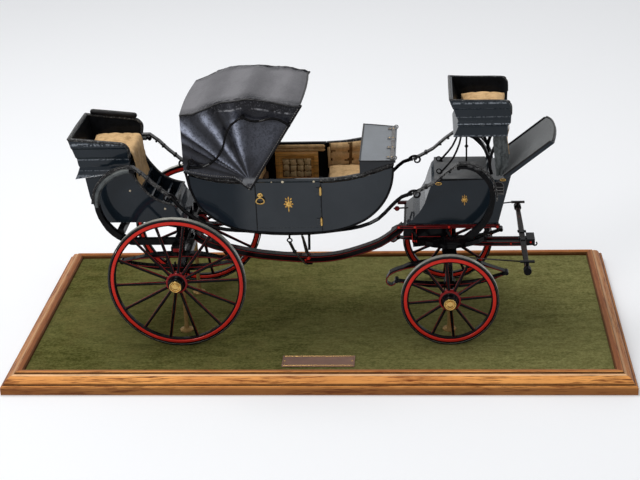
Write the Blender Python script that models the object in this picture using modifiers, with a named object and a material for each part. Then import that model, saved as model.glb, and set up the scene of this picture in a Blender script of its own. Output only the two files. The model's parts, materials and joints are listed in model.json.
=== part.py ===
# Scale model of an open horse carriage with a folding leather hood, on a mounting plinth.
# Units are metres. +X is the front of the carriage, +Y its left side and +Z up.
# The origin is the centre of the plinth's underside.

import math

import bmesh
import bpy
from mathutils import Matrix, Vector

# Clearances
GAP = 0.0003  # gap left between neighbouring pieces
LAP = 0.0005  # overlap of solids that are joined into one piece
WELD = 0.00001  # merge distance for welded meshes

# Plinth
PLINTH_LENGTH = 0.700
PLINTH_DEPTH = 0.354
MOULDING_WIDTH = 0.022
MOULDING_HEIGHT = 0.0212
BOARD_THICKNESS = 0.0160  # with its baize covering
PLATE_LENGTH = 0.0815
PLATE_DEPTH = 0.0250
PLATE_THICKNESS = 0.0012
PLATE_CENTRE_X = 0.0023
PLATE_FRONT_MARGIN = 0.0119  # from the moulding's inner edge to the name plate
POST_FOOT_RADIUS = 0.0082
POST_FOOT_THICKNESS = 0.0022
POST_STEM_RADIUS = 0.0024
POST_SPREAD = 0.051  # of each post from the centre line

# Wheels
REAR_WHEEL_RADIUS = 0.0788
FRONT_WHEEL_RADIUS = 0.0551
REAR_AXLE_X = -0.1584
FRONT_AXLE_X = 0.1496
HALF_TRACK = 0.0875
REAR_SPOKES = 14
FRONT_SPOKES = 12
REAR_SPOKE_PHASE = math.radians(2.5)
FRONT_SPOKE_PHASE = math.radians(5.0)
TYRE_WIDTH = 0.0062
TYRE_STEPS = 48
TYRE_THICKNESS = 0.0014
FELLOE_DEPTH = 0.0068
FELLOE_WIDTH = 0.0058
SPOKE_ROOT_RADIUS = 0.0022
SPOKE_TIP_RADIUS = 0.0016
SPOKE_FLATNESS = 0.75
NAVE_RADIUS = 0.0105
NAVE_OUTER_LENGTH = 0.0112
NAVE_INNER_LENGTH = 0.0130
AXLE_ARM_RADIUS = 0.0032
AXLE_ARM_CLEARANCE = 0.0004
HUB_CAP_RADIUS = 0.0073
HUB_CAP_LENGTH = 0.0026
AXLE_BAR_SIZE = 0.009
AXLE_COLLAR_RADIUS = 0.0052
AXLE_COLLAR_LENGTH = 0.0036

# Elliptic springs
SPRING_SPREAD = 0.062
SPRING_WIDTH = 0.0080
SPRING_LEAF = 0.0015
SPRING_LEAVES = 3
SPRING_EYE_RADIUS = 0.0024
REAR_SPRING_HALF_LENGTH = 0.066
REAR_SPRING_HEIGHT = 0.0216
FRONT_SPRING_FRONT_REACH = 0.064
FRONT_SPRING_REAR_REACH = 0.060
FRONT_SPRING_HEIGHT = 0.0352

# Beds, perch and turntable
BED_LENGTH_ALONG_X = 0.016
REAR_BED_HEIGHT = 0.0078
REAR_BED_HALF_WIDTH = 0.0665
FRONT_BED_HEIGHT = 0.0056
FRONT_BED_STEP = 0.0014
FRONT_BED_HALF_WIDTH = 0.0665
RING_OUTER_RADIUS = 0.048
RING_INNER_RADIUS = 0.042
RING_THICKNESS = 0.0018
KING_PIN_RADIUS = 0.0030
KING_PIN_CLEARANCE = 0.0005
TRANSOM_BAR_HEIGHT = 0.0048
TRANSOM_BAR_HALF_WIDTH = 0.060
TRANSOM_BOX_REAR_X = 0.098
TRANSOM_BOX_HALF_WIDTH = 0.032
BOOT_RAIL_TOP = 0.1412
BOOT_RAIL_HEIGHT = 0.0030
BOOT_RAIL_WIDTH = 0.0050
BOOT_RAIL_SPREAD = 0.0365
BOOT_RAIL_REAR_X = 0.090
BOOT_RAIL_FRONT_X = 0.207
PERCH_THICKNESS = 0.0086
PERCH_WIDTH = 0.0100

# C springs, braces and body loops
SUSPENSION_SPREAD = 0.0556
C_SPRING_WIDTH = 0.0072
C_SPRING_LEAF = 0.0014
C_SPRING_TOP_LEAVES = 2
C_SPRING_FOOT_LEAVES = 5
C_SPRING_EYE_RADIUS = 0.00224
BRACE_THICKNESS = 0.0022
BRACE_WIDTH = 0.0066
BRACE_START = 0.0007  # from the end of the loop iron that the brace is shackled to
LOOP_IRON_RADIUS = 0.0021

# Body
BODY_HALF_WIDTH = 0.062
BODY_END_HALF_WIDTH = 0.0565
BODY_STRAIGHT_REAR_X = -0.080
BODY_STRAIGHT_FRONT_X = 0.035
BODY_WALL = 0.003
DOOR_REAR_X = -0.0660
DOOR_FRONT_X = 0.0066
DOOR_SILL_Z = 0.1500
DOOR_OPENING_TOP = 0.2200  # clear above the panel's edge
DOOR_PAD_MARGIN = 0.0060
DOOR_PAD_THICKNESS = 0.0016
RAIL_RADIUS = 0.0026
RAIL_LIFT = 0.0008  # from the panel's edge to the rail's underside, over the panel's own thickness
HINGE_KNUCKLE_RADIUS = 0.0013
HINGE_STANDOFF = 0.0017
HINGE_SPANS = ((0.1540, 0.1620), (0.1905, 0.1990))
HANDLE_X = -0.0612
HANDLE_Z = 0.1900
HANDLE_RING_HALF_WIDTH = 0.0047
HANDLE_RING_HALF_HEIGHT = 0.0032
HANDLE_WIRE_RADIUS = 0.0008
SEAT_BOARD_TOP = 0.1750
SEAT_BOARD_THICKNESS = 0.003
BENCH_REAR_EDGE_X = -0.0640
BENCH_FRONT_EDGE_X = 0.0090
FLOOR_THICKNESS = 0.0020
CUSHION_HEIGHT = 0.0100
CUSHION_CROWN = 0.0022
SQUAB_THICKNESS = 0.0075

# Hood
HOOD_INNER_HALF_WIDTH = 0.0635
HOOD_LEATHER = 0.0012
HOOD_REAR_X = -0.1450
HOOD_SKIRT_Z = 0.2130
HOOD_EDGE_FOOT_X = -0.0620
HOOD_EDGE_TOP_X = -0.0130
HOOD_EDGE_TOP_Z = 0.2910
HOOD_ROOF_CROWN = 0.0045
HOOD_CORNER_RADIUS = 0.0080
HOOD_FOLD_DEPTH = 0.0016
HOOD_FOLDS = 7
HOOD_PIVOT_X = -0.0720
HOOD_PIVOT_Z = 0.2126
BOW_RADIUS = 0.0014
BOW_EYE_RADIUS = 0.0026
BOW_PIN_RADIUS = 0.0010
FRONT_BOW_HALF_WIDTH = 0.0614
MID_BOW_HALF_WIDTH = 0.0555
PIVOT_LUG_THICKNESS = 0.0017
HEAD_IRON_RADIUS = 0.0014
HEAD_IRON_FOOT = (-0.1385, 0.2265)
HEAD_IRON_ELBOW = (-0.0745, 0.2850)
HEAD_IRON_TIP = (-0.0245, 0.2755)

# Front apron
APRON_REAR_X = 0.0510
APRON_HINGE_X = 0.0905
APRON_TOP_Z = 0.2295
APRON_LEATHER = 0.0020

# Rear boot and footman's seat
REAR_BOOT_HALF_WIDTH = 0.0370
REAR_BOOT_WALL = 0.0026
REAR_BOOT_FLOOR_Z = 0.1480
TROUGH_DEPTH = 0.0150
TROUGH_RIBS = 3
RUMBLE_TOP_Z = 0.2530
RUMBLE_WALL = 0.0026
RUMBLE_SEAT_Z = 0.2220
RUMBLE_CUSHION_HEIGHT = 0.0120
ARM_ROLL_RADIUS = 0.0034
ARM_ROLL_ENDS_X = (-0.2700, -0.2150)
FALL_HALF_WIDTH = 0.0290
FALL_THICKNESS = 0.0014
FALL_FOLDS = 3
FALL_FOLD_DEPTH = 0.0013

# Coachman's boot, footboard and seat
COACH_BOOT_HALF_WIDTH = 0.0350
FOOTBOARD_LENGTH = 0.0740
FOOTBOARD_HALF_WIDTH = 0.0415
FOOTBOARD_THICKNESS = 0.0042
FOOTBOARD_PITCH = math.radians(38.6)
FOOTBOARD_NOSE = 0.0070
COACH_SEAT_FOOT_Z = 0.2480
COACH_SEAT_TOP_Z = 0.2926
COACH_SEAT_WALL = 0.0026
COACH_SEAT_FLOOR_Z = 0.2660
COACH_CUSHION_HEIGHT = 0.0115
COACH_BOOT_TOP_Z = 0.1960
SEAT_IRON_FRAME = 0.0014

# Fore-carriage
FUTCHELL_SPREAD = 0.0065
FUTCHELL_WIDTH = 0.0032
FUTCHELL_HEIGHT = 0.0055
FUTCHELL_FRONT_Z = 0.1046
POLE_SOCKET_X = (0.2395, 0.2490)
POLE_SOCKET_Z = (0.1036, 0.1110)
POLE_SOCKET_HALF_WIDTH = 0.0100
POLE_SOCKET_WALL = 0.0012
SPLINTER_BAR_HALF_LENGTH = 0.0950
SPLINTER_BAR_SIZE = 0.0064
SPLINTER_BAR_TOP_Z = 0.1117
SPLINTER_BAR_DEPTH = 0.0039
SPLINTER_BAR_X = 0.2350
ROLLER_BOLT_SPREAD = 0.0875

# Levels that follow from the sizes above
BAIZE_TOP = BOARD_THICKNESS
REAR_AXLE_Z = BAIZE_TOP + GAP + REAR_WHEEL_RADIUS
FRONT_AXLE_Z = BAIZE_TOP + GAP + FRONT_WHEEL_RADIUS
REAR_SPRING_BOTTOM = REAR_AXLE_Z + AXLE_BAR_SIZE / 2 + GAP
REAR_SPRING_TOP = REAR_SPRING_BOTTOM + REAR_SPRING_HEIGHT
REAR_BED_BOTTOM = REAR_SPRING_TOP + GAP
REAR_BED_TOP = REAR_BED_BOTTOM + REAR_BED_HEIGHT
FRONT_SPRING_BOTTOM = FRONT_AXLE_Z + AXLE_BAR_SIZE / 2 + GAP
FRONT_SPRING_TOP = FRONT_SPRING_BOTTOM + FRONT_SPRING_HEIGHT
FRONT_BED_BOTTOM = FRONT_SPRING_TOP + GAP
FRONT_BED_TOP = FRONT_BED_BOTTOM + FRONT_BED_HEIGHT
LOWER_RING_TOP = FRONT_BED_TOP + GAP + RING_THICKNESS
UPPER_RING_TOP = LOWER_RING_TOP + GAP + RING_THICKNESS
TRANSOM_BOTTOM = UPPER_RING_TOP + GAP
TRANSOM_BAR_TOP = TRANSOM_BOTTOM + TRANSOM_BAR_HEIGHT
NAVE_BORE_RADIUS = AXLE_ARM_RADIUS + AXLE_ARM_CLEARANCE

# Finishes: colour, roughness, metallic
FINISHES = {
    "oak": ((0.30, 0.15, 0.07), 0.45, 0.0),
    "board": ((0.25, 0.18, 0.11), 0.8, 0.0),
    "baize": ((0.10, 0.13, 0.03), 0.95, 0.0),
    "copper_plate": ((0.25, 0.16, 0.12), 0.4, 0.8),
    "brass": ((0.70, 0.47, 0.18), 0.3, 1.0),
    "slate_paint": ((0.045, 0.052, 0.060), 0.25, 0.0),
    "black_iron": ((0.015, 0.015, 0.016), 0.4, 0.3),
    "wheel_paint": ((0.45, 0.03, 0.02), 0.3, 0.0),
    "steel_tyre": ((0.38, 0.38, 0.35), 0.4, 0.8),
    "leather_black": ((0.03, 0.03, 0.035), 0.5, 0.0),
    "leather_grey": ((0.22, 0.23, 0.24), 0.5, 0.0),
    "tan_leather": ((0.55, 0.38, 0.20), 0.7, 0.0),
    "bench_wood": ((0.20, 0.12, 0.06), 0.6, 0.0),
}

SIDES = {"left": 1, "right": -1}


def clear_scene():
    for old in list(bpy.data.objects):
        bpy.data.objects.remove(old)


def make_collection(name):
    collection = bpy.data.collections.new(name)
    bpy.context.scene.collection.children.link(collection)
    return collection


def lerp(a, b, t):
    return a + (b - a) * t


def smooth_path(points, per_span):
    """Points on a Catmull-Rom curve through the given points, of any dimension."""
    size = len(points[0])
    padded = [points[0]] + list(points) + [points[-1]]
    path = []
    for i in range(1, len(padded) - 2):
        p0, p1, p2, p3 = padded[i - 1:i + 3]
        for k in range(per_span):
            t = k / per_span
            path.append(tuple(
                0.5 * (2 * p1[c] + (p2[c] - p0[c]) * t
                       + (2 * p0[c] - 5 * p1[c] + 4 * p2[c] - p3[c]) * t * t
                       + (3 * p1[c] - p0[c] - 3 * p2[c] + p3[c]) * t ** 3)
                for c in range(size)))
    path.append(tuple(points[-1]))
    return path


def at_x(path, x):
    """Height of a left-to-right outline at x."""
    for (x0, z0), (x1, z1) in zip(path, path[1:]):
        if x0 <= x <= x1 and x1 > x0:
            return lerp(z0, z1, (x - x0) / (x1 - x0))
    return path[0][1] if x < path[0][0] else path[-1][1]


def band(path, thickness, bias=0.0):
    """Closed outline of a strip along a flat path; thickness is a function of the fraction run.
    bias -1 puts the whole thickness to the right of the path, +1 to its left."""
    lengths = [0.0]
    for a, b in zip(path, path[1:]):
        lengths.append(lengths[-1] + math.dist(a, b))
    left = []
    right = []
    for i, point in enumerate(path):
        before = path[max(i - 1, 0)]
        after = path[min(i + 1, len(path) - 1)]
        span = math.dist(before, after)
        normal = (-(after[1] - before[1]) / span, (after[0] - before[0]) / span)
        depth = thickness(lengths[i] / lengths[-1])
        up = depth * (1 + bias) / 2
        down = depth * (1 - bias) / 2
        left.append((point[0] + normal[0] * up, point[1] + normal[1] * up))
        right.append((point[0] - normal[0] * down, point[1] - normal[1] * down))
    return left + right[::-1]


def arc(centre, radius, start, end, steps):
    return [(centre[0] + radius * math.cos(lerp(start, end, k / steps)),
             centre[1] + radius * math.sin(lerp(start, end, k / steps))) for k in range(steps + 1)]


def link(obj):
    MODEL.objects.link(obj)
    return obj


def object_from_bmesh(name, bm):
    bmesh.ops.recalc_face_normals(bm, faces=bm.faces)
    mesh = bpy.data.meshes.new(name)
    bm.to_mesh(mesh)
    bm.free()
    return link(bpy.data.objects.new(name, mesh))


def baked(obj):
    """Replace an object by the mesh it evaluates to, with its caps welded."""
    evaluated = obj.evaluated_get(bpy.context.evaluated_depsgraph_get())
    mesh = bpy.data.meshes.new_from_object(evaluated)
    matrix = obj.matrix_world.copy()
    name = obj.name
    bpy.data.objects.remove(obj)
    bm = bmesh.new()
    bm.from_mesh(mesh)
    bmesh.ops.remove_doubles(bm, verts=bm.verts, dist=WELD)
    bmesh.ops.recalc_face_normals(bm, faces=bm.faces)
    bm.to_mesh(mesh)
    bm.free()
    solid = link(bpy.data.objects.new(name, mesh))
    solid.matrix_world = matrix
    return solid


def box(name, low, high):
    bm = bmesh.new()
    bmesh.ops.create_cube(bm, size=1.0)
    size = [h - l for l, h in zip(low, high)]
    centre = [(h + l) / 2 for l, h in zip(low, high)]
    bmesh.ops.scale(bm, vec=size, verts=bm.verts)
    bmesh.ops.translate(bm, vec=centre, verts=bm.verts)
    return object_from_bmesh(name, bm)


def cylinder(name, start, end, radius, end_radius=None, segments=16):
    """A cylinder or cone between two points."""
    start = Vector(start)
    end = Vector(end)
    direction = end - start
    bm = bmesh.new()
    bmesh.ops.create_cone(
        bm, cap_ends=True, segments=segments, radius1=radius,
        radius2=radius if end_radius is None else end_radius, depth=direction.length)
    turn = Vector((0, 0, 1)).rotation_difference(direction).to_matrix().to_4x4()
    bmesh.ops.transform(bm, matrix=Matrix.Translation((start + end) / 2) @ turn, verts=bm.verts)
    return object_from_bmesh(name, bm)


PLANES = {
    "XY": Matrix(((1, 0, 0), (0, 1, 0), (0, 0, 1))),
    "XZ": Matrix(((1, 0, 0), (0, 0, -1), (0, 1, 0))),
    "YZ": Matrix(((0, 0, 1), (1, 0, 0), (0, 1, 0))),
}


def plate(name, outline, plane, low, high, holes=()):
    """A flat outline, drawn as a filled 2D curve, extruded from low to high across its plane."""
    curve = bpy.data.curves.new(name, "CURVE")
    curve.dimensions = "2D"
    curve.fill_mode = "BOTH"
    curve.extrude = (high - low) / 2
    for points in (outline,) + tuple(holes):
        spline = curve.splines.new("POLY")
        spline.points.add(len(points) - 1)
        for point, (u, v) in zip(spline.points, points):
            point.co = (u, v, 0, 1)
        spline.use_cyclic_u = True
    obj = link(bpy.data.objects.new(name, curve))
    obj.matrix_world = PLANES[plane].to_4x4()
    location = [0.0, 0.0, 0.0]
    normal = next(axis for axis in "XYZ" if axis not in plane)
    location["XYZ".index(normal)] = (low + high) / 2
    obj.location = location
    bpy.context.view_layer.update()
    return baked(obj)


def tube(name, points, radius, radii=None, cyclic=False, resolution=1):
    """A round wire or rail along 3D points."""
    curve = bpy.data.curves.new(name, "CURVE")
    curve.dimensions = "3D"
    curve.bevel_depth = radius
    curve.bevel_resolution = resolution
    curve.use_fill_caps = True
    spline = curve.splines.new("POLY")
    spline.points.add(len(points) - 1)
    for i, (point, place) in enumerate(zip(spline.points, points)):
        point.co = (place[0], place[1], place[2], 1)
        point.radius = radii[i] if radii else 1.0
    spline.use_cyclic_u = cyclic
    obj = link(bpy.data.objects.new(name, curve))
    bpy.context.view_layer.update()
    return baked(obj)


def turned(name, profile, steps, matrix, closed_loop=False):
    """A turned piece: profile is (radius, height) down its outer side, screwed about local Z."""
    bm = bmesh.new()
    verts = [bm.verts.new((r, 0, z)) for r, z in profile]
    for a, b in zip(verts, verts[1:]):
        bm.edges.new((a, b))
    if closed_loop:
        bm.edges.new((verts[-1], verts[0]))
    mesh = bpy.data.meshes.new(name)
    bm.to_mesh(mesh)
    bm.free()
    obj = link(bpy.data.objects.new(name, mesh))
    screw = obj.modifiers.new("turn", "SCREW")
    screw.steps = steps
    screw.render_steps = steps
    screw.use_merge_vertices = True
    screw.merge_threshold = WELD
    obj.matrix_world = matrix
    bpy.context.view_layer.update()
    return baked(obj)


def loft(name, sections, closed=False):
    """Solid through sections that have the same number of points; closed joins the last to the first."""
    bm = bmesh.new()
    rows = [[bm.verts.new(p) for p in section] for section in sections]
    count = len(rows[0])
    followers = rows[1:] + (rows[:1] if closed else [])
    for low, high in zip(rows, followers):
        for i in range(count):
            j = (i + 1) % count
            bm.faces.new((low[i], low[j], high[j], high[i]))
    if not closed:
        bm.faces.new(rows[0][::-1])
        bm.faces.new(rows[-1])
    return object_from_bmesh(name, bm)


def boolean(obj, operation, others):
    """Cut or join solids with the exact solver and keep the result as a mesh."""
    for other in others:
        CUTTERS.objects.link(other)
        MODEL.objects.unlink(other)
        other.hide_render = True
        other.display_type = "WIRE"
        modifier = obj.modifiers.new(other.name, "BOOLEAN")
        modifier.operation = operation
        modifier.solver = "EXACT"
        modifier.object = other
    bpy.context.view_layer.update()
    result = baked(obj)
    for other in others:
        bpy.data.objects.remove(other)
    return result


def rounded(obj, width, segments=1, angle=40):
    """Break the edges of a solid with a bevel."""
    bevel = obj.modifiers.new("edge", "BEVEL")
    bevel.width = width
    bevel.segments = segments
    bevel.limit_method = "ANGLE"
    bevel.angle_limit = math.radians(angle)
    bpy.context.view_layer.update()
    return baked(obj)


def mirrored(obj, name):
    """A copy on the other side of the centre line."""
    bm = bmesh.new()
    bm.from_mesh(obj.data)
    bm.transform(Matrix.Scale(-1, 4, (0, 1, 0)) @ obj.matrix_world)
    bmesh.ops.reverse_faces(bm, faces=bm.faces)
    return object_from_bmesh(name, bm)


def finish(obj, name, finish_name, origin=(0, 0, 0)):
    """Name a sub-part, give it its material and put its origin on its joint or reference point."""
    obj.name = name
    mesh = obj.data
    mesh.name = name
    mesh.transform(Matrix.Translation(-Vector(origin)) @ obj.matrix_world)
    obj.matrix_world = Matrix.Translation(origin)
    colour, roughness, metallic = FINISHES[finish_name]
    material = bpy.data.materials.new(name + "_" + finish_name)
    material.use_nodes = True
    shader = material.node_tree.nodes["Principled BSDF"]
    shader.inputs["Base Color"].default_value = (*colour, 1)
    shader.inputs["Roughness"].default_value = roughness
    shader.inputs["Metallic"].default_value = metallic
    material.diffuse_color = (*colour, 1)
    mesh.materials.clear()
    mesh.materials.append(material)
    mesh.shade_smooth()
    mesh.set_sharp_from_angle(angle=math.radians(32))
    return obj


def finish_pair(right, name, finish_name, origin=(0, 0, 0)):
    """Finish a right-hand piece and its twin on the left."""
    left = mirrored(right, name)
    finish(right, name + "_right", finish_name, origin)
    finish(left, name + "_left", finish_name, (origin[0], -origin[1], origin[2]))


def build_plinth():
    inner_x = PLINTH_LENGTH / 2 - MOULDING_WIDTH - GAP
    inner_y = PLINTH_DEPTH / 2 - MOULDING_WIDTH - GAP
    board = box("plinth_board", (-inner_x, -inner_y, 0), (inner_x, inner_y, BAIZE_TOP))
    # Turned posts screwed into the board carry the model by its axles
    posts = []
    for axle_x, axle_z in ((REAR_AXLE_X, REAR_AXLE_Z), (FRONT_AXLE_X, FRONT_AXLE_Z)):
        top = axle_z - AXLE_BAR_SIZE / 2 - GAP - BAIZE_TOP
        foot = POST_FOOT_THICKNESS
        profile = ((0, top), (POST_STEM_RADIUS * 1.5, top), (POST_STEM_RADIUS, top - 0.0030),
                   (POST_STEM_RADIUS, foot + 0.006), (POST_STEM_RADIUS * 1.4, foot + 0.001),
                   (POST_FOOT_RADIUS, foot * 0.7), (POST_FOOT_RADIUS, -LAP), (0, -LAP))
        for side in SIDES.values():
            place = Matrix.Translation((axle_x, side * POST_SPREAD, BAIZE_TOP))
            posts.append(turned("post", profile, 8, place))
    finish(boolean(board, "UNION", posts), "plinth_board", "baize")

    # Moulding section: fraction of the width from the outside, fraction of the height
    section = ((0.0, 0.0), (0.0, 0.40), (0.05, 0.46), (0.16, 0.48), (0.20, 0.60), (0.30, 0.74),
               (0.46, 0.84), (0.62, 0.88), (0.66, 0.97), (0.78, 1.0), (0.93, 0.97), (1.0, 0.87),
               (1.0, 0.0))
    corners = []
    for across, along in ((-1, -1), (1, -1), (1, 1), (-1, 1)):
        corners.append([(across * (PLINTH_LENGTH / 2 - f * MOULDING_WIDTH),
                         along * (PLINTH_DEPTH / 2 - f * MOULDING_WIDTH), h * MOULDING_HEIGHT)
                        for f, h in section])
    finish(loft("plinth_moulding", corners, closed=True), "plinth_moulding", "oak")

    plate_low_y = -PLINTH_DEPTH / 2 + MOULDING_WIDTH + PLATE_FRONT_MARGIN
    name_plate = box(
        "name_plate",
        (PLATE_CENTRE_X - PLATE_LENGTH / 2, plate_low_y, BAIZE_TOP + GAP),
        (PLATE_CENTRE_X + PLATE_LENGTH / 2, plate_low_y + PLATE_DEPTH, BAIZE_TOP + GAP + PLATE_THICKNESS))
    finish(rounded(name_plate, 0.0004), "name_plate", "copper_plate")


def build_wheel(prefix, side_name, x, z, radius, spokes, phase):
    side = SIDES[side_name]
    turn = Matrix.Rotation(-side * math.pi / 2, 4, "X")
    centre = (x, side * HALF_TRACK, z)
    place = Matrix.Translation(centre) @ turn
    half = TYRE_WIDTH / 2
    inner = radius - TYRE_THICKNESS
    tyre = turned("tyre", ((radius, half), (radius, -half), (inner, -half), (inner, half)), TYRE_STEPS,
                  place, True)
    finish(tyre, prefix + "_tyre_" + side_name, "steel_tyre", centre)

    felloe_outer = inner * math.cos(math.pi / TYRE_STEPS) - GAP
    felloe_inner = felloe_outer - FELLOE_DEPTH
    half = FELLOE_WIDTH / 2
    profile = ((felloe_outer, half), (felloe_outer, -half), (felloe_inner, -half), (felloe_inner, half))
    rim = turned("rim", profile, TYRE_STEPS, place, True)

    # Nave with the screwed-on hub cap; its blind bore takes the axle arm
    bore = NAVE_BORE_RADIUS
    r = NAVE_RADIUS
    c = HUB_CAP_RADIUS
    foot = NAVE_OUTER_LENGTH
    top = foot + HUB_CAP_LENGTH
    profile = ((0, top - 0.0006), (c * 0.30, top - 0.0008), (c * 0.42, top - 0.0016),
               (c * 0.70, top - 0.0016), (c * 0.84, top), (c, top - 0.0006), (c, foot),
               (r * 0.84, foot), (r * 0.88, 0.0045),
               (r, 0.0032), (r, -0.0032), (r * 0.86, -0.0050), (r * 0.66, -NAVE_INNER_LENGTH),
               (bore, -NAVE_INNER_LENGTH), (bore, foot + GAP), (0, foot + GAP))
    pieces = [turned("nave", profile, 14, place)]
    for k in range(spokes):
        angle = phase + 2 * math.pi * k / spokes
        spoke = cylinder("spoke", (NAVE_RADIUS - 0.0015, 0, 0), (felloe_inner + 0.0015, 0, 0),
                         SPOKE_ROOT_RADIUS, SPOKE_TIP_RADIUS, 6)
        flat = Matrix.Diagonal((1, 1, SPOKE_FLATNESS, 1))
        spoke.matrix_world = place @ Matrix.Rotation(angle, 4, "Z") @ flat
        pieces.append(spoke)
    bpy.context.view_layer.update()
    finish(boolean(rim, "UNION", pieces), prefix + "_wheel_" + side_name, "wheel_paint", centre)


def build_axle(name, x, z):
    half_bar = HALF_TRACK - NAVE_INNER_LENGTH - GAP - AXLE_COLLAR_LENGTH
    size = AXLE_BAR_SIZE / 2
    bar = rounded(box(name, (x - size, -half_bar, z - size), (x + size, half_bar, z + size)), 0.0008)
    arms = []
    for side in SIDES.values():
        place = Matrix.Translation((x, side * half_bar, z)) @ Matrix.Rotation(-side * math.pi / 2, 4, "X")
        tip = HALF_TRACK + NAVE_OUTER_LENGTH - half_bar
        profile = ((0, tip), (AXLE_ARM_RADIUS, tip), (AXLE_ARM_RADIUS, AXLE_COLLAR_LENGTH),
                   (AXLE_COLLAR_RADIUS, AXLE_COLLAR_LENGTH), (AXLE_COLLAR_RADIUS, -0.002), (0, -0.002))
        arms.append(turned("arm", profile, 10, place))
    return boolean(bar, "UNION", arms)


def leaf_thickness(ends_open=(False, False)):
    """Depth of a stack of leaves that are each shorter than the one before."""
    def depth(s):
        reach = min(1.0 if ends_open[0] else s, 1.0 if ends_open[1] else 1 - s)
        leaves = 1 + sum(1 for n in range(1, SPRING_LEAVES) if reach > 0.14 * n)
        return leaves * SPRING_LEAF
    return depth


def elliptic_spring(name, x, rear, front, bottom, top, rear_scroll):
    """Two stacks of leaves, arched away from each other, with an eye at each end."""
    middle = (bottom + top) / 2
    stack = SPRING_LEAVES * SPRING_LEAF
    upper_z = top - stack
    lower_z = bottom + stack
    front_eye = (x + front, middle)
    rear_eye = (x - rear, middle)
    upper = [front_eye, (x + front * 0.55, lerp(middle, upper_z, 0.72)), (x, upper_z),
             (x - rear * 0.60, lerp(middle, upper_z, 0.66))]
    if rear_scroll:
        rear_eye = (x - rear, middle - 0.0090)
        upper += [(x - rear * 0.97, middle + 0.0030), (x - rear * 1.14, middle - 0.0030),
                  (x - rear * 1.18, middle - 0.0100), (x - rear * 1.10, middle - 0.0140), rear_eye]
    else:
        upper += [rear_eye]
    lower = [rear_eye, (x - rear * 0.55, lerp(rear_eye[1], lower_z, 0.72)), (x, lower_z),
             (x + front * 0.55, lerp(middle, lower_z, 0.72)), front_eye]
    low = SPRING_SPREAD - SPRING_WIDTH / 2
    high = SPRING_SPREAD + SPRING_WIDTH / 2
    bands = []
    for points in (upper, lower):
        path = smooth_path(points, 3)
        bands.append(plate("leaf", band(path, leaf_thickness(), -1), "XZ", low, high))
    eyes = [cylinder("eye", (p[0], low - 0.0006, p[1]), (p[0], high + 0.0006, p[1]),
                     SPRING_EYE_RADIUS, segments=10) for p in (front_eye, rear_eye)]
    return boolean(bands[0], "UNION", [bands[1]] + eyes)


PERCH_PATH = ((-0.1490, 0.1165), (-0.1350, 0.1065), (-0.1090, 0.0980), (-0.0710, 0.0900), (-0.0260, 0.0855),
              (-0.0020, 0.0850), (0.0220, 0.0880), (0.0460, 0.0950), (0.0690, 0.1040),
              (0.0850, 0.1150), (0.0977, 0.1255))


def build_rear_carriage():
    finish(build_axle("rear_axle", REAR_AXLE_X, REAR_AXLE_Z), "rear_axle", "black_iron")
    spring = elliptic_spring("rear_spring", REAR_AXLE_X, REAR_SPRING_HALF_LENGTH, REAR_SPRING_HALF_LENGTH,
                             REAR_SPRING_BOTTOM, REAR_SPRING_TOP, False)
    finish_pair(spring, "rear_spring", "black_iron")

    half = BED_LENGTH_ALONG_X / 2
    bed = box("rear_bed", (REAR_AXLE_X - half, -REAR_BED_HALF_WIDTH, REAR_BED_BOTTOM),
              (REAR_AXLE_X + half, REAR_BED_HALF_WIDTH, REAR_BED_TOP))
    # The perch is notched up into the bed's front half
    socket = box("socket", (REAR_AXLE_X - half + 0.004, -PERCH_WIDTH / 2, REAR_BED_BOTTOM - 0.008),
                 (REAR_AXLE_X + half, PERCH_WIDTH / 2, REAR_BED_BOTTOM + 0.001))
    springs = [c_spring("rear_c_spring", REAR_C_PATH, REAR_AXLE_X + 0.006, REAR_BED_TOP)]
    springs.append(mirrored(springs[0], "rear_c_spring_twin"))
    # Two blocks and a bar between the C springs carry the boot
    carriers = [box("cross_bar", (-0.2280, -SUSPENSION_SPREAD, 0.1400),
                    (-0.2210, SUSPENSION_SPREAD, REAR_BOOT_FLOOR_Z - GAP))]
    for side in SIDES.values():
        inner, outer = sorted((side * 0.0150, side * 0.0230))
        carriers.append(box("block", (REAR_AXLE_X - half, inner, REAR_BED_TOP - LAP),
                            (REAR_AXLE_X + half - 0.0022, outer, REAR_BOOT_FLOOR_Z - GAP)))
    bed = boolean(rounded(bed, 0.0012), "UNION", [socket] + carriers + springs)
    finish(bed, "rear_bed", "black_iron")

    start = REAR_AXLE_X + half + GAP
    path = smooth_path([(start, PERCH_PATH[0][1])] + list(PERCH_PATH[1:-1])
                       + [(TRANSOM_BOX_REAR_X - GAP, PERCH_PATH[-1][1])], 2)
    outline = band(path, lambda s: PERCH_THICKNESS)
    # Both ends of the perch are cut square to the timbers that they meet
    half_depth = PERCH_THICKNESS / 2
    outline = [(min(max(u, start), TRANSOM_BOX_REAR_X - GAP), v) for u, v in outline]
    perch = plate("perch", outline, "XZ", -PERCH_WIDTH / 2, PERCH_WIDTH / 2)
    finish(rounded(perch, half_depth * 0.22, angle=60), "perch", "black_iron")


REAR_C_PATH = ((-0.2040, 0.2185), (-0.2130, 0.2190), (-0.2240, 0.2150), (-0.2360, 0.2070), (-0.2450, 0.1950),
               (-0.2485, 0.1800), (-0.2455, 0.1640), (-0.2375, 0.1500), (-0.2270, 0.1400))
FRONT_C_PATH = ((0.1600, 0.2185), (0.1690, 0.2185), (0.1800, 0.2140), (0.1900, 0.2050), (0.1960, 0.1930),
                (0.1975, 0.1790), (0.1940, 0.1640), (0.1870, 0.1510), (0.1770, 0.1400))


def c_spring_depth(s):
    """Leaves are added one after another from the hooked end down to the foot."""
    span = C_SPRING_FOOT_LEAVES - C_SPRING_TOP_LEAVES
    return (C_SPRING_TOP_LEAVES + math.floor(min(s * 1.45, 0.999) * (span + 1))) * C_SPRING_LEAF


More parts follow.
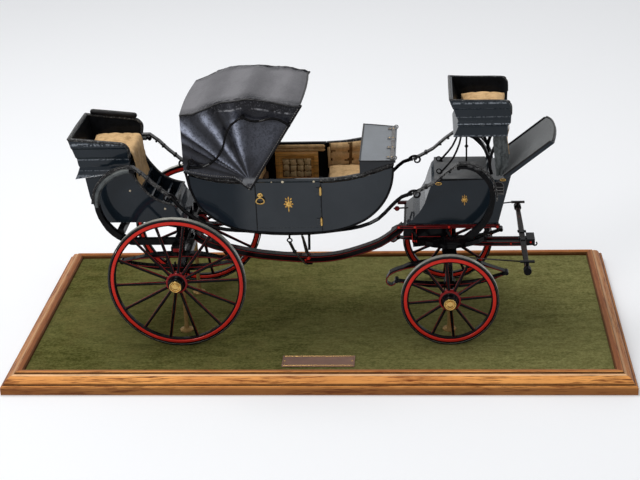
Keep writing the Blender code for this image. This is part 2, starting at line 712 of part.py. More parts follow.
def c_spring(name, curve, foot_x, foot_z):
    """One C spring: a hooked top, the big curve and a flat foot that ends at foot_x."""
    depth = C_SPRING_FOOT_LEAVES * C_SPRING_LEAF
    seat = foot_z - LAP + depth / 2
    direction = 1 if foot_x > curve[-1][0] else -1
    run = [(curve[-1][0] + direction * 0.0120, seat + 0.0012), (curve[-1][0] + direction * 0.022, seat),
           (foot_x, seat)]
    path = smooth_path(list(curve) + run, 2)
    outline = band(path, c_spring_depth)
    outline = [(u, max(v, foot_z - LAP)) if abs(u - foot_x) < 0.05 and v < seat else (u, v)
               for u, v in outline]
    low = -SUSPENSION_SPREAD - C_SPRING_WIDTH / 2
    strap = plate(name, outline, "XZ", low, low + C_SPRING_WIDTH)
    eye_x, eye_z = curve[0]
    eye_x += direction * 0.0002
    eye = cylinder("eye", (eye_x, low - 0.0008, eye_z), (eye_x, low + C_SPRING_WIDTH + 0.0008, eye_z),
                   C_SPRING_EYE_RADIUS, segments=10)
    return boolean(strap, "UNION", [eye])


def flat_strap(name, points, thickness, spread, width, per_span=2):
    outline = band(smooth_path(points, per_span), lambda s: thickness)
    return plate(name, outline, "XZ", -spread - width / 2, -spread + width / 2)


LOOP_REAR_HOOK = (-0.1630, 0.1860)
LOOP_FRONT_HOOK = (0.1085, 0.1875)


def build_suspension():
    # Leather braces: from each body loop, over the top of the spring and down its back
    clear = C_SPRING_TOP_LEAVES * C_SPRING_LEAF / 2 + BRACE_THICKNESS / 2 + 3 * GAP
    for name, hook, middle, curve, lean in (
            ("rear_brace", LOOP_REAR_HOOK, (-0.1830, 0.2035), REAR_C_PATH, 1),
            ("front_brace", LOOP_FRONT_HOOK, (0.1325, 0.2005), FRONT_C_PATH, -1)):
        eye = curve[0]
        over = []
        for before, point, after in zip(curve[1:5], curve[2:6], curve[3:7]):
            span = math.dist(before, after)
            out = ((after[1] - before[1]) / span, -(after[0] - before[0]) / span)
            step = lean * (clear + C_SPRING_LEAF * 1.1)
            over.append((point[0] + out[0] * step, point[1] + out[1] * step))
        top = (eye[0], eye[1] + C_SPRING_EYE_RADIUS + BRACE_THICKNESS / 2 + 4 * GAP)
        reach = BRACE_START / math.dist(hook, middle)
        start = (lerp(hook[0], middle[0], reach), lerp(hook[1], middle[1], reach))
        points = [start, middle, top] + over
        strap = flat_strap("brace", points, BRACE_THICKNESS, SUSPENSION_SPREAD, BRACE_WIDTH)
        finish_pair(strap, name, "leather_black")

    # Iron loops: one bar a side that hooks the braces and passes under the body
    under = [(x, at_x(BODY_BOTTOM, x) - LOOP_IRON_RADIUS - GAP * 3) for x in
             (-0.080, -0.050, -0.010, 0.025)]
    path = ([LOOP_REAR_HOOK, (-0.1480, 0.1680), (-0.1250, 0.1525), (-0.1030, 0.1460)]
            + under + [(0.0500, 0.1485), (0.0700, 0.1575), (0.0850, 0.1730), (0.0970, 0.1840),
                       LOOP_FRONT_HOOK])
    points = [(u, -SUSPENSION_SPREAD, v) for u, v in smooth_path(path, 2)]
    iron = tube("loop_iron", points, LOOP_IRON_RADIUS, resolution=1)
    finish_pair(iron, "loop_iron", "black_iron")


# Side view of the body: the top line runs under the rail, the bottom line from end to end
BODY_TOP = ((-0.1420, 0.2120), (-0.1280, 0.2088), (-0.1120, 0.2055), (-0.0890, 0.2036), (-0.0660, 0.2034),
            (0.0066, 0.2034), (0.0290, 0.2046), (0.0510, 0.2085), (0.0680, 0.2136), (0.0800, 0.2174),
            (0.0880, 0.2190))
BODY_BOTTOM = ((-0.1420, 0.2120), (-0.1405, 0.1980), (-0.1345, 0.1820), (-0.1250, 0.1690), (-0.1090, 0.1575),
               (-0.0920, 0.1500), (-0.0750, 0.1462), (-0.0530, 0.1442), (-0.0300, 0.1433), (0.0040, 0.1440),
               (0.0210, 0.1462), (0.0380, 0.1508), (0.0560, 0.1590), (0.0700, 0.1705), (0.0800, 0.1845),
               (0.0860, 0.2010), (0.0880, 0.2190))


def body_half_width(x):
    """The sides run straight past the doors and draw in towards both ends."""
    if x < BODY_STRAIGHT_REAR_X:
        t = (BODY_STRAIGHT_REAR_X - x) / (BODY_STRAIGHT_REAR_X - BODY_BOTTOM[0][0])
    elif x > BODY_STRAIGHT_FRONT_X:
        t = (x - BODY_STRAIGHT_FRONT_X) / (BODY_BOTTOM[-1][0] - BODY_STRAIGHT_FRONT_X)
    else:
        t = 0.0
    return lerp(BODY_HALF_WIDTH, BODY_END_HALF_WIDTH, t * t)


def body_tub():
    """Open boat-shaped tub: two side panels and one curved sheet from end to end."""
    bottom = smooth_path(BODY_BOTTOM[:4], 1) + smooth_path(BODY_BOTTOM[4:], 1)
    bm = bmesh.new()
    rows = []
    for x, z in bottom:
        top = max(at_x(BODY_TOP, x), z)
        w = body_half_width(x)
        rows.append([(x, -w, top), (x, -w, z), (x, w, z), (x, w, top)])
    verts = []
    for i, row in enumerate(rows):
        if i in (0, len(rows) - 1):
            right = bm.verts.new(row[1])
            left = bm.verts.new(row[2])
            verts.append((right, right, left, left))
        else:
            verts.append(tuple(bm.verts.new(p) for p in row))
    for a, b in zip(verts, verts[1:]):
        for k in range(3):
            corners = []
            for vert in (a[k], a[k + 1], b[k + 1], b[k]):
                if vert not in corners:
                    corners.append(vert)
            if len(corners) > 2:
                bm.faces.new(corners)
    tub = object_from_bmesh("body_tub", bm)
    shell = tub.modifiers.new("wall", "SOLIDIFY")
    shell.thickness = BODY_WALL
    shell.offset = -1
    shell.use_even_offset = True
    bpy.context.view_layer.update()
    return baked(tub)


def rail_points(start, end, steps):
    """Centre line of the right-hand top rail between two places."""
    points = []
    for k in range(steps + 1):
        x = lerp(start, end, k / steps)
        points.append((x, -body_half_width(x) + BODY_WALL / 2, at_x(BODY_TOP, x) + RAIL_RADIUS + RAIL_LIFT))
    return points


def rail_top(x):
    return at_x(BODY_TOP, x) + 2 * RAIL_RADIUS + RAIL_LIFT


def pivot_lug(side):
    """Bracket on the rail that carries the hood bows' pivot pin."""
    low = rail_top(HOOD_PIVOT_X) - 2 * RAIL_RADIUS + 0.0010
    reach = BOW_EYE_RADIUS
    outline = ([(HOOD_PIVOT_X - reach, low), (HOOD_PIVOT_X + reach, low)]
               + arc((HOOD_PIVOT_X, HOOD_PIVOT_Z), reach, 0, math.pi, 6))
    hole = arc((HOOD_PIVOT_X, HOOD_PIVOT_Z), BOW_PIN_RADIUS + GAP, 0, 2 * math.pi * 9 / 10, 9)
    inner = FRONT_BOW_HALF_WIDTH - BOW_RADIUS - GAP - PIVOT_LUG_THICKNESS
    ends = sorted((side * inner, side * (inner + PIVOT_LUG_THICKNESS)))
    return plate("pivot_lug", outline, "XZ", ends[0], ends[1], (hole,))


def build_body():
    shell = body_tub()
    openings = []
    for side in SIDES.values():
        y = side * BODY_HALF_WIDTH
        openings.append(box("door_opening", (DOOR_REAR_X, y - 2 * BODY_WALL, DOOR_SILL_Z),
                            (DOOR_FRONT_X, y + 2 * BODY_WALL, DOOR_OPENING_TOP)))
    finish(boolean(shell, "DIFFERENCE", openings), "body_shell", "slate_paint")

    # The rails run round each end of the body from door to door
    rear = rail_points(DOOR_REAR_X - GAP, BODY_TOP[0][0] + 0.0010, 7)
    front = rail_points(DOOR_FRONT_X + GAP, BODY_TOP[-1][0] - 0.0012, 9)
    for name, run in (("rail_rear", rear), ("rail_front", front)):
        far = [(x, -y, z) for x, y, z in run[::-1]]
        corner = run[-1]
        across = [(corner[0], corner[1] * 0.97, corner[2]), (corner[0], -corner[1] * 0.97, corner[2])]
        rail = tube(name, run[:-1] + across + far[1:], RAIL_RADIUS)
        if name == "rail_rear":
            rail = boolean(rail, "UNION", [pivot_lug(side) for side in SIDES.values()])
        finish(rail, name, "leather_black")

    # Doors, hinged at their front edges
    hinge_y = BODY_HALF_WIDTH + HINGE_STANDOFF
    for side_name, side in SIDES.items():
        outer = side * BODY_HALF_WIDTH
        inner = side * (BODY_HALF_WIDTH - BODY_WALL)
        panel = box("door", (DOOR_REAR_X + GAP, min(outer, inner), DOOR_SILL_Z + GAP),
                    (DOOR_FRONT_X - GAP, max(outer, inner), BODY_TOP[5][1] + 0.002))
        pad_y = sorted((inner + side * LAP, inner - side * DOOR_PAD_THICKNESS))
        pad = box("pad", (DOOR_REAR_X + DOOR_PAD_MARGIN, pad_y[0], DOOR_SILL_Z + DOOR_PAD_MARGIN),
                  (DOOR_FRONT_X - DOOR_PAD_MARGIN, pad_y[1], BODY_TOP[5][1] - 0.004))
        rail = tube("door_rail", [(x, -side * y, z) for x, y, z in
                                  rail_points(DOOR_REAR_X + GAP, DOOR_FRONT_X - GAP, 2)], RAIL_RADIUS)
        hinges = []
        for low, high in HINGE_SPANS:
            hinges.append(cylinder("knuckle", (DOOR_FRONT_X, side * hinge_y, low),
                                   (DOOR_FRONT_X, side * hinge_y, high), HINGE_KNUCKLE_RADIUS, segments=12))
            leaf_y = sorted((outer - side * 0.0006, side * hinge_y))
            hinges.append(box("leaf", (DOOR_FRONT_X - 0.0048, leaf_y[0], low + 0.0008),
                              (DOOR_FRONT_X - GAP * 2, leaf_y[1], high - 0.0008)))
        door = boolean(panel, "UNION", [pad, rail] + hinges)
        origin = (DOOR_FRONT_X, side * hinge_y, DOOR_SILL_Z)
        finish(door, "door_" + side_name, "slate_paint", origin)

        # Drop-ring handle on a short spindle
        face = side * (BODY_HALF_WIDTH + GAP)
        ring_y = side * (BODY_HALF_WIDTH + 0.0022)
        ring_z = HANDLE_Z - 0.0026 - HANDLE_RING_HALF_HEIGHT
        ring = tube("ring", [(HANDLE_X + HANDLE_RING_HALF_WIDTH * math.cos(a), ring_y,
                              ring_z + HANDLE_RING_HALF_HEIGHT * math.sin(a))
                             for a in (2 * math.pi * k / 12 for k in range(12))],
                    HANDLE_WIRE_RADIUS, cyclic=True)
        spindle = cylinder("spindle", (HANDLE_X, face, HANDLE_Z),
                           (HANDLE_X, side * (BODY_HALF_WIDTH + 0.0032), HANDLE_Z), 0.0016, segments=12)
        stem = cylinder("stem", (HANDLE_X, ring_y, HANDLE_Z),
                        (HANDLE_X, ring_y, ring_z + HANDLE_RING_HALF_HEIGHT - 0.0002), 0.0008, segments=8)
        handle = boolean(spindle, "UNION", [stem, ring])
        finish(handle, "door_handle_" + side_name, "brass", (HANDLE_X, ring_y, HANDLE_Z))


def inner_end_x(front, z):
    """X of the tub's inside face at the rear or the front end, at height z."""
    half = len(BODY_BOTTOM) // 2
    points = BODY_BOTTOM[half:] if front else BODY_BOTTOM[:half]
    for (x0, z0), (x1, z1) in zip(points, points[1:]):
        if min(z0, z1) <= z <= max(z0, z1):
            x = lerp(x0, x1, (z - z0) / (z1 - z0))
            return x - BODY_WALL * 1.35 if front else x + BODY_WALL * 1.35
    return points[-1][0]


def inner_floor_z(x):
    return at_x(BODY_BOTTOM, x) + BODY_WALL * 1.3


def cushion(name, low, high, crown):
    """A stuffed cushion: crowned top, sides drawn in between the corners."""
    bm = bmesh.new()
    bmesh.ops.create_cube(bm, size=2.0)
    bmesh.ops.subdivide_edges(bm, edges=bm.edges, cuts=1, use_grid_fill=True)
    centre = [(a + b) / 2 for a, b in zip(low, high)]
    half = [(b - a) / 2 for a, b in zip(low, high)]
    draw_in = 0.0016
    for vert in bm.verts:
        u, v, w = vert.co
        x = half[0] * u - math.copysign(draw_in, u) * (1 - v * v) * (abs(u) > 0.99)
        y = half[1] * v - math.copysign(draw_in, v) * (1 - u * u) * (abs(v) > 0.99)
        z = half[2] * w
        if w > 0.99:
            z += crown * ((1 - u * u) * (1 - v * v) - 1)
        vert.co = (centre[0] + x, centre[1] + y, centre[2] + z)
    obj = object_from_bmesh(name, bm)
    soft = obj.modifiers.new("soft", "SUBSURF")
    soft.levels = 1
    soft.render_levels = 1
    bpy.context.view_layer.update()
    return baked(obj)


def quilted_pad(name, path, z_low, z_high, thickness, channels):
    """An upholstered squab along a path in plan, its face swelling between sewn channels."""
    rows = 2
    steps = len(path) - 1
    bm = bmesh.new()
    backs = []
    fronts = []
    for i, (x, y) in enumerate(path):
        before = path[max(i - 1, 0)]
        after = path[min(i + 1, steps)]
        span = math.dist(before, after)
        normal = (-(after[1] - before[1]) / span, (after[0] - before[0]) / span)
        back_row = []
        front_row = []
        for j in range(rows + 1):
            z = lerp(z_low, z_high, j / rows)
            swell = 0.45 + 0.55 * abs(math.sin(math.pi * channels * i / steps)) ** 0.6
            swell *= 0.55 + 0.45 * math.sin(math.pi * j / rows) ** 0.5
            depth = thickness * swell
            back_row.append(bm.verts.new((x, y, z)))
            front_row.append(bm.verts.new((x + normal[0] * depth, y + normal[1] * depth, z)))
        backs.append(back_row)
        fronts.append(front_row)
    for i in range(steps):
        for j in range(rows):
            bm.faces.new((backs[i][j], backs[i][j + 1], backs[i + 1][j + 1], backs[i + 1][j]))
            bm.faces.new((fronts[i][j], fronts[i + 1][j], fronts[i + 1][j + 1], fronts[i][j + 1]))
        bm.faces.new((backs[i][0], backs[i + 1][0], fronts[i + 1][0], fronts[i][0]))
        bm.faces.new((backs[i][rows], fronts[i][rows], fronts[i + 1][rows], backs[i + 1][rows]))
    for i in (0, steps):
        for j in range(rows):
            bm.faces.new((backs[i][j], fronts[i][j], fronts[i][j + 1], backs[i][j + 1]))
    return object_from_bmesh(name, bm)


def build_interior():
    inner = BODY_END_HALF_WIDTH - BODY_WALL - GAP
    board_low = SEAT_BOARD_TOP - SEAT_BOARD_THICKNESS
    rear_wall = inner_end_x(False, board_low) + GAP
    front_wall = inner_end_x(True, board_low) - GAP
    floor_top = inner_floor_z(BENCH_REAR_EDGE_X) + GAP + FLOOR_THICKNESS
    pieces = []
    for wall, edge, direction in ((rear_wall, BENCH_REAR_EDGE_X, -1), (front_wall, BENCH_FRONT_EDGE_X, 1)):
        board = box("bench", (min(wall, edge), -inner, board_low), (max(wall, edge), inner, SEAT_BOARD_TOP))
        riser_x = edge + direction * SEAT_BOARD_THICKNESS
        riser = box("riser", (min(edge, riser_x), -inner, floor_top - FLOOR_THICKNESS),
                    (max(edge, riser_x), inner, board_low + LAP))
        pieces += [board, riser]
    floor = box("floor", (BENCH_REAR_EDGE_X - LAP, -inner, floor_top - FLOOR_THICKNESS),
                (BENCH_FRONT_EDGE_X + LAP, inner, floor_top))
    finish(boolean(floor, "UNION", pieces), "seat_benches", "bench_wood")

    top = SEAT_BOARD_TOP + GAP
    rear_cushion = cushion("rear_cushion", (rear_wall, -inner, top),
                           (BENCH_REAR_EDGE_X, inner, top + CUSHION_HEIGHT), CUSHION_CROWN)
    finish(rear_cushion, "rear_cushion", "tan_leather")
    front_cushion = cushion("front_cushion", (BENCH_FRONT_EDGE_X - 0.002, -inner, top),
                            (front_wall, inner, top + CUSHION_HEIGHT), CUSHION_CROWN)
    finish(front_cushion, "front_cushion", "tan_leather")

    # Squabs round each end, above the cushions, from door to door
    low = top + CUSHION_HEIGHT + GAP
    for front in (False, True):
        high = (0.2030 if front else 0.2040) - GAP
        end = inner_end_x(front, low) + (-GAP if front else GAP)
        jamb = DOOR_FRONT_X + 0.006 if front else DOOR_REAR_X - 0.006
        reach = inner - 0.0004
        bend = end - 0.010 if front else end + 0.010
        path = [(lerp(jamb, bend, k / 6), -reach) for k in range(7)]
        path += [(lerp(bend, end, 0.7), -reach * 0.975)]
        path += [(end, lerp(-reach * 0.90, reach * 0.90, k / 12)) for k in range(13)]
        path += [(x, -y) for x, y in path[:8][::-1]]
        if not front:
            path = path[::-1]
        name = "squab_front" if front else "squab_rear"
        finish(quilted_pad(name, path, low, high, SQUAB_THICKNESS, 9), name, "tan_leather")


ROOF_LINE = ((-0.1450, 0.2800), (-0.1300, 0.2865), (-0.1100, 0.2935), (-0.0900, 0.2995), (-0.0700, 0.3015),
             (-0.0500, 0.2995), (-0.0300, 0.2950), (-0.0130, 0.2910))


def hood_edge_x(z):
    """Front edge of the hood's side at height z."""
    t = (z - HOOD_SKIRT_Z) / (HOOD_EDGE_TOP_Z - HOOD_SKIRT_Z)
    return lerp(HOOD_EDGE_FOOT_X, HOOD_EDGE_TOP_X, t)


def hood_skirt(t):
    """Bottom edge of the side leather, by the fraction from the rear to the front edge."""
    x = lerp(HOOD_REAR_X, HOOD_EDGE_FOOT_X, t)
    tip = max(0.0, 1 - abs(t - 0.82) / 0.12)
    return max(rail_top(x) + 2 * GAP, HOOD_SKIRT_Z - 0.0035) - 0.0105 * tip


def fold(x, z):
    """Outward swell of the side leather: large folds that spread from the bows' pivot."""
    dx = x - HOOD_PIVOT_X
    dz = z - HOOD_PIVOT_Z
    reach = math.hypot(dx, dz)
    angle = math.atan2(dz, dx)
    wave = 0.5 - 0.5 * math.cos(angle / math.pi * 2 * HOOD_FOLDS)
    fade = min(1.0, reach / 0.05) * min(1.0, max(0.0, (0.097 - reach) / 0.02))
    return HOOD_FOLD_DEPTH * wave * fade


def hood_leather():
    """One skin: right side, roof, left side and the back curtain, open below and in front."""
    side_rows = 6
    roof_columns = 6
    along = 13
    half = HOOD_INNER_HALF_WIDTH
    bm = bmesh.new()
    grid = []
    for i in range(along + 1):
        t = i / along
        column = []
        roof_x = lerp(HOOD_REAR_X, HOOD_EDGE_TOP_X, t)
        roof_z = at_x(ROOF_LINE, roof_x)
        shoulder = roof_z - HOOD_CORNER_RADIUS
        foot = hood_skirt(t)
        side = []
        for j in range(side_rows):
            z = lerp(foot, shoulder, j / (side_rows - 1))
            x = lerp(HOOD_REAR_X, hood_edge_x(z), t)
            side.append((x, -half - fold(x, z) * (0 < i < along), z))
        lean = HOOD_CORNER_RADIUS * (1 - math.cos(math.pi / 4))
        knee_z = roof_z - lean
        side.append((lerp(HOOD_REAR_X, hood_edge_x(knee_z), t), -half + lean, knee_z))
        flat = half - HOOD_CORNER_RADIUS
        roof = []
        for j in range(roof_columns + 1):
            y = lerp(-flat, flat, j / roof_columns)
            crown = HOOD_ROOF_CROWN * (1 - (y / flat) ** 2)
            roof.append((roof_x + 0.004 * t * (1 - (y / flat) ** 2), y, roof_z + crown))
        mirror = [(x, -y, z) for x, y, z in side[::-1]]
        column = side + roof + mirror
        grid.append([bm.verts.new(p) for p in column])
    count = len(grid[0])
    for a, b in zip(grid, grid[1:]):
        for j in range(count - 1):
            bm.faces.new((a[j], b[j], b[j + 1], a[j + 1]))
    # Back curtain between the two sides, row by row up to the roof's rear edge
    rear = grid[0]
    rows = []
    for j in range(side_rows + 1):
        right = rear[j]
        left = rear[count - 1 - j]
        row = [right]
        for k in range(1, roof_columns):
            t = k / roof_columns
            y = lerp(right.co.y, left.co.y, t)
            row.append(bm.verts.new((right.co.x - 0.002 * math.sin(math.pi * t), y, right.co.z)))
        row.append(left)
        rows.append(row)
    rows.append([rear[side_rows + 1 + k] for k in range(roof_columns + 1)])
    for low, high in zip(rows, rows[1:]):
        for k in range(roof_columns):
            bm.faces.new((low[k], high[k], high[k + 1], low[k + 1]))
    obj = object_from_bmesh("hood_leather", bm)
    skin = obj.modifiers.new("thickness", "SOLIDIFY")
    skin.thickness = HOOD_LEATHER
    skin.offset = 1
    skin.use_even_offset = True
    bpy.context.view_layer.update()
    return baked(obj)


def hoop(foot, shoulder, top_z, half_width, corner=0.007):
    """Points of a bow: up one side from its foot, across under the roof and down the other."""
    run = [(foot[0], -half_width, foot[1]), (lerp(foot[0], shoulder[0], 0.5), -half_width,
                                             lerp(foot[1], shoulder[1], 0.5)),
           (shoulder[0], -half_width, shoulder[1])]
    bend = [(shoulder[0], -half_width + corner * 0.3, lerp(shoulder[1], top_z, 0.75)),
            (shoulder[0], -half_width + corner, top_z), (shoulder[0], -half_width * 0.4, top_z + 0.003)]
    near = run + bend
    return near + [(x, -y, z) for x, y, z in near[::-1]]


def build_hood():
    finish(hood_leather(), "hood_leather", "leather_black")
    pivot = (HOOD_PIVOT_X, 0, HOOD_PIVOT_Z)
    eye_half = BOW_RADIUS

    def eye_ring(half_width, side, hole):
        place = (Matrix.Translation((HOOD_PIVOT_X, side * half_width, HOOD_PIVOT_Z))
                 @ Matrix.Rotation(math.pi / 2, 4, "X"))
        if hole:
            profile = ((BOW_EYE_RADIUS, eye_half), (BOW_EYE_RADIUS, -eye_half), (hole, -eye_half),
                       (hole, eye_half))
            return turned("eye", profile, 10, place, True)
        profile = ((0, eye_half), (BOW_EYE_RADIUS, eye_half), (BOW_EYE_RADIUS, -eye_half), (0, -eye_half))
        return turned("eye", profile, 10, place)

    # The front bow carries the pivot pins
    lift = HOOD_LEATHER / 2 + BOW_RADIUS
    edge_foot = (HOOD_EDGE_FOOT_X - lift - 0.0010, HOOD_SKIRT_Z + 0.0050)
    shoulder = (HOOD_EDGE_TOP_X - lift - 0.0060, HOOD_EDGE_TOP_Z - 0.0100)
    points = hoop(edge_foot, shoulder, HOOD_EDGE_TOP_Z - lift + 0.0006, FRONT_BOW_HALF_WIDTH)
    feet = [(HOOD_PIVOT_X + 0.0014, -FRONT_BOW_HALF_WIDTH, HOOD_PIVOT_Z + 0.0010)]
    points = feet + points + [(x, -y, z) for x, y, z in feet]
    front = tube("front_bow", points, BOW_RADIUS)
    parts = []
    for side in SIDES.values():
        parts.append(eye_ring(FRONT_BOW_HALF_WIDTH, side, 0))
        parts.append(cylinder("pin", (HOOD_PIVOT_X, side * (MID_BOW_HALF_WIDTH - BOW_RADIUS), HOOD_PIVOT_Z),
                              (HOOD_PIVOT_X, side * FRONT_BOW_HALF_WIDTH, HOOD_PIVOT_Z), BOW_PIN_RADIUS,
                              segments=10))
    finish(boolean(front, "UNION", parts), "hood_front_bow", "black_iron", pivot)

    mid_x = ROOF_LINE[4][0] - 0.006
    mid_top = at_x(ROOF_LINE, mid_x) - HOOD_LEATHER / 2 - BOW_RADIUS - GAP
    start = (HOOD_PIVOT_X - 0.0002, HOOD_PIVOT_Z + BOW_EYE_RADIUS - 0.0006)
    points = hoop(start, (mid_x, mid_top - 0.009), mid_top, MID_BOW_HALF_WIDTH)
    mid = tube("mid_bow", points, BOW_RADIUS)
    eyes = [eye_ring(MID_BOW_HALF_WIDTH, side, BOW_PIN_RADIUS + GAP) for side in SIDES.values()]
    finish(boolean(mid, "UNION", eyes), "hood_mid_bow", "black_iron", pivot)

    rear_x = HOOD_REAR_X + BOW_RADIUS + 3 * GAP
    rear_top = ROOF_LINE[0][1] - HOOD_LEATHER / 2 - BOW_RADIUS
    foot_z = rail_top(rear_x) + GAP
    points = hoop((rear_x, foot_z), (rear_x, rear_top - 0.009), rear_top, BODY_END_HALF_WIDTH - BODY_WALL / 2)
    finish(tube("hood_rear_bow", points, BOW_RADIUS), "hood_rear_bow", "black_iron")

    # Head irons: an S-shaped lower link and a short upper link, lapped at the elbow
    outer = HOOD_INNER_HALF_WIDTH + HOOD_LEATHER + HOOD_FOLD_DEPTH + HEAD_IRON_RADIUS + 2 * GAP
    lower_path = smooth_path([HEAD_IRON_FOOT, (-0.1220, 0.2270), (-0.1080, 0.2355), (-0.0990, 0.2480),
                              (-0.0950, 0.2620), (-0.0880, 0.2755), HEAD_IRON_ELBOW], 2)
    lower = tube("lower", [(x, -outer, z) for x, z in lower_path], HEAD_IRON_RADIUS)
    eye_low = -outer - HEAD_IRON_RADIUS
    eye_high = -outer + HEAD_IRON_RADIUS
    lower_eyes = [cylinder("eye", (p[0], eye_low, p[1]), (p[0], eye_high, p[1]), HEAD_IRON_RADIUS * 1.7,
                           segments=8) for p in (HEAD_IRON_FOOT, HEAD_IRON_ELBOW)]
    stud = cylinder("stud", (HEAD_IRON_FOOT[0], eye_high - 0.0005, HEAD_IRON_FOOT[1]),
                    (HEAD_IRON_FOOT[0], -HOOD_INNER_HALF_WIDTH - HOOD_LEATHER - GAP * 2, HEAD_IRON_FOOT[1]),
                    HEAD_IRON_RADIUS, segments=10)
    lower = boolean(lower, "UNION", lower_eyes + [stud])
    finish_pair(lower, "head_iron_lower", "black_iron", (HEAD_IRON_FOOT[0], -outer, HEAD_IRON_FOOT[1]))

    lap = outer + 2 * HEAD_IRON_RADIUS + GAP
    upper_path = smooth_path([HEAD_IRON_ELBOW, (-0.0660, 0.2810), (-0.0560, 0.2805), (-0.0440, 0.2835),
                              (-0.0340, 0.2815), HEAD_IRON_TIP], 2)
    upper = tube("upper", [(x, -lap, z) for x, z in upper_path], HEAD_IRON_RADIUS)
    upper_eyes = []
    for p in (HEAD_IRON_ELBOW, HEAD_IRON_TIP):
        upper_eyes.append(cylinder("eye", (p[0], -lap - HEAD_IRON_RADIUS, p[1]),
                                   (p[0], -lap + HEAD_IRON_RADIUS, p[1]), HEAD_IRON_RADIUS * 1.7, segments=8))
    stud = cylinder("stud", (HEAD_IRON_TIP[0], -lap, HEAD_IRON_TIP[1]),
                    (HEAD_IRON_TIP[0], -HOOD_INNER_HALF_WIDTH - HOOD_LEATHER - GAP * 2, HEAD_IRON_TIP[1]),
                    HEAD_IRON_RADIUS, segments=10)
    upper = boolean(upper, "UNION", upper_eyes + [stud])
    finish_pair(upper, "head_iron_upper", "black_iron", (HEAD_IRON_TIP[0], -lap, HEAD_IRON_TIP[1]))


def build_apron():
    """Leather-covered lid over the front end: flat on top, its side cheeks follow the rail."""
    steps = 5
    sections = []
    front_top = rail_top(APRON_HINGE_X) + GAP + APRON_LEATHER
    for k in range(steps + 1):
        x = lerp(APRON_REAR_X, APRON_HINGE_X, k / steps)
        w = body_half_width(min(x, BODY_TOP[-1][0])) + 0.0010
        top = lerp(APRON_TOP_Z, front_top, k / steps)
        foot = min(rail_top(x) + GAP, top - APRON_LEATHER)
        inside = w - APRON_LEATHER
        deck = top - APRON_LEATHER
        inner_foot = min(foot, deck - 0.0002)
        sections.append([(x, -w, foot), (x, -w, top), (x, w, top), (x, w, foot), (x, inside, inner_foot),
                         (x, inside, deck), (x, -inside, deck), (x, -inside, inner_foot)])
    obj = loft("front_apron", sections)
    finish(obj, "front_apron", "leather_grey", (APRON_HINGE_X, 0, front_top))


def seat_box(name, levels, wall, floor_z, open_x):
    """A flared seat box lofted through its levels, hollowed above its floor and open in front.
    Each level is (rear z, front z, rear x, front x, half width)."""
    sections = [[(rear, -half, rear_z), (front, -half, front_z), (front, half, front_z), (rear, half, rear_z)]
                for rear_z, front_z, rear, front, half in levels]
    body = loft(name, sections)
    above = [level for level in levels if level[0] > floor_z]
    top_z, front_z, top_rear, top_front, top_half = levels[-1]
    low_rear = max(level[2] for level in above) + wall
    low_half = min(level[4] for level in above) - wall
    over = top_z + 0.004
    cavity = [[(low_rear, -low_half, floor_z), (open_x, -low_half, floor_z),
               (open_x, low_half, floor_z), (low_rear, low_half, floor_z)],
              [(top_rear + wall, wall - top_half, over), (open_x, wall - top_half, over),
               (open_x, top_half - wall, over), (top_rear + wall, top_half - wall, over)]]
    return boolean(body, "DIFFERENCE", [loft("cavity", cavity)])


RUMBLE_LEVELS = ((0.2040, 0.2118, -0.2740, -0.2116, 0.0420), (0.2100, 0.2150, -0.2710, -0.2114, 0.0405),
                 (0.2175, 0.2190, -0.2682, -0.2110, 0.0395), (0.2205, 0.2215, -0.2692, -0.2106, 0.0403),
                 (0.2285, 0.2285, -0.2700, -0.2104, 0.0408), (0.2300, 0.2300, -0.2712, -0.2100, 0.0417),
                 (0.2400, 0.2400, -0.2738, -0.2090, 0.0432), (0.2420, 0.2420, -0.2748, -0.2088, 0.0444),
                 (0.2530, 0.2530, -0.2770, -0.2100, 0.0460))
RUMBLE_TOP_FALL = 0.1068  # the side panels' tops drop this much per unit of length towards the front


def rumble_top(x):
    """Height of the side panels' sloping top edge."""
    return RUMBLE_TOP_Z + 0.0004 - (x + 0.2800) * RUMBLE_TOP_FALL


def rumble_underside(x):
    rear_z, front_z, rear, front, half = RUMBLE_LEVELS[0]
    return lerp(rear_z, front_z, (x - rear) / (front - rear))


TROUGH_LINE = ((-0.2105, 0.2105), (-0.2070, 0.2020), (-0.2010, 0.1925), (-0.1910, 0.1808), (-0.1780, 0.1725),
               (-0.1640, 0.1685))


def build_rear_boot():
    """Deep boot below the footman's seat; its curved front is an open, ribbed foot trough."""
    edge = smooth_path(TROUGH_LINE, 2)
    outline = ([(-0.2640, rumble_underside(-0.2640) - GAP), (-0.2605, 0.1800), (-0.2520, 0.1545),
                (-0.2480, REAR_BOOT_FLOOR_Z), (-0.1525, REAR_BOOT_FLOOR_Z), (-0.1570, 0.1560),
                (-0.1612, 0.1625)]
               + edge[::-1] + [(-0.2130, rumble_underside(-0.2130) - GAP)])
    boot = plate("rear_boot", outline, "XZ", -REAR_BOOT_HALF_WIDTH, REAR_BOOT_HALF_WIDTH)
    inner_half = REAR_BOOT_HALF_WIDTH - REAR_BOOT_WALL
    line = smooth_path(TROUGH_LINE[1:], 2)
    rear = line[0]
    front = line[-1]
    below = [(x - 0.004, z - TROUGH_DEPTH) for x, z in line]
    trough = ([(rear[0] + 0.0010, rear[1] + 0.03)] + [(rear[0] - 0.004, rear[1] - TROUGH_DEPTH)] + below[1:]
              + [(front[0] - 0.0030, front[1] - TROUGH_DEPTH), (front[0] - 0.0030, front[1] + 0.06)])
    cutter = plate("trough", trough, "XZ", -inner_half, inner_half)
    boot = boolean(boot, "DIFFERENCE", [cutter])
    ribs = []
    for k in range(TROUGH_RIBS):
        x, z = line[2 + 2 * k]
        ribs.append(box("rib", (x - 0.0010, -inner_half - 0.0010, z - TROUGH_DEPTH - 0.0030),
                        (x + 0.0010, inner_half + 0.0010, z - 0.0040)))
    boot = boolean(boot, "UNION", ribs)
    finish(boot, "rear_boot", "slate_paint")


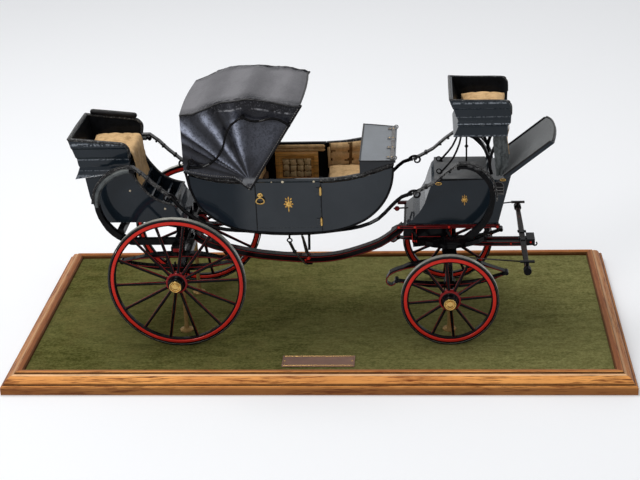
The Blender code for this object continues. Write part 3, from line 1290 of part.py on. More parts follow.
def build_rumble():
    """Footman's seat at the back: flared box, cushion, leather fall and padded arm roll."""
    seat = seat_box("rumble_seat", RUMBLE_LEVELS, RUMBLE_WALL, RUMBLE_SEAT_Z, -0.19)
    # The side panels slope down and round off at the front
    trim = plate("trim", [(-0.2800, rumble_top(-0.2800)), (-0.2163, rumble_top(-0.2163)),
                          (-0.2120, 0.2438), (-0.2094, 0.2385), (-0.2000, 0.2385), (-0.2000, 0.2650),
                          (-0.2800, 0.2650)], "XZ", -0.06, 0.06)
    seat = boolean(seat, "DIFFERENCE", [trim])
    finish(seat, "rumble_seat", "slate_paint")

    inner = 0.0402 - RUMBLE_WALL - 2 * GAP
    pad = cushion("rumble_cushion", (-0.2655, -inner, RUMBLE_SEAT_Z + GAP),
                  (-0.2112, inner, RUMBLE_SEAT_Z + GAP + RUMBLE_CUSHION_HEIGHT), CUSHION_CROWN)
    finish(pad, "rumble_cushion", "tan_leather")

    # Leather fall that hangs from the front of the cushion into the trough
    path = [(-0.2100, 0.2310), (-0.2086, 0.2225), (-0.2078, 0.2120), (-0.2076, 0.2020), (-0.2072, 0.1940),
            (-0.2066, 0.1880)]
    bm = bmesh.new()
    across = 12
    grid = []
    for i, (x, z) in enumerate(path):
        drop = i / (len(path) - 1)
        row = []
        for k in range(across + 1):
            t = k / across
            wave = FALL_FOLD_DEPTH * drop * (1 - math.cos(2 * math.pi * FALL_FOLDS * t))
            half = FALL_HALF_WIDTH * (1 - 0.06 * drop)
            row.append(bm.verts.new((x + wave, lerp(-half, half, t), z + wave * 0.4)))
        grid.append(row)
    for a, b in zip(grid, grid[1:]):
        for k in range(across):
            bm.faces.new((a[k], b[k], b[k + 1], a[k + 1]))
    fall = object_from_bmesh("rumble_fall", bm)
    skin = fall.modifiers.new("thickness", "SOLIDIFY")
    skin.thickness = FALL_THICKNESS
    skin.offset = 0
    bpy.context.view_layer.update()
    finish(baked(fall), "rumble_fall", "tan_leather")

    lift = ARM_ROLL_RADIUS * 1.04 + GAP
    ends = [(x, rumble_top(x) + lift) for x in ARM_ROLL_ENDS_X]
    shape = ((0.0, 0.45), (0.03, 0.8), (0.08, 1.0), (0.5, 1.04), (0.92, 1.0), (0.97, 0.8), (1.0, 0.45))
    points = [(lerp(ends[0][0], ends[1][0], t), 0.0442, lerp(ends[0][1], ends[1][1], t)) for t, r in shape]
    roll = tube("arm_roll", points, ARM_ROLL_RADIUS, [r for t, r in shape], resolution=2)
    finish(roll, "arm_roll", "leather_black")


def build_coach_boot():
    """Closed locker below the coachman: ogee back, sloping toe panel with stirrup steps."""
    base = BOOT_RAIL_TOP + GAP
    back = smooth_path([(0.1300, 0.1905), (0.1262, 0.1800), (0.1225, 0.1680), (0.1165, 0.1570),
                        (0.1085, 0.1480), (0.1005, base)], 1)
    outline = ([(0.2050, base), (0.2195, 0.2030), (0.2102, 0.1956), (0.2030, 0.1952), (0.1930, 0.1960),
                (0.1410, 0.1955), (0.1335, 0.1945)] + back)
    half = COACH_BOOT_HALF_WIDTH
    boot = plate("coach_boot", outline, "XZ", -half, half)
    steps = []
    for side in SIDES.values():
        low = min(side * (half - 0.0030), side * (half + 0.004))
        high = max(side * (half - 0.0030), side * (half + 0.004))
        dee = [(0.1990, 0.1855), (0.2110, 0.1855)] + arc((0.2050, 0.1862), 0.0060, 0.1, math.pi - 0.1, 6)
        steps.append(plate("step", dee, "XZ", low, high))
        for z in (0.1820, 0.1785):
            steps.append(box("rung", (0.1990, low, z), (0.2100, high, z + 0.0020)))
    boot = boolean(boot, "DIFFERENCE", steps)
    finish(boot, "coach_boot", "slate_paint")


def build_footboard():
    """Sloping board with a curved nose and a raised rim down both sides."""
    outline = [(0, -FOOTBOARD_HALF_WIDTH), (FOOTBOARD_LENGTH - FOOTBOARD_NOSE, -FOOTBOARD_HALF_WIDTH)]
    for k in range(9):
        t = lerp(-1, 1, k / 8)
        outline.append((FOOTBOARD_LENGTH - FOOTBOARD_NOSE * t * t * 0.9, FOOTBOARD_HALF_WIDTH * t * 0.97))
    outline += [(FOOTBOARD_LENGTH - FOOTBOARD_NOSE, FOOTBOARD_HALF_WIDTH), (0, FOOTBOARD_HALF_WIDTH)]
    board = plate("footboard", outline, "XY", -FOOTBOARD_THICKNESS, 0)
    inner = FOOTBOARD_HALF_WIDTH - 0.0022
    tray = box("tray", (-0.01, -inner, -0.0012), (FOOTBOARD_LENGTH + 0.01, inner, 0.004))
    board = boolean(board, "DIFFERENCE", [tray])
    foot = (0.2098, 0, 0.2011)
    tilt = Matrix.Translation(foot) @ Matrix.Rotation(-FOOTBOARD_PITCH, 4, "Y")
    board.matrix_world = tilt @ board.matrix_world
    bpy.context.view_layer.update()
    finish(board, "footboard", "slate_paint", foot)


COACH_SEAT_LEVELS = ((COACH_SEAT_FOOT_Z, 0.1546, 0.2142, 0.0400), (0.2590, 0.1592, 0.2143, 0.0404),
                     (0.2608, 0.1600, 0.2143, 0.0402), (0.2625, 0.1588, 0.2158, 0.0419),
                     (0.2645, 0.1588, 0.2172, 0.0421), (0.2668, 0.1597, 0.2174, 0.0412),
                     (0.2712, 0.1584, 0.2175, 0.0416), (0.2726, 0.1572, 0.2176, 0.0426),
                     (0.2808, 0.1548, 0.2175, 0.0436), (0.2826, 0.1536, 0.2175, 0.0448),
                     (0.2880, 0.1514, 0.2173, 0.0458), (COACH_SEAT_TOP_Z, 0.1500, 0.2172, 0.0455))


def build_coach_seat():
    """High driving seat with flared sides on scrolled irons."""
    levels = []
    for z, rear, front, half in COACH_SEAT_LEVELS:
        levels.append((z, z, rear, front, half))
    seat = seat_box("coach_seat", levels, COACH_SEAT_WALL, COACH_SEAT_FLOOR_Z, 0.23)
    trim = plate("trim", [(0.1480, COACH_SEAT_TOP_Z), (0.1720, COACH_SEAT_TOP_Z - 0.0012),
                          (0.2110, COACH_SEAT_TOP_Z - 0.0018), (0.2152, 0.2880), (0.2168, 0.2840),
                          (0.2300, 0.2840), (0.2300, 0.3050), (0.1480, 0.3050)], "XZ", -0.06, 0.06)
    seat = boolean(seat, "DIFFERENCE", [trim])
    finish(seat, "coach_seat", "slate_paint")

    inner = 0.0412 - COACH_SEAT_WALL - 2 * GAP
    pad = cushion("coach_cushion", (0.1628, -inner, COACH_SEAT_FLOOR_Z + GAP),
                  (0.2160, inner, COACH_SEAT_FLOOR_Z + GAP + COACH_CUSHION_HEIGHT), CUSHION_CROWN)
    finish(pad, "coach_cushion", "tan_leather")

    # Seat irons hang from a flat frame: scrolled legs, a turned stanchion and curved rear stays
    under = COACH_SEAT_FOOT_Z - GAP
    base = COACH_BOOT_TOP_Z + GAP
    frame = box("seat_iron_frame", (0.1615, -0.0285, under - SEAT_IRON_FRAME), (0.2115, 0.0285, under))
    irons = []
    for side in SIDES.values():
        y = side * 0.0260
        front_leg = smooth_path([(0.2085, under - LAP), (0.2040, 0.2370), (0.1975, 0.2240), (0.1950, 0.2110),
                                 (0.1975, 0.1985)], 2)
        outline = band(front_leg, lambda s: 0.0034)
        level = [(u, min(max(v, base), under - LAP)) for u, v in outline]
        irons.append(plate("leg", level, "XZ", y - 0.0017, y + 0.0017))
        rear_leg = smooth_path([(0.1770, under - LAP), (0.1830, 0.2400), (0.1900, 0.2280),
                                (0.1948, 0.2150)], 2)
        outline = [(u, min(v, under - LAP)) for u, v in band(rear_leg, lambda s: 0.0030)]
        irons.append(plate("strut", outline, "XZ", y - 0.0015, y + 0.0015))
    height = under - LAP - base
    profile = ((0, height), (0.0022, height), (0.0010, height - 0.0040), (0.0010, height * 0.56),
               (0.0024, height * 0.52), (0.0010, height * 0.48), (0.0010, 0.0040), (0.0024, 0.0014),
               (0.0024, 0), (0, 0))
    irons.append(turned("stanchion", profile, 8, Matrix.Translation((0.1700, 0, base))))
    stay = smooth_path([(0.1640, under - 0.0008), (0.1615, 0.2330), (0.1545, 0.2160), (0.1450, 0.2040),
                        (0.1395, 0.1975)], 2)
    for side in SIDES.values():
        irons.append(tube("stay", [(x, side * 0.0200, z) for x, z in stay], 0.0012))
    finish(boolean(frame, "UNION", irons), "coach_seat_irons", "black_iron")


def build_transom():
    """Fixed head of the undercarriage: bars under the boot, the perch block and the upper ring."""
    half = BED_LENGTH_ALONG_X / 2
    bar = box("bar", (FRONT_AXLE_X - half, -TRANSOM_BAR_HALF_WIDTH, TRANSOM_BOTTOM),
              (FRONT_AXLE_X + half, TRANSOM_BAR_HALF_WIDTH, TRANSOM_BAR_TOP))
    block = box("block", (TRANSOM_BOX_REAR_X, -TRANSOM_BOX_HALF_WIDTH, TRANSOM_BOTTOM),
                (FRONT_AXLE_X - half + 0.004, TRANSOM_BOX_HALF_WIDTH, BOOT_RAIL_TOP - BOOT_RAIL_HEIGHT / 2))
    rails = []
    low = BOOT_RAIL_TOP - BOOT_RAIL_HEIGHT
    for side in SIDES.values():
        y = side * BOOT_RAIL_SPREAD
        rails.append(box("rail", (BOOT_RAIL_REAR_X, y - BOOT_RAIL_WIDTH / 2, low),
                         (BOOT_RAIL_FRONT_X, y + BOOT_RAIL_WIDTH / 2, BOOT_RAIL_TOP)))
    cross = []
    for x in (BOOT_RAIL_REAR_X + 0.012, FRONT_AXLE_X - half - 0.006, BOOT_RAIL_FRONT_X - 0.006):
        cross.append(box("cross", (x, -BOOT_RAIL_SPREAD, low + 0.0003),
                         (x + 0.005, BOOT_RAIL_SPREAD, BOOT_RAIL_TOP - 0.0003)))
    # Scrolled brackets drop from each rail to the ring
    brackets = []
    for side in SIDES.values():
        y = side * (BOOT_RAIL_SPREAD - 0.0012)
        for x in (0.1110, FRONT_AXLE_X):
            path = smooth_path([(x, low + 0.0010), (x - 0.0022, lerp(low, TRANSOM_BOTTOM, 0.35)),
                                (x + 0.0008, lerp(low, TRANSOM_BOTTOM, 0.7)),
                                (x, TRANSOM_BOTTOM + 0.0012)], 2)
            brackets.append(tube("bracket", [(u, y, v) for u, v in path], 0.0021, resolution=0))
        path = smooth_path([(0.2035, low + 0.001), (0.2050, 0.1345), (0.2000, 0.1312), (0.1860, 0.1290),
                            (0.1700, 0.1262), (FRONT_AXLE_X + half - 0.002, TRANSOM_BAR_TOP - 0.0020)], 2)
        brackets.append(tube("front_scroll", [(u, y, v) for u, v in path], 0.0016, resolution=0))
    pin = cylinder("king_pin", (FRONT_AXLE_X, 0, FRONT_BED_BOTTOM - 0.0060),
                   (FRONT_AXLE_X, 0, TRANSOM_BAR_TOP - 0.0010), KING_PIN_RADIUS, segments=16)
    ring = ring_plate("upper_ring", LOWER_RING_TOP + GAP, TRANSOM_BOTTOM + LAP)
    springs = [c_spring("front_c_spring", FRONT_C_PATH, FRONT_AXLE_X - 0.006, TRANSOM_BAR_TOP)]
    springs.append(mirrored(springs[0], "front_c_spring_twin"))
    transom = boolean(bar, "UNION", [block] + rails + cross + brackets + [pin, ring] + springs)
    finish(transom, "fore_transom", "black_iron")


def ring_plate(name, low, high):
    place = Matrix.Translation((FRONT_AXLE_X, 0, low))
    depth = high - low
    profile = ((RING_OUTER_RADIUS, depth), (RING_OUTER_RADIUS, 0), (RING_INNER_RADIUS, 0),
               (RING_INNER_RADIUS, depth))
    return turned(name, profile, 32, place, True)


def build_fore_carriage():
    """Everything that turns on the king pin, except the wheels."""
    finish(build_axle("front_axle", FRONT_AXLE_X, FRONT_AXLE_Z), "front_axle", "black_iron",
           (FRONT_AXLE_X, 0, FRONT_AXLE_Z))
    spring = elliptic_spring("front_spring", FRONT_AXLE_X, FRONT_SPRING_REAR_REACH, FRONT_SPRING_FRONT_REACH,
                             FRONT_SPRING_BOTTOM, FRONT_SPRING_TOP, True)
    finish_pair(spring, "front_spring", "black_iron", (FRONT_AXLE_X, 0, FRONT_AXLE_Z))

    # Turning bed: raised at its ends where it sits on the springs
    seat = SPRING_SPREAD - SPRING_WIDTH / 2 - 0.003
    half = BED_LENGTH_ALONG_X / 2
    rear_x = FRONT_AXLE_X - half
    front_x = FRONT_AXLE_X + half
    bed = box("bed", (rear_x, -FRONT_BED_HALF_WIDTH, FRONT_BED_BOTTOM),
              (front_x, FRONT_BED_HALF_WIDTH, FRONT_BED_TOP))
    step = box("bed_step", (rear_x, -seat, FRONT_BED_BOTTOM - FRONT_BED_STEP),
               (front_x, seat, FRONT_BED_BOTTOM + LAP))
    hole = cylinder("hole", (FRONT_AXLE_X, 0, FRONT_BED_BOTTOM - 0.02),
                    (FRONT_AXLE_X, 0, FRONT_BED_TOP + 0.02),
                    KING_PIN_RADIUS + KING_PIN_CLEARANCE, segments=16)
    ring = ring_plate("lower_ring", FRONT_BED_TOP - LAP, LOWER_RING_TOP)
    bed = boolean(boolean(bed, "UNION", [step, ring]), "DIFFERENCE", [hole])
    finish(bed, "turning_bed", "black_iron", (FRONT_AXLE_X, 0, FRONT_BED_TOP))

    # Futchells: two curved bars from under the bed to the pole socket
    top = FRONT_BED_BOTTOM - FRONT_BED_STEP - GAP
    line = [(0.1080, top - FUTCHELL_HEIGHT / 2 - 0.0030), (FRONT_AXLE_X - half, top - FUTCHELL_HEIGHT / 2),
            (FRONT_AXLE_X + half, top - FUTCHELL_HEIGHT / 2), (0.1850, FUTCHELL_FRONT_Z + 0.0004),
            (0.2100, FUTCHELL_FRONT_Z), (SPLINTER_BAR_X, FUTCHELL_FRONT_Z),
            (POLE_SOCKET_X[1] - LAP, FUTCHELL_FRONT_Z + 0.0010)]
    outline = band(smooth_path(line, 2), lambda s: FUTCHELL_HEIGHT)
    outline = [(u, min(v, top)) if abs(u - FRONT_AXLE_X) < half + 0.002 else (u, v) for u, v in outline]
    low = -FUTCHELL_SPREAD - FUTCHELL_WIDTH / 2
    bars = [plate("futchell", outline, "XZ", low, low + FUTCHELL_WIDTH)]
    bars.append(mirrored(bars[0], "futchell_twin"))
    tie = FUTCHELL_SPREAD + 0.001
    socket_low, socket_high = POLE_SOCKET_Z
    socket = box("pole_socket", (POLE_SOCKET_X[0], -POLE_SOCKET_HALF_WIDTH, socket_low),
                 (POLE_SOCKET_X[1], POLE_SOCKET_HALF_WIDTH, socket_high))
    clear = FUTCHELL_SPREAD - FUTCHELL_WIDTH / 2
    hole = box("pole_hole", (POLE_SOCKET_X[0] - 0.0005, -clear, socket_low + POLE_SOCKET_WALL),
               (POLE_SOCKET_X[1] + 0.0005, clear, socket_high - POLE_SOCKET_WALL))
    rear_tie = box("rear_tie", (0.1100, -tie, top - FUTCHELL_HEIGHT - 0.0020), (0.1160, tie, top - 0.0045))
    frame = boolean(bars[0], "UNION", [bars[1], socket, rear_tie])
    frame = boolean(frame, "DIFFERENCE", [hole])
    hook_path = [(POLE_SOCKET_X[1] - 0.0050, 0, socket_low + POLE_SOCKET_WALL / 2),
                 (POLE_SOCKET_X[1] - 0.0038, 0, socket_low - 0.0016)]
    hook_path += [(x, 0, z) for x, z in arc((POLE_SOCKET_X[1] + 0.0006, socket_low - 0.0022), 0.0026,
                                            math.radians(215), math.radians(400), 4)]
    hook = tube("hook", hook_path, 0.0009)
    frame = boolean(frame, "UNION", [hook])
    finish(frame, "futchells", "black_iron", (FRONT_AXLE_X, 0, top))

    # Splinter bar across the futchells, with roller bolts and stays back to the bed
    bar_top = SPLINTER_BAR_TOP_Z
    middle = bar_top - SPLINTER_BAR_DEPTH / 2
    sections = []
    for y, scale in ((-SPLINTER_BAR_HALF_LENGTH, 0.85), (-0.080, 0.85), (-0.030, 1.0), (0.030, 1.0),
                     (0.080, 0.85), (SPLINTER_BAR_HALF_LENGTH, 0.85)):
        across = SPLINTER_BAR_SIZE * scale / 2
        up = SPLINTER_BAR_DEPTH * scale / 2
        rear = SPLINTER_BAR_X - across
        front = SPLINTER_BAR_X + across
        sections.append([(rear, y, middle - up), (front, y, middle - up), (front, y, middle + up),
                         (rear, y, middle + up)])
    bar = rounded(loft("splinter_bar", sections), 0.0008)
    pieces = []
    for side in SIDES.values():
        y = side * ROLLER_BOLT_SPREAD
        pieces.append(cylinder("roller", (SPLINTER_BAR_X, y, middle), (SPLINTER_BAR_X, y, bar_top + 0.0060),
                               0.0017, segments=10))
        pieces.append(box("roller_plate", (SPLINTER_BAR_X - 0.0080, y - 0.0020, bar_top + 0.0055),
                          (SPLINTER_BAR_X + 0.0080, y + 0.0020, bar_top + 0.0072)))
        bar_end = side * SPLINTER_BAR_HALF_LENGTH
        pieces.append(cylinder("bar_end", (SPLINTER_BAR_X, bar_end - side * 0.0060, middle),
                               (SPLINTER_BAR_X, bar_end + side * 0.0020, middle), 0.0044, segments=12))
        stay = [(SPLINTER_BAR_X - 0.0060, y, bar_top + 0.0064), (0.2050, side * 0.0815, bar_top + 0.0058),
                (0.1800, side * 0.0725, bar_top + 0.0040),
                (FRONT_AXLE_X + half + 0.0015, side * 0.0640, FRONT_BED_BOTTOM + FRONT_BED_HEIGHT / 2)]
        pieces.append(tube("stay", smooth_path(stay, 2), 0.0008))
    bar = boolean(bar, "UNION", pieces)
    finish(bar, "splinter_bar", "black_iron")


clear_scene()
MODEL = make_collection("model_horse_carriage")
CUTTERS = make_collection("cutters")
build_plinth()
for side_name in SIDES:
    build_wheel("rear", side_name, REAR_AXLE_X, REAR_AXLE_Z, REAR_WHEEL_RADIUS, REAR_SPOKES, REAR_SPOKE_PHASE)
    build_wheel("front", side_name, FRONT_AXLE_X, FRONT_AXLE_Z, FRONT_WHEEL_RADIUS, FRONT_SPOKES,
                FRONT_SPOKE_PHASE)
build_rear_carriage()
build_suspension()
build_body()
build_interior()
build_hood()
build_apron()
build_rear_boot()
build_rumble()
build_coach_boot()
build_footboard()
build_coach_seat()
build_transom()
build_fore_carriage()
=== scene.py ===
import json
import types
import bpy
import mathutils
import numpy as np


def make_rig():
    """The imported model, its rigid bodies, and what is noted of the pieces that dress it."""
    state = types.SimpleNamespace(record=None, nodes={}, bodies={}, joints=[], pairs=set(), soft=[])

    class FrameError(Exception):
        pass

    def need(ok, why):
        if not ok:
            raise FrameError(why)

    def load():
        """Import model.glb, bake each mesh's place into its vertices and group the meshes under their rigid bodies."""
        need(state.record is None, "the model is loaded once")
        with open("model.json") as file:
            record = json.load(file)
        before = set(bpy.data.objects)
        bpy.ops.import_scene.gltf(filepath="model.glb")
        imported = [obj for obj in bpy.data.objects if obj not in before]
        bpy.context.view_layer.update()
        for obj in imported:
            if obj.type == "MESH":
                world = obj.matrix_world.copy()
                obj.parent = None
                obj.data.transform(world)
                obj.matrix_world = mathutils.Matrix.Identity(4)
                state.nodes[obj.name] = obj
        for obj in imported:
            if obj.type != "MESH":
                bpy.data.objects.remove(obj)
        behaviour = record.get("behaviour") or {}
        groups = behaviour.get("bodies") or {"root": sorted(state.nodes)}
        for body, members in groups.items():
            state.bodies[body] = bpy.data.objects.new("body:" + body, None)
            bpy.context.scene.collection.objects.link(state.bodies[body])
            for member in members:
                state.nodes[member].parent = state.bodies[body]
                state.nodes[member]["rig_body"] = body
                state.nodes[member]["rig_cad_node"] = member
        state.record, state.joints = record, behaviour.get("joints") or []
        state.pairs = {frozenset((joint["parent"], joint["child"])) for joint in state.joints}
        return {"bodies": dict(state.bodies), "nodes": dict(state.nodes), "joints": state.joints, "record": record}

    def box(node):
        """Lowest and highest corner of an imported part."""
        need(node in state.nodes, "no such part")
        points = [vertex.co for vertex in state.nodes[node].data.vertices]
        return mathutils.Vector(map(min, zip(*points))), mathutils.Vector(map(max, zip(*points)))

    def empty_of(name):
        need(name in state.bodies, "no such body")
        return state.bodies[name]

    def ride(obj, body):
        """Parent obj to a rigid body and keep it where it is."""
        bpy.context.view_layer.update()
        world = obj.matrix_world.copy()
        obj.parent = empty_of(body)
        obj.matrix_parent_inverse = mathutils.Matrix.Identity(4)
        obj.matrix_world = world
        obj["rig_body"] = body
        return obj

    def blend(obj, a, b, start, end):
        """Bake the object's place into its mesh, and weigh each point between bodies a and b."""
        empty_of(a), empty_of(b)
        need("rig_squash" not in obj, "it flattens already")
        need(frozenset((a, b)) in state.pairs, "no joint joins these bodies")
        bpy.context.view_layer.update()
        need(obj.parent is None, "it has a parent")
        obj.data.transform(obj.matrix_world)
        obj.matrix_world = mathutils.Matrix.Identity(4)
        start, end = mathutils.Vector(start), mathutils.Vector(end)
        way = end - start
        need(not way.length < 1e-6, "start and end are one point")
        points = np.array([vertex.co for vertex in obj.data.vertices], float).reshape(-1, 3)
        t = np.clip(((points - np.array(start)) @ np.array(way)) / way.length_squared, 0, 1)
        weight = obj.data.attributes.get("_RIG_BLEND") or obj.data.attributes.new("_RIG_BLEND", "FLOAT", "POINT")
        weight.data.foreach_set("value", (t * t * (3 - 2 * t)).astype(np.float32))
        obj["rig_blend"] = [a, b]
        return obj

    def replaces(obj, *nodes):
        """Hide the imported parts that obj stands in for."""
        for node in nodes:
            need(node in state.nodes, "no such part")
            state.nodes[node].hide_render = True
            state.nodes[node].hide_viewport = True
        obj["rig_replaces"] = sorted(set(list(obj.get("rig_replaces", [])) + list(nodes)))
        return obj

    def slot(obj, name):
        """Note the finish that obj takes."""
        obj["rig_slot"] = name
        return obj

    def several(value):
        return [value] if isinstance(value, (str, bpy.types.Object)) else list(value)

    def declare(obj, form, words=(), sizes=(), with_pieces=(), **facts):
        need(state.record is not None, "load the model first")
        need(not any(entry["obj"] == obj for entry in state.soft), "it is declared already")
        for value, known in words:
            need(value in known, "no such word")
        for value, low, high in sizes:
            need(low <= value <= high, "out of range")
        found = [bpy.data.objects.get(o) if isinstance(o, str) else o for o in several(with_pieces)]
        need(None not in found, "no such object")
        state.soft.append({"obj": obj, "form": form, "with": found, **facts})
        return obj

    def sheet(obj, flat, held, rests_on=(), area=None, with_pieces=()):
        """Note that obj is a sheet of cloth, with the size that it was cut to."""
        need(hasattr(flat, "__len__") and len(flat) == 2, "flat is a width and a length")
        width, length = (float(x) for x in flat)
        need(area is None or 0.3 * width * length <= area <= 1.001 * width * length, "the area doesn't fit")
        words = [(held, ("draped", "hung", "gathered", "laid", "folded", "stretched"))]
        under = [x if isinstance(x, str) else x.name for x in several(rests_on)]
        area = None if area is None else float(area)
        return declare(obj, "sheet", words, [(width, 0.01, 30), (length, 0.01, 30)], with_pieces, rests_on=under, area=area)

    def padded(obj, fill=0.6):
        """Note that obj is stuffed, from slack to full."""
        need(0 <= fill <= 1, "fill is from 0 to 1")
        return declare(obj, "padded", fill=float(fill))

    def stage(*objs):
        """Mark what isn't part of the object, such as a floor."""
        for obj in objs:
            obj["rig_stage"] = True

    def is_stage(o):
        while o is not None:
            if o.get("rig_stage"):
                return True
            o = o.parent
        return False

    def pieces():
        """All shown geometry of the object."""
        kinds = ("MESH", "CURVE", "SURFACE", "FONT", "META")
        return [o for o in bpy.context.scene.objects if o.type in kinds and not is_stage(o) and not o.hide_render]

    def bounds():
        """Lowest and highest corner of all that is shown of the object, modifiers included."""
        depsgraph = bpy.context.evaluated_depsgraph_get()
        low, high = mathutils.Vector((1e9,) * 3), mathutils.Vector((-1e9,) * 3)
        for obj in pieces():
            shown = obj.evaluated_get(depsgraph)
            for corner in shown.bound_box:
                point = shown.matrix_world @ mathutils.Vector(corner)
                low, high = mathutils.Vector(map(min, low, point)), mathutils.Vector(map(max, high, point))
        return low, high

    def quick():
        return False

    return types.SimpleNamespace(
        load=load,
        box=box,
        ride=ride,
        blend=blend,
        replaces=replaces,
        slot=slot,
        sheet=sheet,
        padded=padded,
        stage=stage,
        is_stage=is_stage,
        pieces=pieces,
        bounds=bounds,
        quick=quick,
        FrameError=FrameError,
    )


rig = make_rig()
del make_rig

bl_info = {
    "name": "Model horse carriage",
    "version": (1, 0, 0),
    "blender": (4, 5, 0),
    "location": "View3D > Sidebar > Carriage",
    "description": "Finishes a model horse carriage on its plinth and sets its stage",
    "category": "Object",
}

import sys

import json
import math

import bmesh
import bpy
from bpy.props import FloatProperty, FloatVectorProperty, IntProperty, PointerProperty
from mathutils import Matrix, Vector, noise

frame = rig.load()
NODES = frame["nodes"]
CAD_BOX = [list(corner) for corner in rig.bounds()]

SIDES = {"left": 1, "right": -1}
HAIR = 0.00005  # lift of a painted line or a plate off the surface that carries it

# Places on the solids that the dressed pieces follow, in metres
REAR_AXLE = (-0.1584, 0.0951)
FRONT_AXLE = (0.1496, 0.0714)
HALF_TRACK = 0.0875
TYRE_HALF = 0.00302
TYRE_DEPTH = 0.00178
SPRING_Y = 0.0620
BRACE_Y = 0.0556
BED_HALF = 0.0665
TRANSOM_HALF = 0.0320
FUTCHELL_Y = 0.0065
BOOT_RAIL_Y = 0.0365
REAR_BOOT_HALF = 0.0370
COACH_BOOT_HALF = 0.0350
PLINTH_HALF = (0.350, 0.177)
POST_FOOT_Z = 0.01615
RIB_PITCH = 0.0017
BODY_HALF_WIDTH = 0.062
BODY_END_HALF_WIDTH = 0.0565
BODY_STRAIGHT = (-0.080, 0.035)
BODY_WALL = 0.003
BODY_TOP = ((-0.1420, 0.2120), (-0.1280, 0.2088), (-0.1120, 0.2055), (-0.0890, 0.2036), (-0.0660, 0.2034),
            (0.0066, 0.2034), (0.0290, 0.2046), (0.0510, 0.2085), (0.0680, 0.2136), (0.0800, 0.2174),
            (0.0880, 0.2190))
BODY_BOTTOM = ((-0.1420, 0.2120), (-0.1405, 0.1980), (-0.1345, 0.1820), (-0.1250, 0.1690), (-0.1090, 0.1575),
               (-0.0920, 0.1500), (-0.0750, 0.1462), (-0.0530, 0.1442), (-0.0300, 0.1433), (0.0040, 0.1440),
               (0.0210, 0.1462), (0.0380, 0.1508), (0.0560, 0.1590), (0.0700, 0.1705), (0.0800, 0.1845),
               (0.0860, 0.2010), (0.0880, 0.2190))
RAIL_RADIUS = 0.0026
RAIL_LIFT = 0.0008
DOOR_X = (-0.0660, 0.0066)
HINGE_Y = 0.0637
HINGE_SPANS = ((0.1540, 0.1620), (0.1905, 0.1990))
HOOD_REAR_X = -0.1450
HOOD_EDGE = ((-0.0620, 0.2130), (-0.0130, 0.2910))
HOOD_HALF = 0.0635
PIVOT_BACK = 0.0720
HOOD_PIVOT = (-PIVOT_BACK, 0.2126)
BOW_SPACING = 0.0490
PERCH_LINE = ((-0.1501, 0.1165), (-0.1350, 0.1065), (-0.1090, 0.0980), (-0.0710, 0.0900), (-0.0260, 0.0855),
              (-0.0020, 0.0850), (0.0220, 0.0880), (0.0460, 0.0950), (0.0690, 0.1040), (0.0850, 0.1150),
              (0.0977, 0.1255))
TROUGH_LINE = ((-0.2105, 0.2105), (-0.2070, 0.2020), (-0.2010, 0.1925), (-0.1910, 0.1808), (-0.1780, 0.1725),
               (-0.1640, 0.1685))


# Settings


def colour(name, description, default):
    return FloatVectorProperty(name=name, description=description, default=default, subtype="COLOR", size=3,
                               min=0, max=1)


def length(name, description, default):
    return FloatProperty(name=name, description=description, default=default, min=0, unit="LENGTH",
                         precision=5)


class CarriageColours(bpy.types.PropertyGroup):
    """Colours of the carriage's finishes."""

    coach_paint: colour("Coach paint", "Varnished panels of the body, boots and seats",
                        (0.0075, 0.0130, 0.0190))
    wheel_red: colour("Wheel red", "Felloes and lining of the wheels", (0.64, 0.032, 0.019))
    lining_red: colour("Lining red", "Thin painted lines on the ironwork", (0.28, 0.015, 0.015))
    iron: colour("Iron black", "Painted springs, beds and irons", (0.0025, 0.0025, 0.0032))
    tread: colour("Tread", "Bare steel of the tyres", (0.42, 0.41, 0.36))
    brass: colour("Brass", "Caps, posts, hinges and handles", (0.62, 0.40, 0.13))
    oak: colour("Oak", "Moulding of the plinth", (0.98, 0.44, 0.125))
    baize: colour("Baize", "Covering of the plinth", (0.178, 0.170, 0.053))
    plate: colour("Name plate", "Toned copper plate", (0.32, 0.17, 0.115))
    hood: colour("Hood leather", "Sides and roof of the hood", (0.0090, 0.0085, 0.0130))
    dust: colour("Dust", "Dust settled on leather", (0.180, 0.176, 0.186))
    strap: colour("Strap leather", "Braces, rails and edges", (0.0075, 0.0070, 0.0080))
    tan: colour("Tan leather", "Cushions, squabs and fall", (0.67, 0.44, 0.22))
    door_pad: colour("Door pad", "Tufted pads on the doors", (0.80, 0.58, 0.31))
    amber: colour("Amber wood", "Frames of the door pads", (1.0, 0.50, 0.13))
    apron: colour("Apron leather", "Lid over the front of the body", (0.125, 0.135, 0.145))
    cream: colour("Cream", "Bone studs", (0.72, 0.64, 0.48))


class CarriageDetail(bpy.types.PropertyGroup):
    """Sizes of the fine work."""

    lining_width: length("Lining width", "Width of the red lines", 0.0007)
    bead_radius: length("Bead radius", "Black bead along the body's lower edge", 0.0012)
    stud_radius: length("Stud radius", "Cream studs on the boot and rails", 0.0011)
    stitch_pitch: length("Stitch pitch", "Distance from stitch to stitch", 0.0026)
    pleat_depth: length("Pleat depth", "Height of the hood's side pleats", 0.0056)
    tuft_depth: length("Tuft depth", "Depth of the buttoned tufts", 0.0022)
    cushion_swell: length("Cushion swell", "How far a cushion may swell from its cut shape", 0.0016)
    cushion_frames: IntProperty(name="Cushion frames", description="Steps of the cushions' stuffing",
                                default=16, min=1)


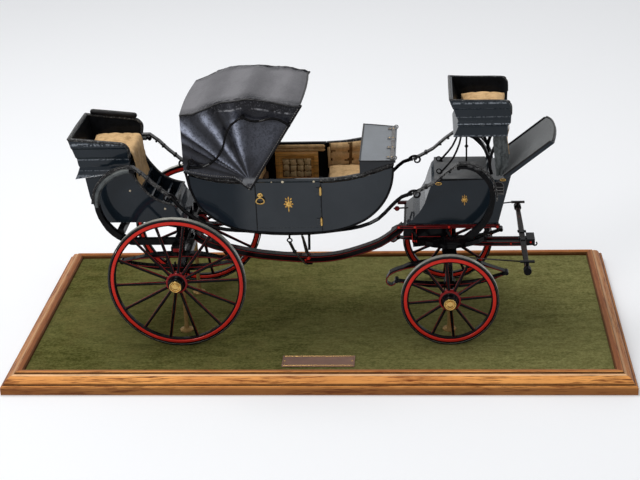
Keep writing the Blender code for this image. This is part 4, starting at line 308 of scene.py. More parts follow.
class CarriageStage(bpy.types.PropertyGroup):
    """Camera, lamps and floor."""

    lens: FloatProperty(name="Lens", description="Focal length of the camera", default=80.66, unit="CAMERA")
    top_lamp: FloatProperty(name="Top lamp", description="Power of the large lamp above", default=20.0,
                            unit="POWER")
    fill_lamp: FloatProperty(name="Fill lamp", description="Power of the lamp beside the camera",
                             default=12.0, unit="POWER")
    sky: FloatProperty(name="Sky", description="Strength of the room's light on the object", default=0.5,
                       min=0)
    floor: colour("Floor", "Pale paper floor", (0.83, 0.835, 0.85))


class CarriageSettings(bpy.types.PropertyGroup):
    """All settings of the model carriage."""

    colours: PointerProperty(type=CarriageColours)
    detail: PointerProperty(type=CarriageDetail)
    stage: PointerProperty(type=CarriageStage)


def colours():
    return bpy.context.scene.carriage.colours


def detail():
    return bpy.context.scene.carriage.detail


# Shader building


class Value:
    """A socket in a shader's tree; reckoning with it adds math nodes to that tree."""

    def __init__(self, socket):
        self.socket = socket
        self.tree = socket.id_data

    def math(self, operation, second=0.0, clamp=False):
        return math_node(self.tree, operation, self, second, clamp)

    def __abs__(self):
        return self.math("ABSOLUTE")

    def __add__(self, other):
        return self.math("ADD", other)

    def __sub__(self, other):
        return self.math("SUBTRACT", other)

    def __rsub__(self, other):
        return math_node(self.tree, "SUBTRACT", other, self)

    def __mul__(self, other):
        return self.math("MULTIPLY", other)

    def __truediv__(self, other):
        return self.math("DIVIDE", other)

    def __gt__(self, other):
        return self.math("GREATER_THAN", other)

    def __lt__(self, other):
        return self.math("LESS_THAN", other)


def node(tree, kind, inputs=None, **settings):
    """Add a node; inputs are values of the tree to link or plain values to set."""
    made = tree.nodes.new(kind)
    for key, value in settings.items():
        setattr(made, key, value)
    for key, value in (inputs or {}).items():
        if isinstance(value, Value):
            tree.links.new(value.socket, made.inputs[key])
        else:
            made.inputs[key].default_value = value
    return made


def output(tree, kind, key, inputs=None, **settings):
    """Add a node and take one of its outputs."""
    return Value(node(tree, kind, inputs, **settings).outputs[key])


def math_node(tree, operation, first, second=0.0, clamp=False):
    return output(tree, "ShaderNodeMath", 0, {0: first, 1: second}, operation=operation, use_clamp=clamp)


def vector_math(vector, operation, key, second, result=0):
    return output(vector.tree, "ShaderNodeVectorMath", result, {0: vector, key: second}, operation=operation)


def ramp(value, low, high, out_low=0.0, out_high=1.0):
    """Map a value from one span to another, held at both ends."""
    return output(value.tree, "ShaderNodeMapRange", "Result",
                  {"Value": value, "From Min": low, "From Max": high, "To Min": out_low, "To Max": out_high},
                  interpolation_type="SMOOTHSTEP")


def paint_over(factor, under, over):
    """Lay one colour over another where the factor is high."""
    under, over = (tone if isinstance(tone, Value) else (*tone, 1) for tone in (under, over))
    return output(factor.tree, "ShaderNodeMix", 2, {0: factor, 6: under, 7: over}, data_type="RGBA")


def split(vector):
    axes = node(vector.tree, "ShaderNodeSeparateXYZ", {"Vector": vector}).outputs
    return [Value(axis) for axis in axes]


def stretched(vector, scale):
    return vector_math(vector, "MULTIPLY", 1, scale)


def cloud(vector, scale, detail_steps=3.0, roughness=0.55):
    return output(vector.tree, "ShaderNodeTexNoise", "Fac",
                  {"Vector": vector, "Scale": scale, "Detail": detail_steps, "Roughness": roughness})


def start_group(name, inputs, outputs):
    """New node group with float inputs after its vector, and float outputs."""
    tree = bpy.data.node_groups.new(name, "ShaderNodeTree")
    tree.interface.new_socket("Vector", in_out="INPUT", socket_type="NodeSocketVector")
    for label, default in inputs.items():
        socket = tree.interface.new_socket(label, in_out="INPUT", socket_type="NodeSocketFloat")
        socket.default_value = default
    for label in outputs:
        tree.interface.new_socket(label, in_out="OUTPUT", socket_type="NodeSocketFloat")
    inner = tree.nodes.new("NodeGroupInput").outputs
    tree.nodes.new("NodeGroupOutput")
    return [Value(inner[label]) for label in ("Vector", *inputs)]


def end_group(*results):
    """Join the results to the group's outputs, in their order."""
    tree = results[0].tree
    outer = tree.nodes["Group Output"].inputs
    for result, target in zip(results, outer):
        tree.links.new(result.socket, target)
    return tree


def mottle_group():
    """Soft patches of another tone."""
    vector, scale, middle, width = start_group("Mottle", {"Scale": 40.0, "Middle": 0.5, "Width": 0.2},
                                               ["Mask"])
    tone = cloud(vector, scale, 5.0, 0.62)
    low = middle - width
    high = middle + width
    return end_group(ramp(tone, low, high))


def grain_group():
    """Pebbled leather grain with fine pores."""
    vector, scale = start_group("Leather grain", {"Scale": 900.0}, ["Height"])
    cells = output(vector.tree, "ShaderNodeTexVoronoi", "Distance", {"Vector": vector, "Scale": scale},
                   feature="SMOOTH_F1")
    creases = cloud(vector, scale * 0.16, 6.0, 0.6)
    return end_group(cells * 0.35 + creases)


def dust_group():
    """Dust that lies on faces turned upwards."""
    vector, scale, amount = start_group("Settled dust", {"Scale": 60.0, "Amount": 0.5}, ["Mask"])
    lying = ramp(split(face_normal(vector.tree))[2], 0.25, 0.95)
    patches = ramp(cloud(vector, scale, 6.0, 0.65), 0.25, 0.65)
    return end_group((lying * patches).math("MULTIPLY", amount, True))


def edge_group():
    """Paint or leather rubbed through along edges; on the coach paint it also gives the edges a painted highlight."""
    vector, radius, scale = start_group("Rubbed edges", {"Radius": 0.0008, "Scale": 260.0}, ["Mask"])
    flat = face_normal(vector.tree)
    soft = output(vector.tree, "ShaderNodeBevel", "Normal", {"Radius": radius}, samples=4)
    edge = ramp(vector_math(flat, "DOT_PRODUCT", 1, soft, "Value"), 0.995, 0.86)
    broken = ramp(cloud(vector, scale, 4.0, 0.6), 0.42, 0.62)
    return end_group(edge.math("MULTIPLY", broken, True))


def wood_group():
    """Wood grain that runs along X of its vector."""
    vector, scale = start_group("Wood grain", {"Scale": 1.0}, ["Tone", "Height"])
    sized = vector_math(vector, "SCALE", "Scale", scale)
    bands = cloud(stretched(sized, (9.0, 95.0, 95.0)), 1.0, 4.0, 0.6)
    pores = cloud(stretched(sized, (60.0, 1200.0, 1200.0)), 1.0, 3.0, 0.7)
    streaks = cloud(stretched(sized, (26.0, 430.0, 430.0)), 1.0, 3.0, 0.6)
    return end_group(bands * 0.38 + pores * 0.22 + streaks * 0.40, pores)


def nap_group():
    """Short wool nap."""
    vector, scale = start_group("Cloth nap", {"Scale": 1800.0}, ["Tone", "Height"])
    fine = cloud(vector, scale, 2.0, 0.6)
    clumps = cloud(stretched(vector, (1.0, 1.6, 1.0)), scale * 0.11, 5.0, 0.7)
    return end_group(fine * 0.5 + clumps * 0.5, fine)


def crease_group():
    """Sharp creases of crumpled leather, 1 on each ridge."""
    vector, scale = start_group("Creases", {"Scale": 120.0}, ["Height"])
    warp = output(vector.tree, "ShaderNodeTexNoise", "Color",
                  {"Vector": vector, "Scale": scale, "Detail": 2.0})
    bent = vector_math(vector, "ADD", 1, vector_math(warp, "SCALE", "Scale", 0.006))
    fold = abs(cloud(bent, scale, 4.0, 0.55) - 0.5)
    return end_group(ramp(fold, 0.16, 0.0))


GROUPS = {"Mottle": mottle_group, "Creases": crease_group, "Leather grain": grain_group,
          "Settled dust": dust_group, "Rubbed edges": edge_group, "Wood grain": wood_group,
          "Cloth nap": nap_group}


def face_normal(tree):
    return output(tree, "ShaderNodeNewGeometry", "Normal")


class Surface:
    """A material under construction: its tree, its shader and the place on the object."""

    def __init__(self, name):
        self.material = bpy.data.materials.new(name)
        self.material.use_nodes = True
        self.tree = self.material.node_tree
        self.shader = self.tree.nodes["Principled BSDF"]
        self.place = output(self.tree, "ShaderNodeTexCoord", "Object")

    def gloss(self, specular, coat=0.0, coat_roughness=0.1):
        """Set how much the surface and its varnish reflect."""
        self.shader.inputs["Specular IOR Level"].default_value = specular
        self.shader.inputs["Coat Weight"].default_value = coat
        self.shader.inputs["Coat Roughness"].default_value = coat_roughness

    def effect(self, name, vector=None, **values):
        """Place a shared effect with its own values."""
        group = bpy.data.node_groups.get(name) or GROUPS[name]()
        placed = node(self.tree, "ShaderNodeGroup", node_tree=group)
        self.tree.links.new((vector or self.place).socket, placed.inputs["Vector"])
        for key, value in values.items():
            placed.inputs[key.capitalize()].default_value = value
        return {socket.name: Value(socket) for socket in placed.outputs}

    def mottle(self, scale, middle, width, vector=None):
        return self.effect("Mottle", vector, scale=scale, middle=middle, width=width)["Mask"]

    def rubbed(self, radius, scale):
        return self.effect("Rubbed edges", radius=radius, scale=scale)["Mask"]

    def dust(self, scale, amount):
        return self.effect("Settled dust", scale=scale, amount=amount)["Mask"]

    def grain(self, scale):
        return self.effect("Leather grain", scale=scale)["Height"]

    def creases(self, scale):
        return self.effect("Creases", scale=scale)["Height"]

    def feed(self, socket, value):
        """Link a value to one of the shader's inputs, or set it."""
        target = self.shader.inputs[socket]
        if isinstance(value, Value):
            self.tree.links.new(value.socket, target)
        elif isinstance(value, tuple):
            target.default_value = (*value, 1)
        else:
            target.default_value = value

    def lay(self, colour, roughness):
        """Feed the base colour and the roughness."""
        self.feed("Base Color", colour)
        self.feed("Roughness", roughness)

    def bump(self, height, strength, distance):
        inputs = {"Height": height, "Strength": strength, "Distance": distance}
        self.feed("Normal", output(self.tree, "ShaderNodeBump", "Normal", inputs))


def inner_faces(surface, middle_x):
    """Faces of an open box that look towards its middle."""
    x, y = split(surface.place)[:2]
    nx, ny = split(output(surface.tree, "ShaderNodeTexCoord", "Normal"))[:2]
    across = ny * y.math("SIGN")
    along = nx * (x - middle_x).math("SIGN")
    return across.math("MINIMUM", along) < -0.35



# Finishes


def two_tones(surface, scale, first, second, roughness):
    """A plain material that wavers between two colours."""
    surface.lay(paint_over(surface.mottle(scale, 0.5, 0.3), first, second), roughness)


def coach_paint(surface, inside=None, coat=0.5, rear_coat=None, wear=0.75, scuffed=()):
    """Varnish over blue-black paint, its edges rubbed pale and lit with a painted highlight, and painted highlight
    bands along the mouldings where given; inner faces are lined with dull black leather.
    """
    c = colours()
    haze = surface.mottle(16.0, 0.52, 0.25)
    base = paint_over(haze * 0.45, c.coach_paint, (0.012, 0.018, 0.027))
    # Pale edges: partly real wear, partly a painted highlight where the edges would catch the light; wear sets how
    # strong both are.
    worn = surface.rubbed(0.0007, 420.0)
    base = paint_over(worn * wear, base, (0.34, 0.34, 0.34))
    specks = surface.mottle(600.0, 0.79, 0.02)
    base = paint_over(specks * 0.5, base, (0.22, 0.22, 0.22))
    # Painted highlights in bands along the mouldings, broken up by a mottle: height, half width and strength of each.
    if scuffed:
        z = split(surface.place)[2]
        chips = surface.mottle(430.0, 0.50, 0.06)
        for height, width, power in scuffed:
            band = ramp(abs(z - height), width, width * 0.4)
            band = band * chips * power
            base = paint_over(band, base, (0.30, 0.33, 0.37))
    gloss = ramp(haze, 0.0, 1.0, coat, coat * 1.2)
    if rear_coat is not None:
        rear = ramp(split(surface.place)[0], -0.064, -0.100)
        gloss = gloss * ramp(rear, 0.0, 1.0, 1.0, rear_coat / coat)
    rough = ramp(haze, 0.0, 1.0, 0.4, 0.5)
    if inside is not None:
        mask = inner_faces(surface, inside)
        grain = surface.grain(1100.0)
        lining = paint_over(ramp(grain, 0.3, 0.8), (0.002, 0.002, 0.002), (0.0060, 0.0066, 0.0080))
        base = paint_over(mask, base, lining)
        gloss = gloss * (1.0 - mask * 0.8)
    surface.lay(base, rough)
    surface.feed("Coat Weight", gloss)
    surface.gloss(0.03, coat, 0.07)
    waves = cloud(surface.place, 55.0, 2.0)
    surface.bump(waves, 0.12, 0.0006)


def body_paint(surface):
    coach_paint(surface, inside=-0.028, coat=0.85, rear_coat=0.28, wear=0.25)


# Painted highlight bands along the rumble seat's mouldings.
def rear_seat_paint(surface):
    coach_paint(surface, inside=-0.2350, scuffed=((0.2462, 0.0024, 0.75), (0.2268, 0.0008, 0.55),
                                                  (0.2135, 0.0007, 0.35), (0.2065, 0.0030, 0.55)))


# Painted highlight bands along the driving seat's mouldings.
def front_seat_paint(surface):
    coach_paint(surface, inside=0.1900, scuffed=((0.2888, 0.0014, 0.65), (0.2820, 0.0006, 0.25),
                                                 (0.2716, 0.0008, 0.60), (0.2634, 0.0010, 0.90),
                                                 (0.2492, 0.0010, 0.45)))


def painted_iron(surface):
    """Black enamel, glossy on the worn high spots."""
    patches = surface.mottle(130.0, 0.6, 0.12)
    base = paint_over(patches * 0.5, colours().iron, (0.014, 0.010, 0.009))
    worn = surface.rubbed(0.0004, 700.0)
    base = paint_over(worn * 0.12, base, (0.13, 0.12, 0.115))
    surface.lay(base, ramp(patches, 0.0, 1.0, 0.20, 0.42))
    surface.gloss(0.02, 0.14, 0.08)
    surface.bump(cloud(surface.place, 700.0, 3.0), 0.3, 0.0002)


def red_paint(surface, base_colour=None, dark=(0.42, 0.010, 0.008)):
    chips = surface.mottle(240.0, 0.68, 0.05)
    tone = surface.mottle(30.0, 0.5, 0.3)
    red = tuple(base_colour or colours().wheel_red)
    base = paint_over(tone * 0.45, red, dark)
    base = paint_over(chips * 0.8, base, (0.05, 0.012, 0.010))
    surface.lay(base, ramp(tone, 0.0, 1.0, 0.16, 0.32))
    surface.gloss(0.12)
    surface.bump(cloud(surface.place, 260.0, 2.0), 0.15, 0.0003)


def red_lining(surface):
    red_paint(surface, colours().lining_red, (0.10, 0.006, 0.006))


def wheel_tread(surface):
    c = colours()
    y = abs(split(surface.place)[1])
    off_centre = abs(y - HALF_TRACK)
    side = off_centre > TYRE_HALF
    marks = surface.mottle(160.0, 0.55, 0.2)
    steel = paint_over(marks * 0.55, c.tread, (0.20, 0.19, 0.16))
    surface.lay(paint_over(side, steel, c.iron), ramp(marks, 0.0, 1.0, 0.35, 0.55))
    surface.feed("Metallic", 0.45 - side * 0.45)
    surface.bump(cloud(surface.place, 900.0, 3.0), 0.2, 0.0002)


def brass(surface):
    tarnish = surface.mottle(260.0, 0.58, 0.14)
    base = paint_over(tarnish * 0.6, colours().brass, (0.30, 0.16, 0.045))
    surface.lay(base, ramp(tarnish, 0.0, 1.0, 0.2, 0.42))
    surface.feed("Metallic", 1.0)
    surface.bump(cloud(surface.place, 500.0, 3.0), 0.12, 0.0002)


def gilt(surface):
    """Gold paint or leaf of the small ornaments."""
    relief = surface.mottle(600.0, 0.5, 0.15)
    surface.lay(paint_over(relief, (0.80, 0.50, 0.13), (0.42, 0.21, 0.04)), 0.36)
    surface.feed("Metallic", 0.55)
    surface.bump(relief, 0.4, 0.0003)


def baize(surface):
    """Wool covering of the board; the posts that stand on it are brass."""
    nap = surface.effect("Cloth nap", scale=1500.0)
    brushed = surface.mottle(9.0, 0.52, 0.16)
    worn = surface.mottle(34.0, 0.55, 0.14)
    tufts = surface.mottle(330.0, 0.50, 0.13)
    streaks = surface.mottle(90.0, 0.5, 0.16, stretched(surface.place, (0.4, 1.6, 1.0)))
    light = tufts * 0.55 + streaks * 0.45
    base = paint_over(light, (0.058, 0.060, 0.014), colours().baize)
    base = paint_over(brushed * 0.40, base, (0.235, 0.222, 0.084))
    base = paint_over(worn * 0.30, base, (0.190, 0.145, 0.050))
    # Painted light: the baize gets paler towards +x, as if lit more strongly from that side.
    faded = ramp(split(surface.place)[0], -0.26, 0.34, 0.0, 0.75)
    faded = faded * ramp(light, 0.0, 1.0, 0.4, 1.0)
    base = paint_over(faded, base, (0.310, 0.295, 0.115))
    # Painted shade in the low places of the nap.
    base = paint_over(ramp(nap["Tone"], 0.56, 0.40, 0.0, 0.40), base, (0.036, 0.038, 0.010))
    fluff = surface.mottle(520.0, 0.73, 0.03)
    base = paint_over(fluff * 0.45, base, (0.55, 0.52, 0.26))
    height = split(surface.place)[2]
    post = height > POST_FOOT_Z
    tarnish = surface.mottle(300.0, 0.55, 0.2)
    metal = paint_over(tarnish * 0.5, (0.36, 0.23, 0.09), (0.14, 0.080, 0.028))
    surface.feed("Base Color", paint_over(post, base, metal))
    surface.feed("Metallic", post * 0.35)
    surface.feed("Roughness", 0.95 - post * 0.67)
    surface.gloss(0.0)
    rough_cloth = nap["Height"] * (1.0 - post)
    surface.bump(rough_cloth, 0.9, 0.0012)


def oak(surface):
    """Stained moulding: the grain runs along each member and turns at the mitres."""
    x, y, z = split(surface.place)
    end_margin = PLINTH_HALF[0] - abs(x)
    side_margin = PLINTH_HALF[1] - abs(y)
    end_member = end_margin < side_margin
    turned = output(surface.tree, "ShaderNodeCombineXYZ", 0, {"X": y, "Y": x + 0.7, "Z": z})
    along = output(surface.tree, "ShaderNodeMix", 1, {0: end_member, 4: surface.place, 5: turned},
                   data_type="VECTOR")
    grain = surface.effect("Wood grain", along, scale=1.7)
    light = colours().oak
    base = paint_over(ramp(grain["Tone"], 0.38, 0.54), (0.110, 0.030, 0.009), light)
    tint = surface.mottle(12.0, 0.5, 0.2, stretched(along, (0.5, 2.0, 2.0)))
    base = paint_over(tint * 0.45, base, (0.38, 0.090, 0.024))
    # Members of the moulding: a darker foot, the round face with a painted highlight along its top, and the inner
    # bead, with painted shade in the grooves between them
    margin = end_margin.math("MINIMUM", side_margin)
    for place, width, power, tone in ((0.0002, 0.0016, 0.45, (0.10, 0.030, 0.010)),
                                      (0.0032, 0.0012, 0.90, (0.020, 0.007, 0.003)),
                                      (0.0122, 0.0020, 0.70, (1.0, 0.66, 0.38)),
                                      (0.0142, 0.0009, 0.92, (0.020, 0.007, 0.003)),
                                      (0.0186, 0.0036, 0.80, (0.26, 0.075, 0.024)),
                                      (0.0216, 0.0010, 0.90, (0.020, 0.007, 0.003))):
        band = ramp(abs(margin - place), width, width * 0.4)
        band = band * ramp(grain["Tone"], 0.38, 0.55, power * 0.7, power)
        base = paint_over(band, base, tone)
    foot = ramp(z, 0.0088, 0.0076, 0.0, 0.50)
    base = paint_over(foot, base, (0.13, 0.045, 0.020))
    # Painted shade: the end members are darker than the side members.
    base = paint_over(end_member * 0.55, base, (0.16, 0.055, 0.028))
    worn = surface.rubbed(0.0012, 90.0)
    base = paint_over(worn * 0.25, base, (0.90, 0.50, 0.22))
    surface.lay(base, ramp(grain["Tone"], 0.3, 0.7, 0.45, 0.30))
    surface.gloss(0.05)
    surface.bump(grain["Height"], 0.4, 0.0003)


def copper_plate(surface):
    brushed = cloud(stretched(surface.place, (60.0, 2600.0, 900.0)), 1.0, 3.0)
    tone = surface.mottle(70.0, 0.5, 0.25)
    base = paint_over(tone * 0.6, colours().plate, (0.20, 0.11, 0.085))
    worn = surface.rubbed(0.0006, 300.0)
    base = paint_over(worn, base, (0.62, 0.38, 0.25))
    surface.feed("Base Color", base)
    surface.feed("Metallic", 0.75)
    surface.feed("Roughness", ramp(brushed, 0.3, 0.7, 0.30, 0.5))
    surface.bump(brushed, 0.2, 0.0002)


def leather(surface, base_colour, dusty, grain_scale, shine, amount, specular=0.12):
    """Coated leather: grain, rubbed highlights on ridges and dust on top."""
    grain = surface.grain(grain_scale)
    dust = surface.dust(55.0, amount)
    tone = surface.mottle(45.0, 0.5, 0.25)
    lighter = tuple(min(1.0, part * 1.9) for part in base_colour)
    base = paint_over(tone * 0.5, tuple(base_colour), lighter)
    base = paint_over(ramp(grain, 0.72, 0.45), base, tuple(part * 0.55 for part in base_colour))
    base = paint_over(dust, base, tuple(dusty))
    surface.feed("Base Color", base)
    rough = ramp(tone, 0.0, 1.0, shine, shine + 0.14)
    surface.feed("Roughness", rough.math("ADD", dust * 0.35, True))
    surface.bump(grain, 0.5, 0.0006)
    surface.gloss(specular)


def hood_side(surface):
    """Dark coated leather with a painted highlight in blue-grey along the fold ridges, painted shade between them and
    under the seam, a broken painted highlight along the seam, pale scuffs where it crumples, and dust.
    """
    x, _, z = split(surface.place)
    angle = (z - (HOOD_PIVOT[1] - 0.004)).math("ARCTAN2", x - HOOD_PIVOT[0])
    stray = (cloud(surface.place, 42.0, 2.0) - 0.5) * 0.07
    angle = (angle + stray) / math.pi
    # Painted light across the folds: each fold's height from FOLDS becomes a painted highlight on the ridges and
    # painted shade in the valleys.
    folds = node(surface.tree, "ShaderNodeValToRGB", {"Fac": angle})
    folds.color_ramp.interpolation = "EASE"
    for degrees, _ in FOLDS[1:-1]:
        folds.color_ramp.elements.new(degrees / 180)
    for stop, (degrees, height) in zip(folds.color_ramp.elements, FOLDS):
        stop.position = degrees / 180
        stop.color = (max(0.0, height) ** 2.2,) * 3 + (1,)
    ridge = Value(folds.outputs["Color"])
    creases = surface.creases(95.0)
    fine = surface.creases(260.0)
    grain = surface.grain(900.0)
    foot = ramp(z, 0.2160, 0.2050)
    below = z - abs(x + PIVOT_BACK) * -0.17
    crown = ramp(below, 0.2880, 0.2990)
    crumpled = crown.math("MAXIMUM", foot)
    tone = surface.mottle(38.0, 0.5, 0.3)
    lit = ridge * ramp(tone, 0.0, 1.0, 0.55, 1.0)
    lit = lit * ramp(crown, 0.0, 1.0, 1.0, 0.25)
    # Painted shade just under the seam, where the highlight is held back.
    upper = ramp(below, 0.2800, 0.2860) * ramp(x, -0.100, -0.090)
    lit = lit * (1.0 - upper * 0.75)
    near = ramp(abs(x + PIVOT_BACK) + (z - HOOD_PIVOT[1]), 0.010, 0.045, 0.35, 1.0)
    lit = lit * near
    lit = lit * ramp(fine, 0.25, 0.80, 0.60, 1.15)
    # The painted light sets the colour between near-black shade and the blue-grey highlight.
    base = paint_over(lit.math("MINIMUM", 1.0), (0.0060, 0.0056, 0.0085), (0.400, 0.430, 0.540))
    tip = ramp(z, 0.2125, 0.2085) * ramp(abs(x + 0.0700), 0.0190, 0.0130)
    tip = tip * ramp(creases, 0.30, 0.75, 0.15, 0.85)
    base = paint_over(tip, base, (0.23, 0.235, 0.25))
    # A broken painted highlight along the seam.
    welt = ramp(abs(below - 0.2945), 0.0013, 0.0005)
    welt = welt * ramp(x, -0.108, -0.094)
    welt = welt * ramp(cloud(surface.place, 150.0, 3.0), 0.42, 0.62, 0.0, 0.9)
    base = paint_over(welt, base, (0.30, 0.30, 0.32))
    scuffs = surface.mottle(800.0, 0.62, 0.05)
    wear = scuffs * crumpled * ramp(fine, 0.25, 0.85)
    base = paint_over(wear * 0.8, base, (0.26, 0.26, 0.28))
    pale = foot * ramp(creases, 0.55, 0.95, 0.0, 0.55)
    base = paint_over(pale, base, (0.17, 0.175, 0.19))
    dust = surface.dust(80.0, 0.45)
    surface.feed("Base Color", paint_over(dust, base, (0.070, 0.070, 0.082)))
    rough = ramp(tone, 0.0, 1.0, 0.26, 0.36)
    surface.feed("Roughness", rough.math("ADD", crumpled * 0.08, True))
    height = grain * 0.12 + creases * (crumpled * 1.1 + 0.10)
    height = height + fine * (crumpled * 0.5 + 0.03)
    surface.bump(height, 0.7, 0.0014)
    surface.gloss(0.14, 0.18, 0.16)


def hood_roof(surface):
    """The same leather under dust, with a painted highlight along the bows, dark and creased towards the seams."""
    c = colours()
    x, y = split(surface.place)[:2]
    grain = surface.grain(900.0)
    speckle = surface.mottle(480.0, 0.5, 0.14)
    warp = cloud(surface.place, 20.0, 2.0) * 0.016
    # The bows' term in the amount below is a painted highlight along the bows, laid in the dust colour.
    bows = ((x + warp + 0.0800) * (2 * math.pi / BOW_SPACING)).math("COSINE")
    dust = ramp(cloud(stretched(surface.place, (34.0, 14.0, 34.0)), 1.0, 5.0, 0.6), 0.2, 0.8)
    amount = dust * 0.36 + bows * 0.22
    amount = amount + speckle * 0.16
    edge = ramp(abs(y), 0.0430, 0.0610)
    amount = amount + 0.56 - edge * 0.56
    base = paint_over(amount, c.hood, c.dust)
    flecks = surface.mottle(800.0, 0.66, 0.04)
    flecks = flecks * (edge * 0.55 + 0.06)
    surface.lay(paint_over(flecks, base, (0.30, 0.30, 0.31)), ramp(amount, 0.2, 0.9, 0.36, 0.75))
    creases = surface.creases(70.0)
    height = grain * 0.5 + creases * (edge * 1.0 + 0.05)
    surface.bump(height, 0.6, 0.0012)
    surface.gloss(0.14)


def hood_lining(surface):
    nap = surface.effect("Cloth nap", scale=1200.0)
    surface.lay(paint_over(nap["Tone"], (0.045, 0.034, 0.026), (0.13, 0.10, 0.075)), 0.9)
    surface.bump(nap["Height"], 0.5, 0.0005)


def strap_leather(surface):
    leather(surface, colours().strap, (0.12, 0.115, 0.105), 1100.0, 0.30, 0.28)


def worn_leather(surface):
    """Old black leather, rubbed pale along its edges and in pale scuffs along its creases."""
    creases = surface.creases(240.0)
    worn = surface.rubbed(0.0009, 600.0)
    scuffs = surface.mottle(520.0, 0.57, 0.07)
    scuffs = scuffs * ramp(creases, 0.2, 0.9)
    pale = worn.math("MAXIMUM", scuffs) * 0.6
    surface.lay(paint_over(pale, colours().strap, (0.30, 0.295, 0.28)), ramp(pale, 0.0, 0.6, 0.32, 0.55))
    surface.bump(creases, 0.6, 0.0007)
    surface.gloss(0.12, 0.2, 0.15)


def grey_leather(surface):
    """Grey leather gone shiny, with stains."""
    leather(surface, (0.075, 0.083, 0.084), (0.26, 0.27, 0.25), 700.0, 0.34, 0.75, specular=0.25)


def tan_crease(surface):
    """Painted shade in the folds between the puffs of the tan leather."""
    two_tones(surface, 300.0, (0.075, 0.040, 0.016), (0.20, 0.110, 0.046), 0.8)
    surface.gloss(0.05)


def apron_leather(surface):
    """Pale blue-grey on top, dark slate on the cheeks."""
    up = split(face_normal(surface.tree))[2]
    tone = surface.mottle(24.0, 0.5, 0.3)
    grain = surface.grain(1100.0)
    top = paint_over(tone, colours().apron, (0.20, 0.215, 0.235))
    base = paint_over(ramp(up, 0.35, 0.75), (0.018, 0.020, 0.024), top)
    flecks = surface.mottle(300.0, 0.68, 0.04)
    surface.lay(paint_over(flecks * 0.35, base, (0.05, 0.05, 0.055)), ramp(tone, 0.0, 1.0, 0.34, 0.46))
    surface.bump(grain, 0.25, 0.0003)
    surface.gloss(0.3)


def boot_lid(surface):
    leather(surface, (0.045, 0.048, 0.052), (0.15, 0.15, 0.148), 800.0, 0.36, 0.7)


def ribbed_mat(surface):
    """Footboard covering: fine ribs across the board."""
    y = split(surface.place)[1]
    rib = (y * (2 * math.pi / RIB_PITCH)).math("SINE")
    fleck = surface.mottle(520.0, 0.55, 0.12)
    base = paint_over(ramp(rib, -1.0, 1.0), (0.070, 0.074, 0.076), (0.225, 0.230, 0.232))
    surface.lay(paint_over(fleck * 0.3, base, (0.16, 0.16, 0.155)), 0.62)
    surface.gloss(0.1)
    surface.bump(rib, 0.5, 0.0004)


def tan_leather(surface, base_colour=None, dark=(0.22, 0.115, 0.042)):
    light = tuple(base_colour or colours().tan)
    grain = surface.grain(900.0)
    stains = surface.mottle(85.0, 0.58, 0.16)
    pale = surface.mottle(180.0, 0.62, 0.12)
    base = paint_over(stains * 0.42, light, dark)
    base = paint_over(pale * 0.35, base, tuple(min(1.0, p * 1.35) for p in light))
    base = paint_over(ramp(grain, 0.70, 0.42, 0.0, 0.35), base, dark)
    surface.lay(base, ramp(stains, 0.0, 1.0, 0.62, 0.8))
    surface.gloss(0.08)
    surface.bump(grain, 0.55, 0.0006)


def door_pad(surface):
    tan_leather(surface, colours().door_pad, (0.035, 0.022, 0.012))


def amber_wood(surface):
    grain = surface.effect("Wood grain", scale=1.6)
    light = colours().amber
    base = paint_over(ramp(grain["Tone"], 0.36, 0.62), tuple(part * 0.38 for part in light), light)
    surface.lay(base, 0.3)
    surface.bump(grain["Height"], 0.2, 0.0002)


def plain_wood(surface):
    grain = surface.effect("Wood grain", scale=1.3)
    surface.feed("Base Color", paint_over(ramp(grain["Tone"], 0.35, 0.65), (0.07, 0.035, 0.015),
                                          (0.21, 0.12, 0.06)))
    surface.feed("Roughness", 0.6)
    surface.bump(grain["Height"], 0.25, 0.0003)


def worn_steel(surface):
    patches = surface.mottle(140.0, 0.5, 0.14)
    base = paint_over(patches, (0.060, 0.055, 0.052), (0.19, 0.185, 0.18))
    rust = surface.mottle(210.0, 0.66, 0.08)
    surface.feed("Base Color", paint_over(rust * 0.7, base, (0.16, 0.06, 0.035)))
    surface.feed("Metallic", 0.35)
    surface.feed("Roughness", ramp(patches, 0.0, 1.0, 0.42, 0.6))
    surface.bump(cloud(surface.place, 600.0, 4.0), 0.3, 0.0003)


def old_ash(surface):
    """Splinter bar: brown-black paint rubbed paler in patches, rust red in patches, black ferrules at the ends."""
    patches = surface.mottle(150.0, 0.56, 0.12)
    base = paint_over(patches, (0.004, 0.003, 0.003), (0.034, 0.026, 0.023))
    rust = surface.mottle(210.0, 0.62, 0.08)
    base = paint_over(rust * 0.8, base, (0.13, 0.030, 0.022))
    ends = abs(split(surface.place)[1]) > 0.086
    surface.lay(paint_over(ends, base, colours().iron), ramp(patches, 0.0, 1.0, 0.35, 0.6))
    surface.gloss(0.03, 0.08, 0.2)
    surface.bump(cloud(surface.place, 600.0, 4.0), 0.3, 0.0003)


def cream_bone(surface):
    two_tones(surface, 400.0, colours().cream, (0.55, 0.44, 0.28), 0.3)


def pale_stitch(surface):
    two_tones(surface, 500.0, (0.42, 0.40, 0.36), (0.16, 0.15, 0.14), 0.8)


def finish(name):
    """The named finish, built the first time that it is asked for."""
    found = bpy.data.materials.get("finish_" + name)
    if found:
        return found
    surface = Surface("finish_" + name)
    globals()[name](surface)
    return surface.material


# Mesh building


def lerp(a, b, t):
    return a + (b - a) * t


def at_x(path, x):
    """Height of a left-to-right outline at x."""
    for (x0, z0), (x1, z1) in zip(path, path[1:]):
        if x0 <= x <= x1 and x1 > x0:
            return lerp(z0, z1, (x - x0) / (x1 - x0))
    return path[0][1] if x < path[0][0] else path[-1][1]


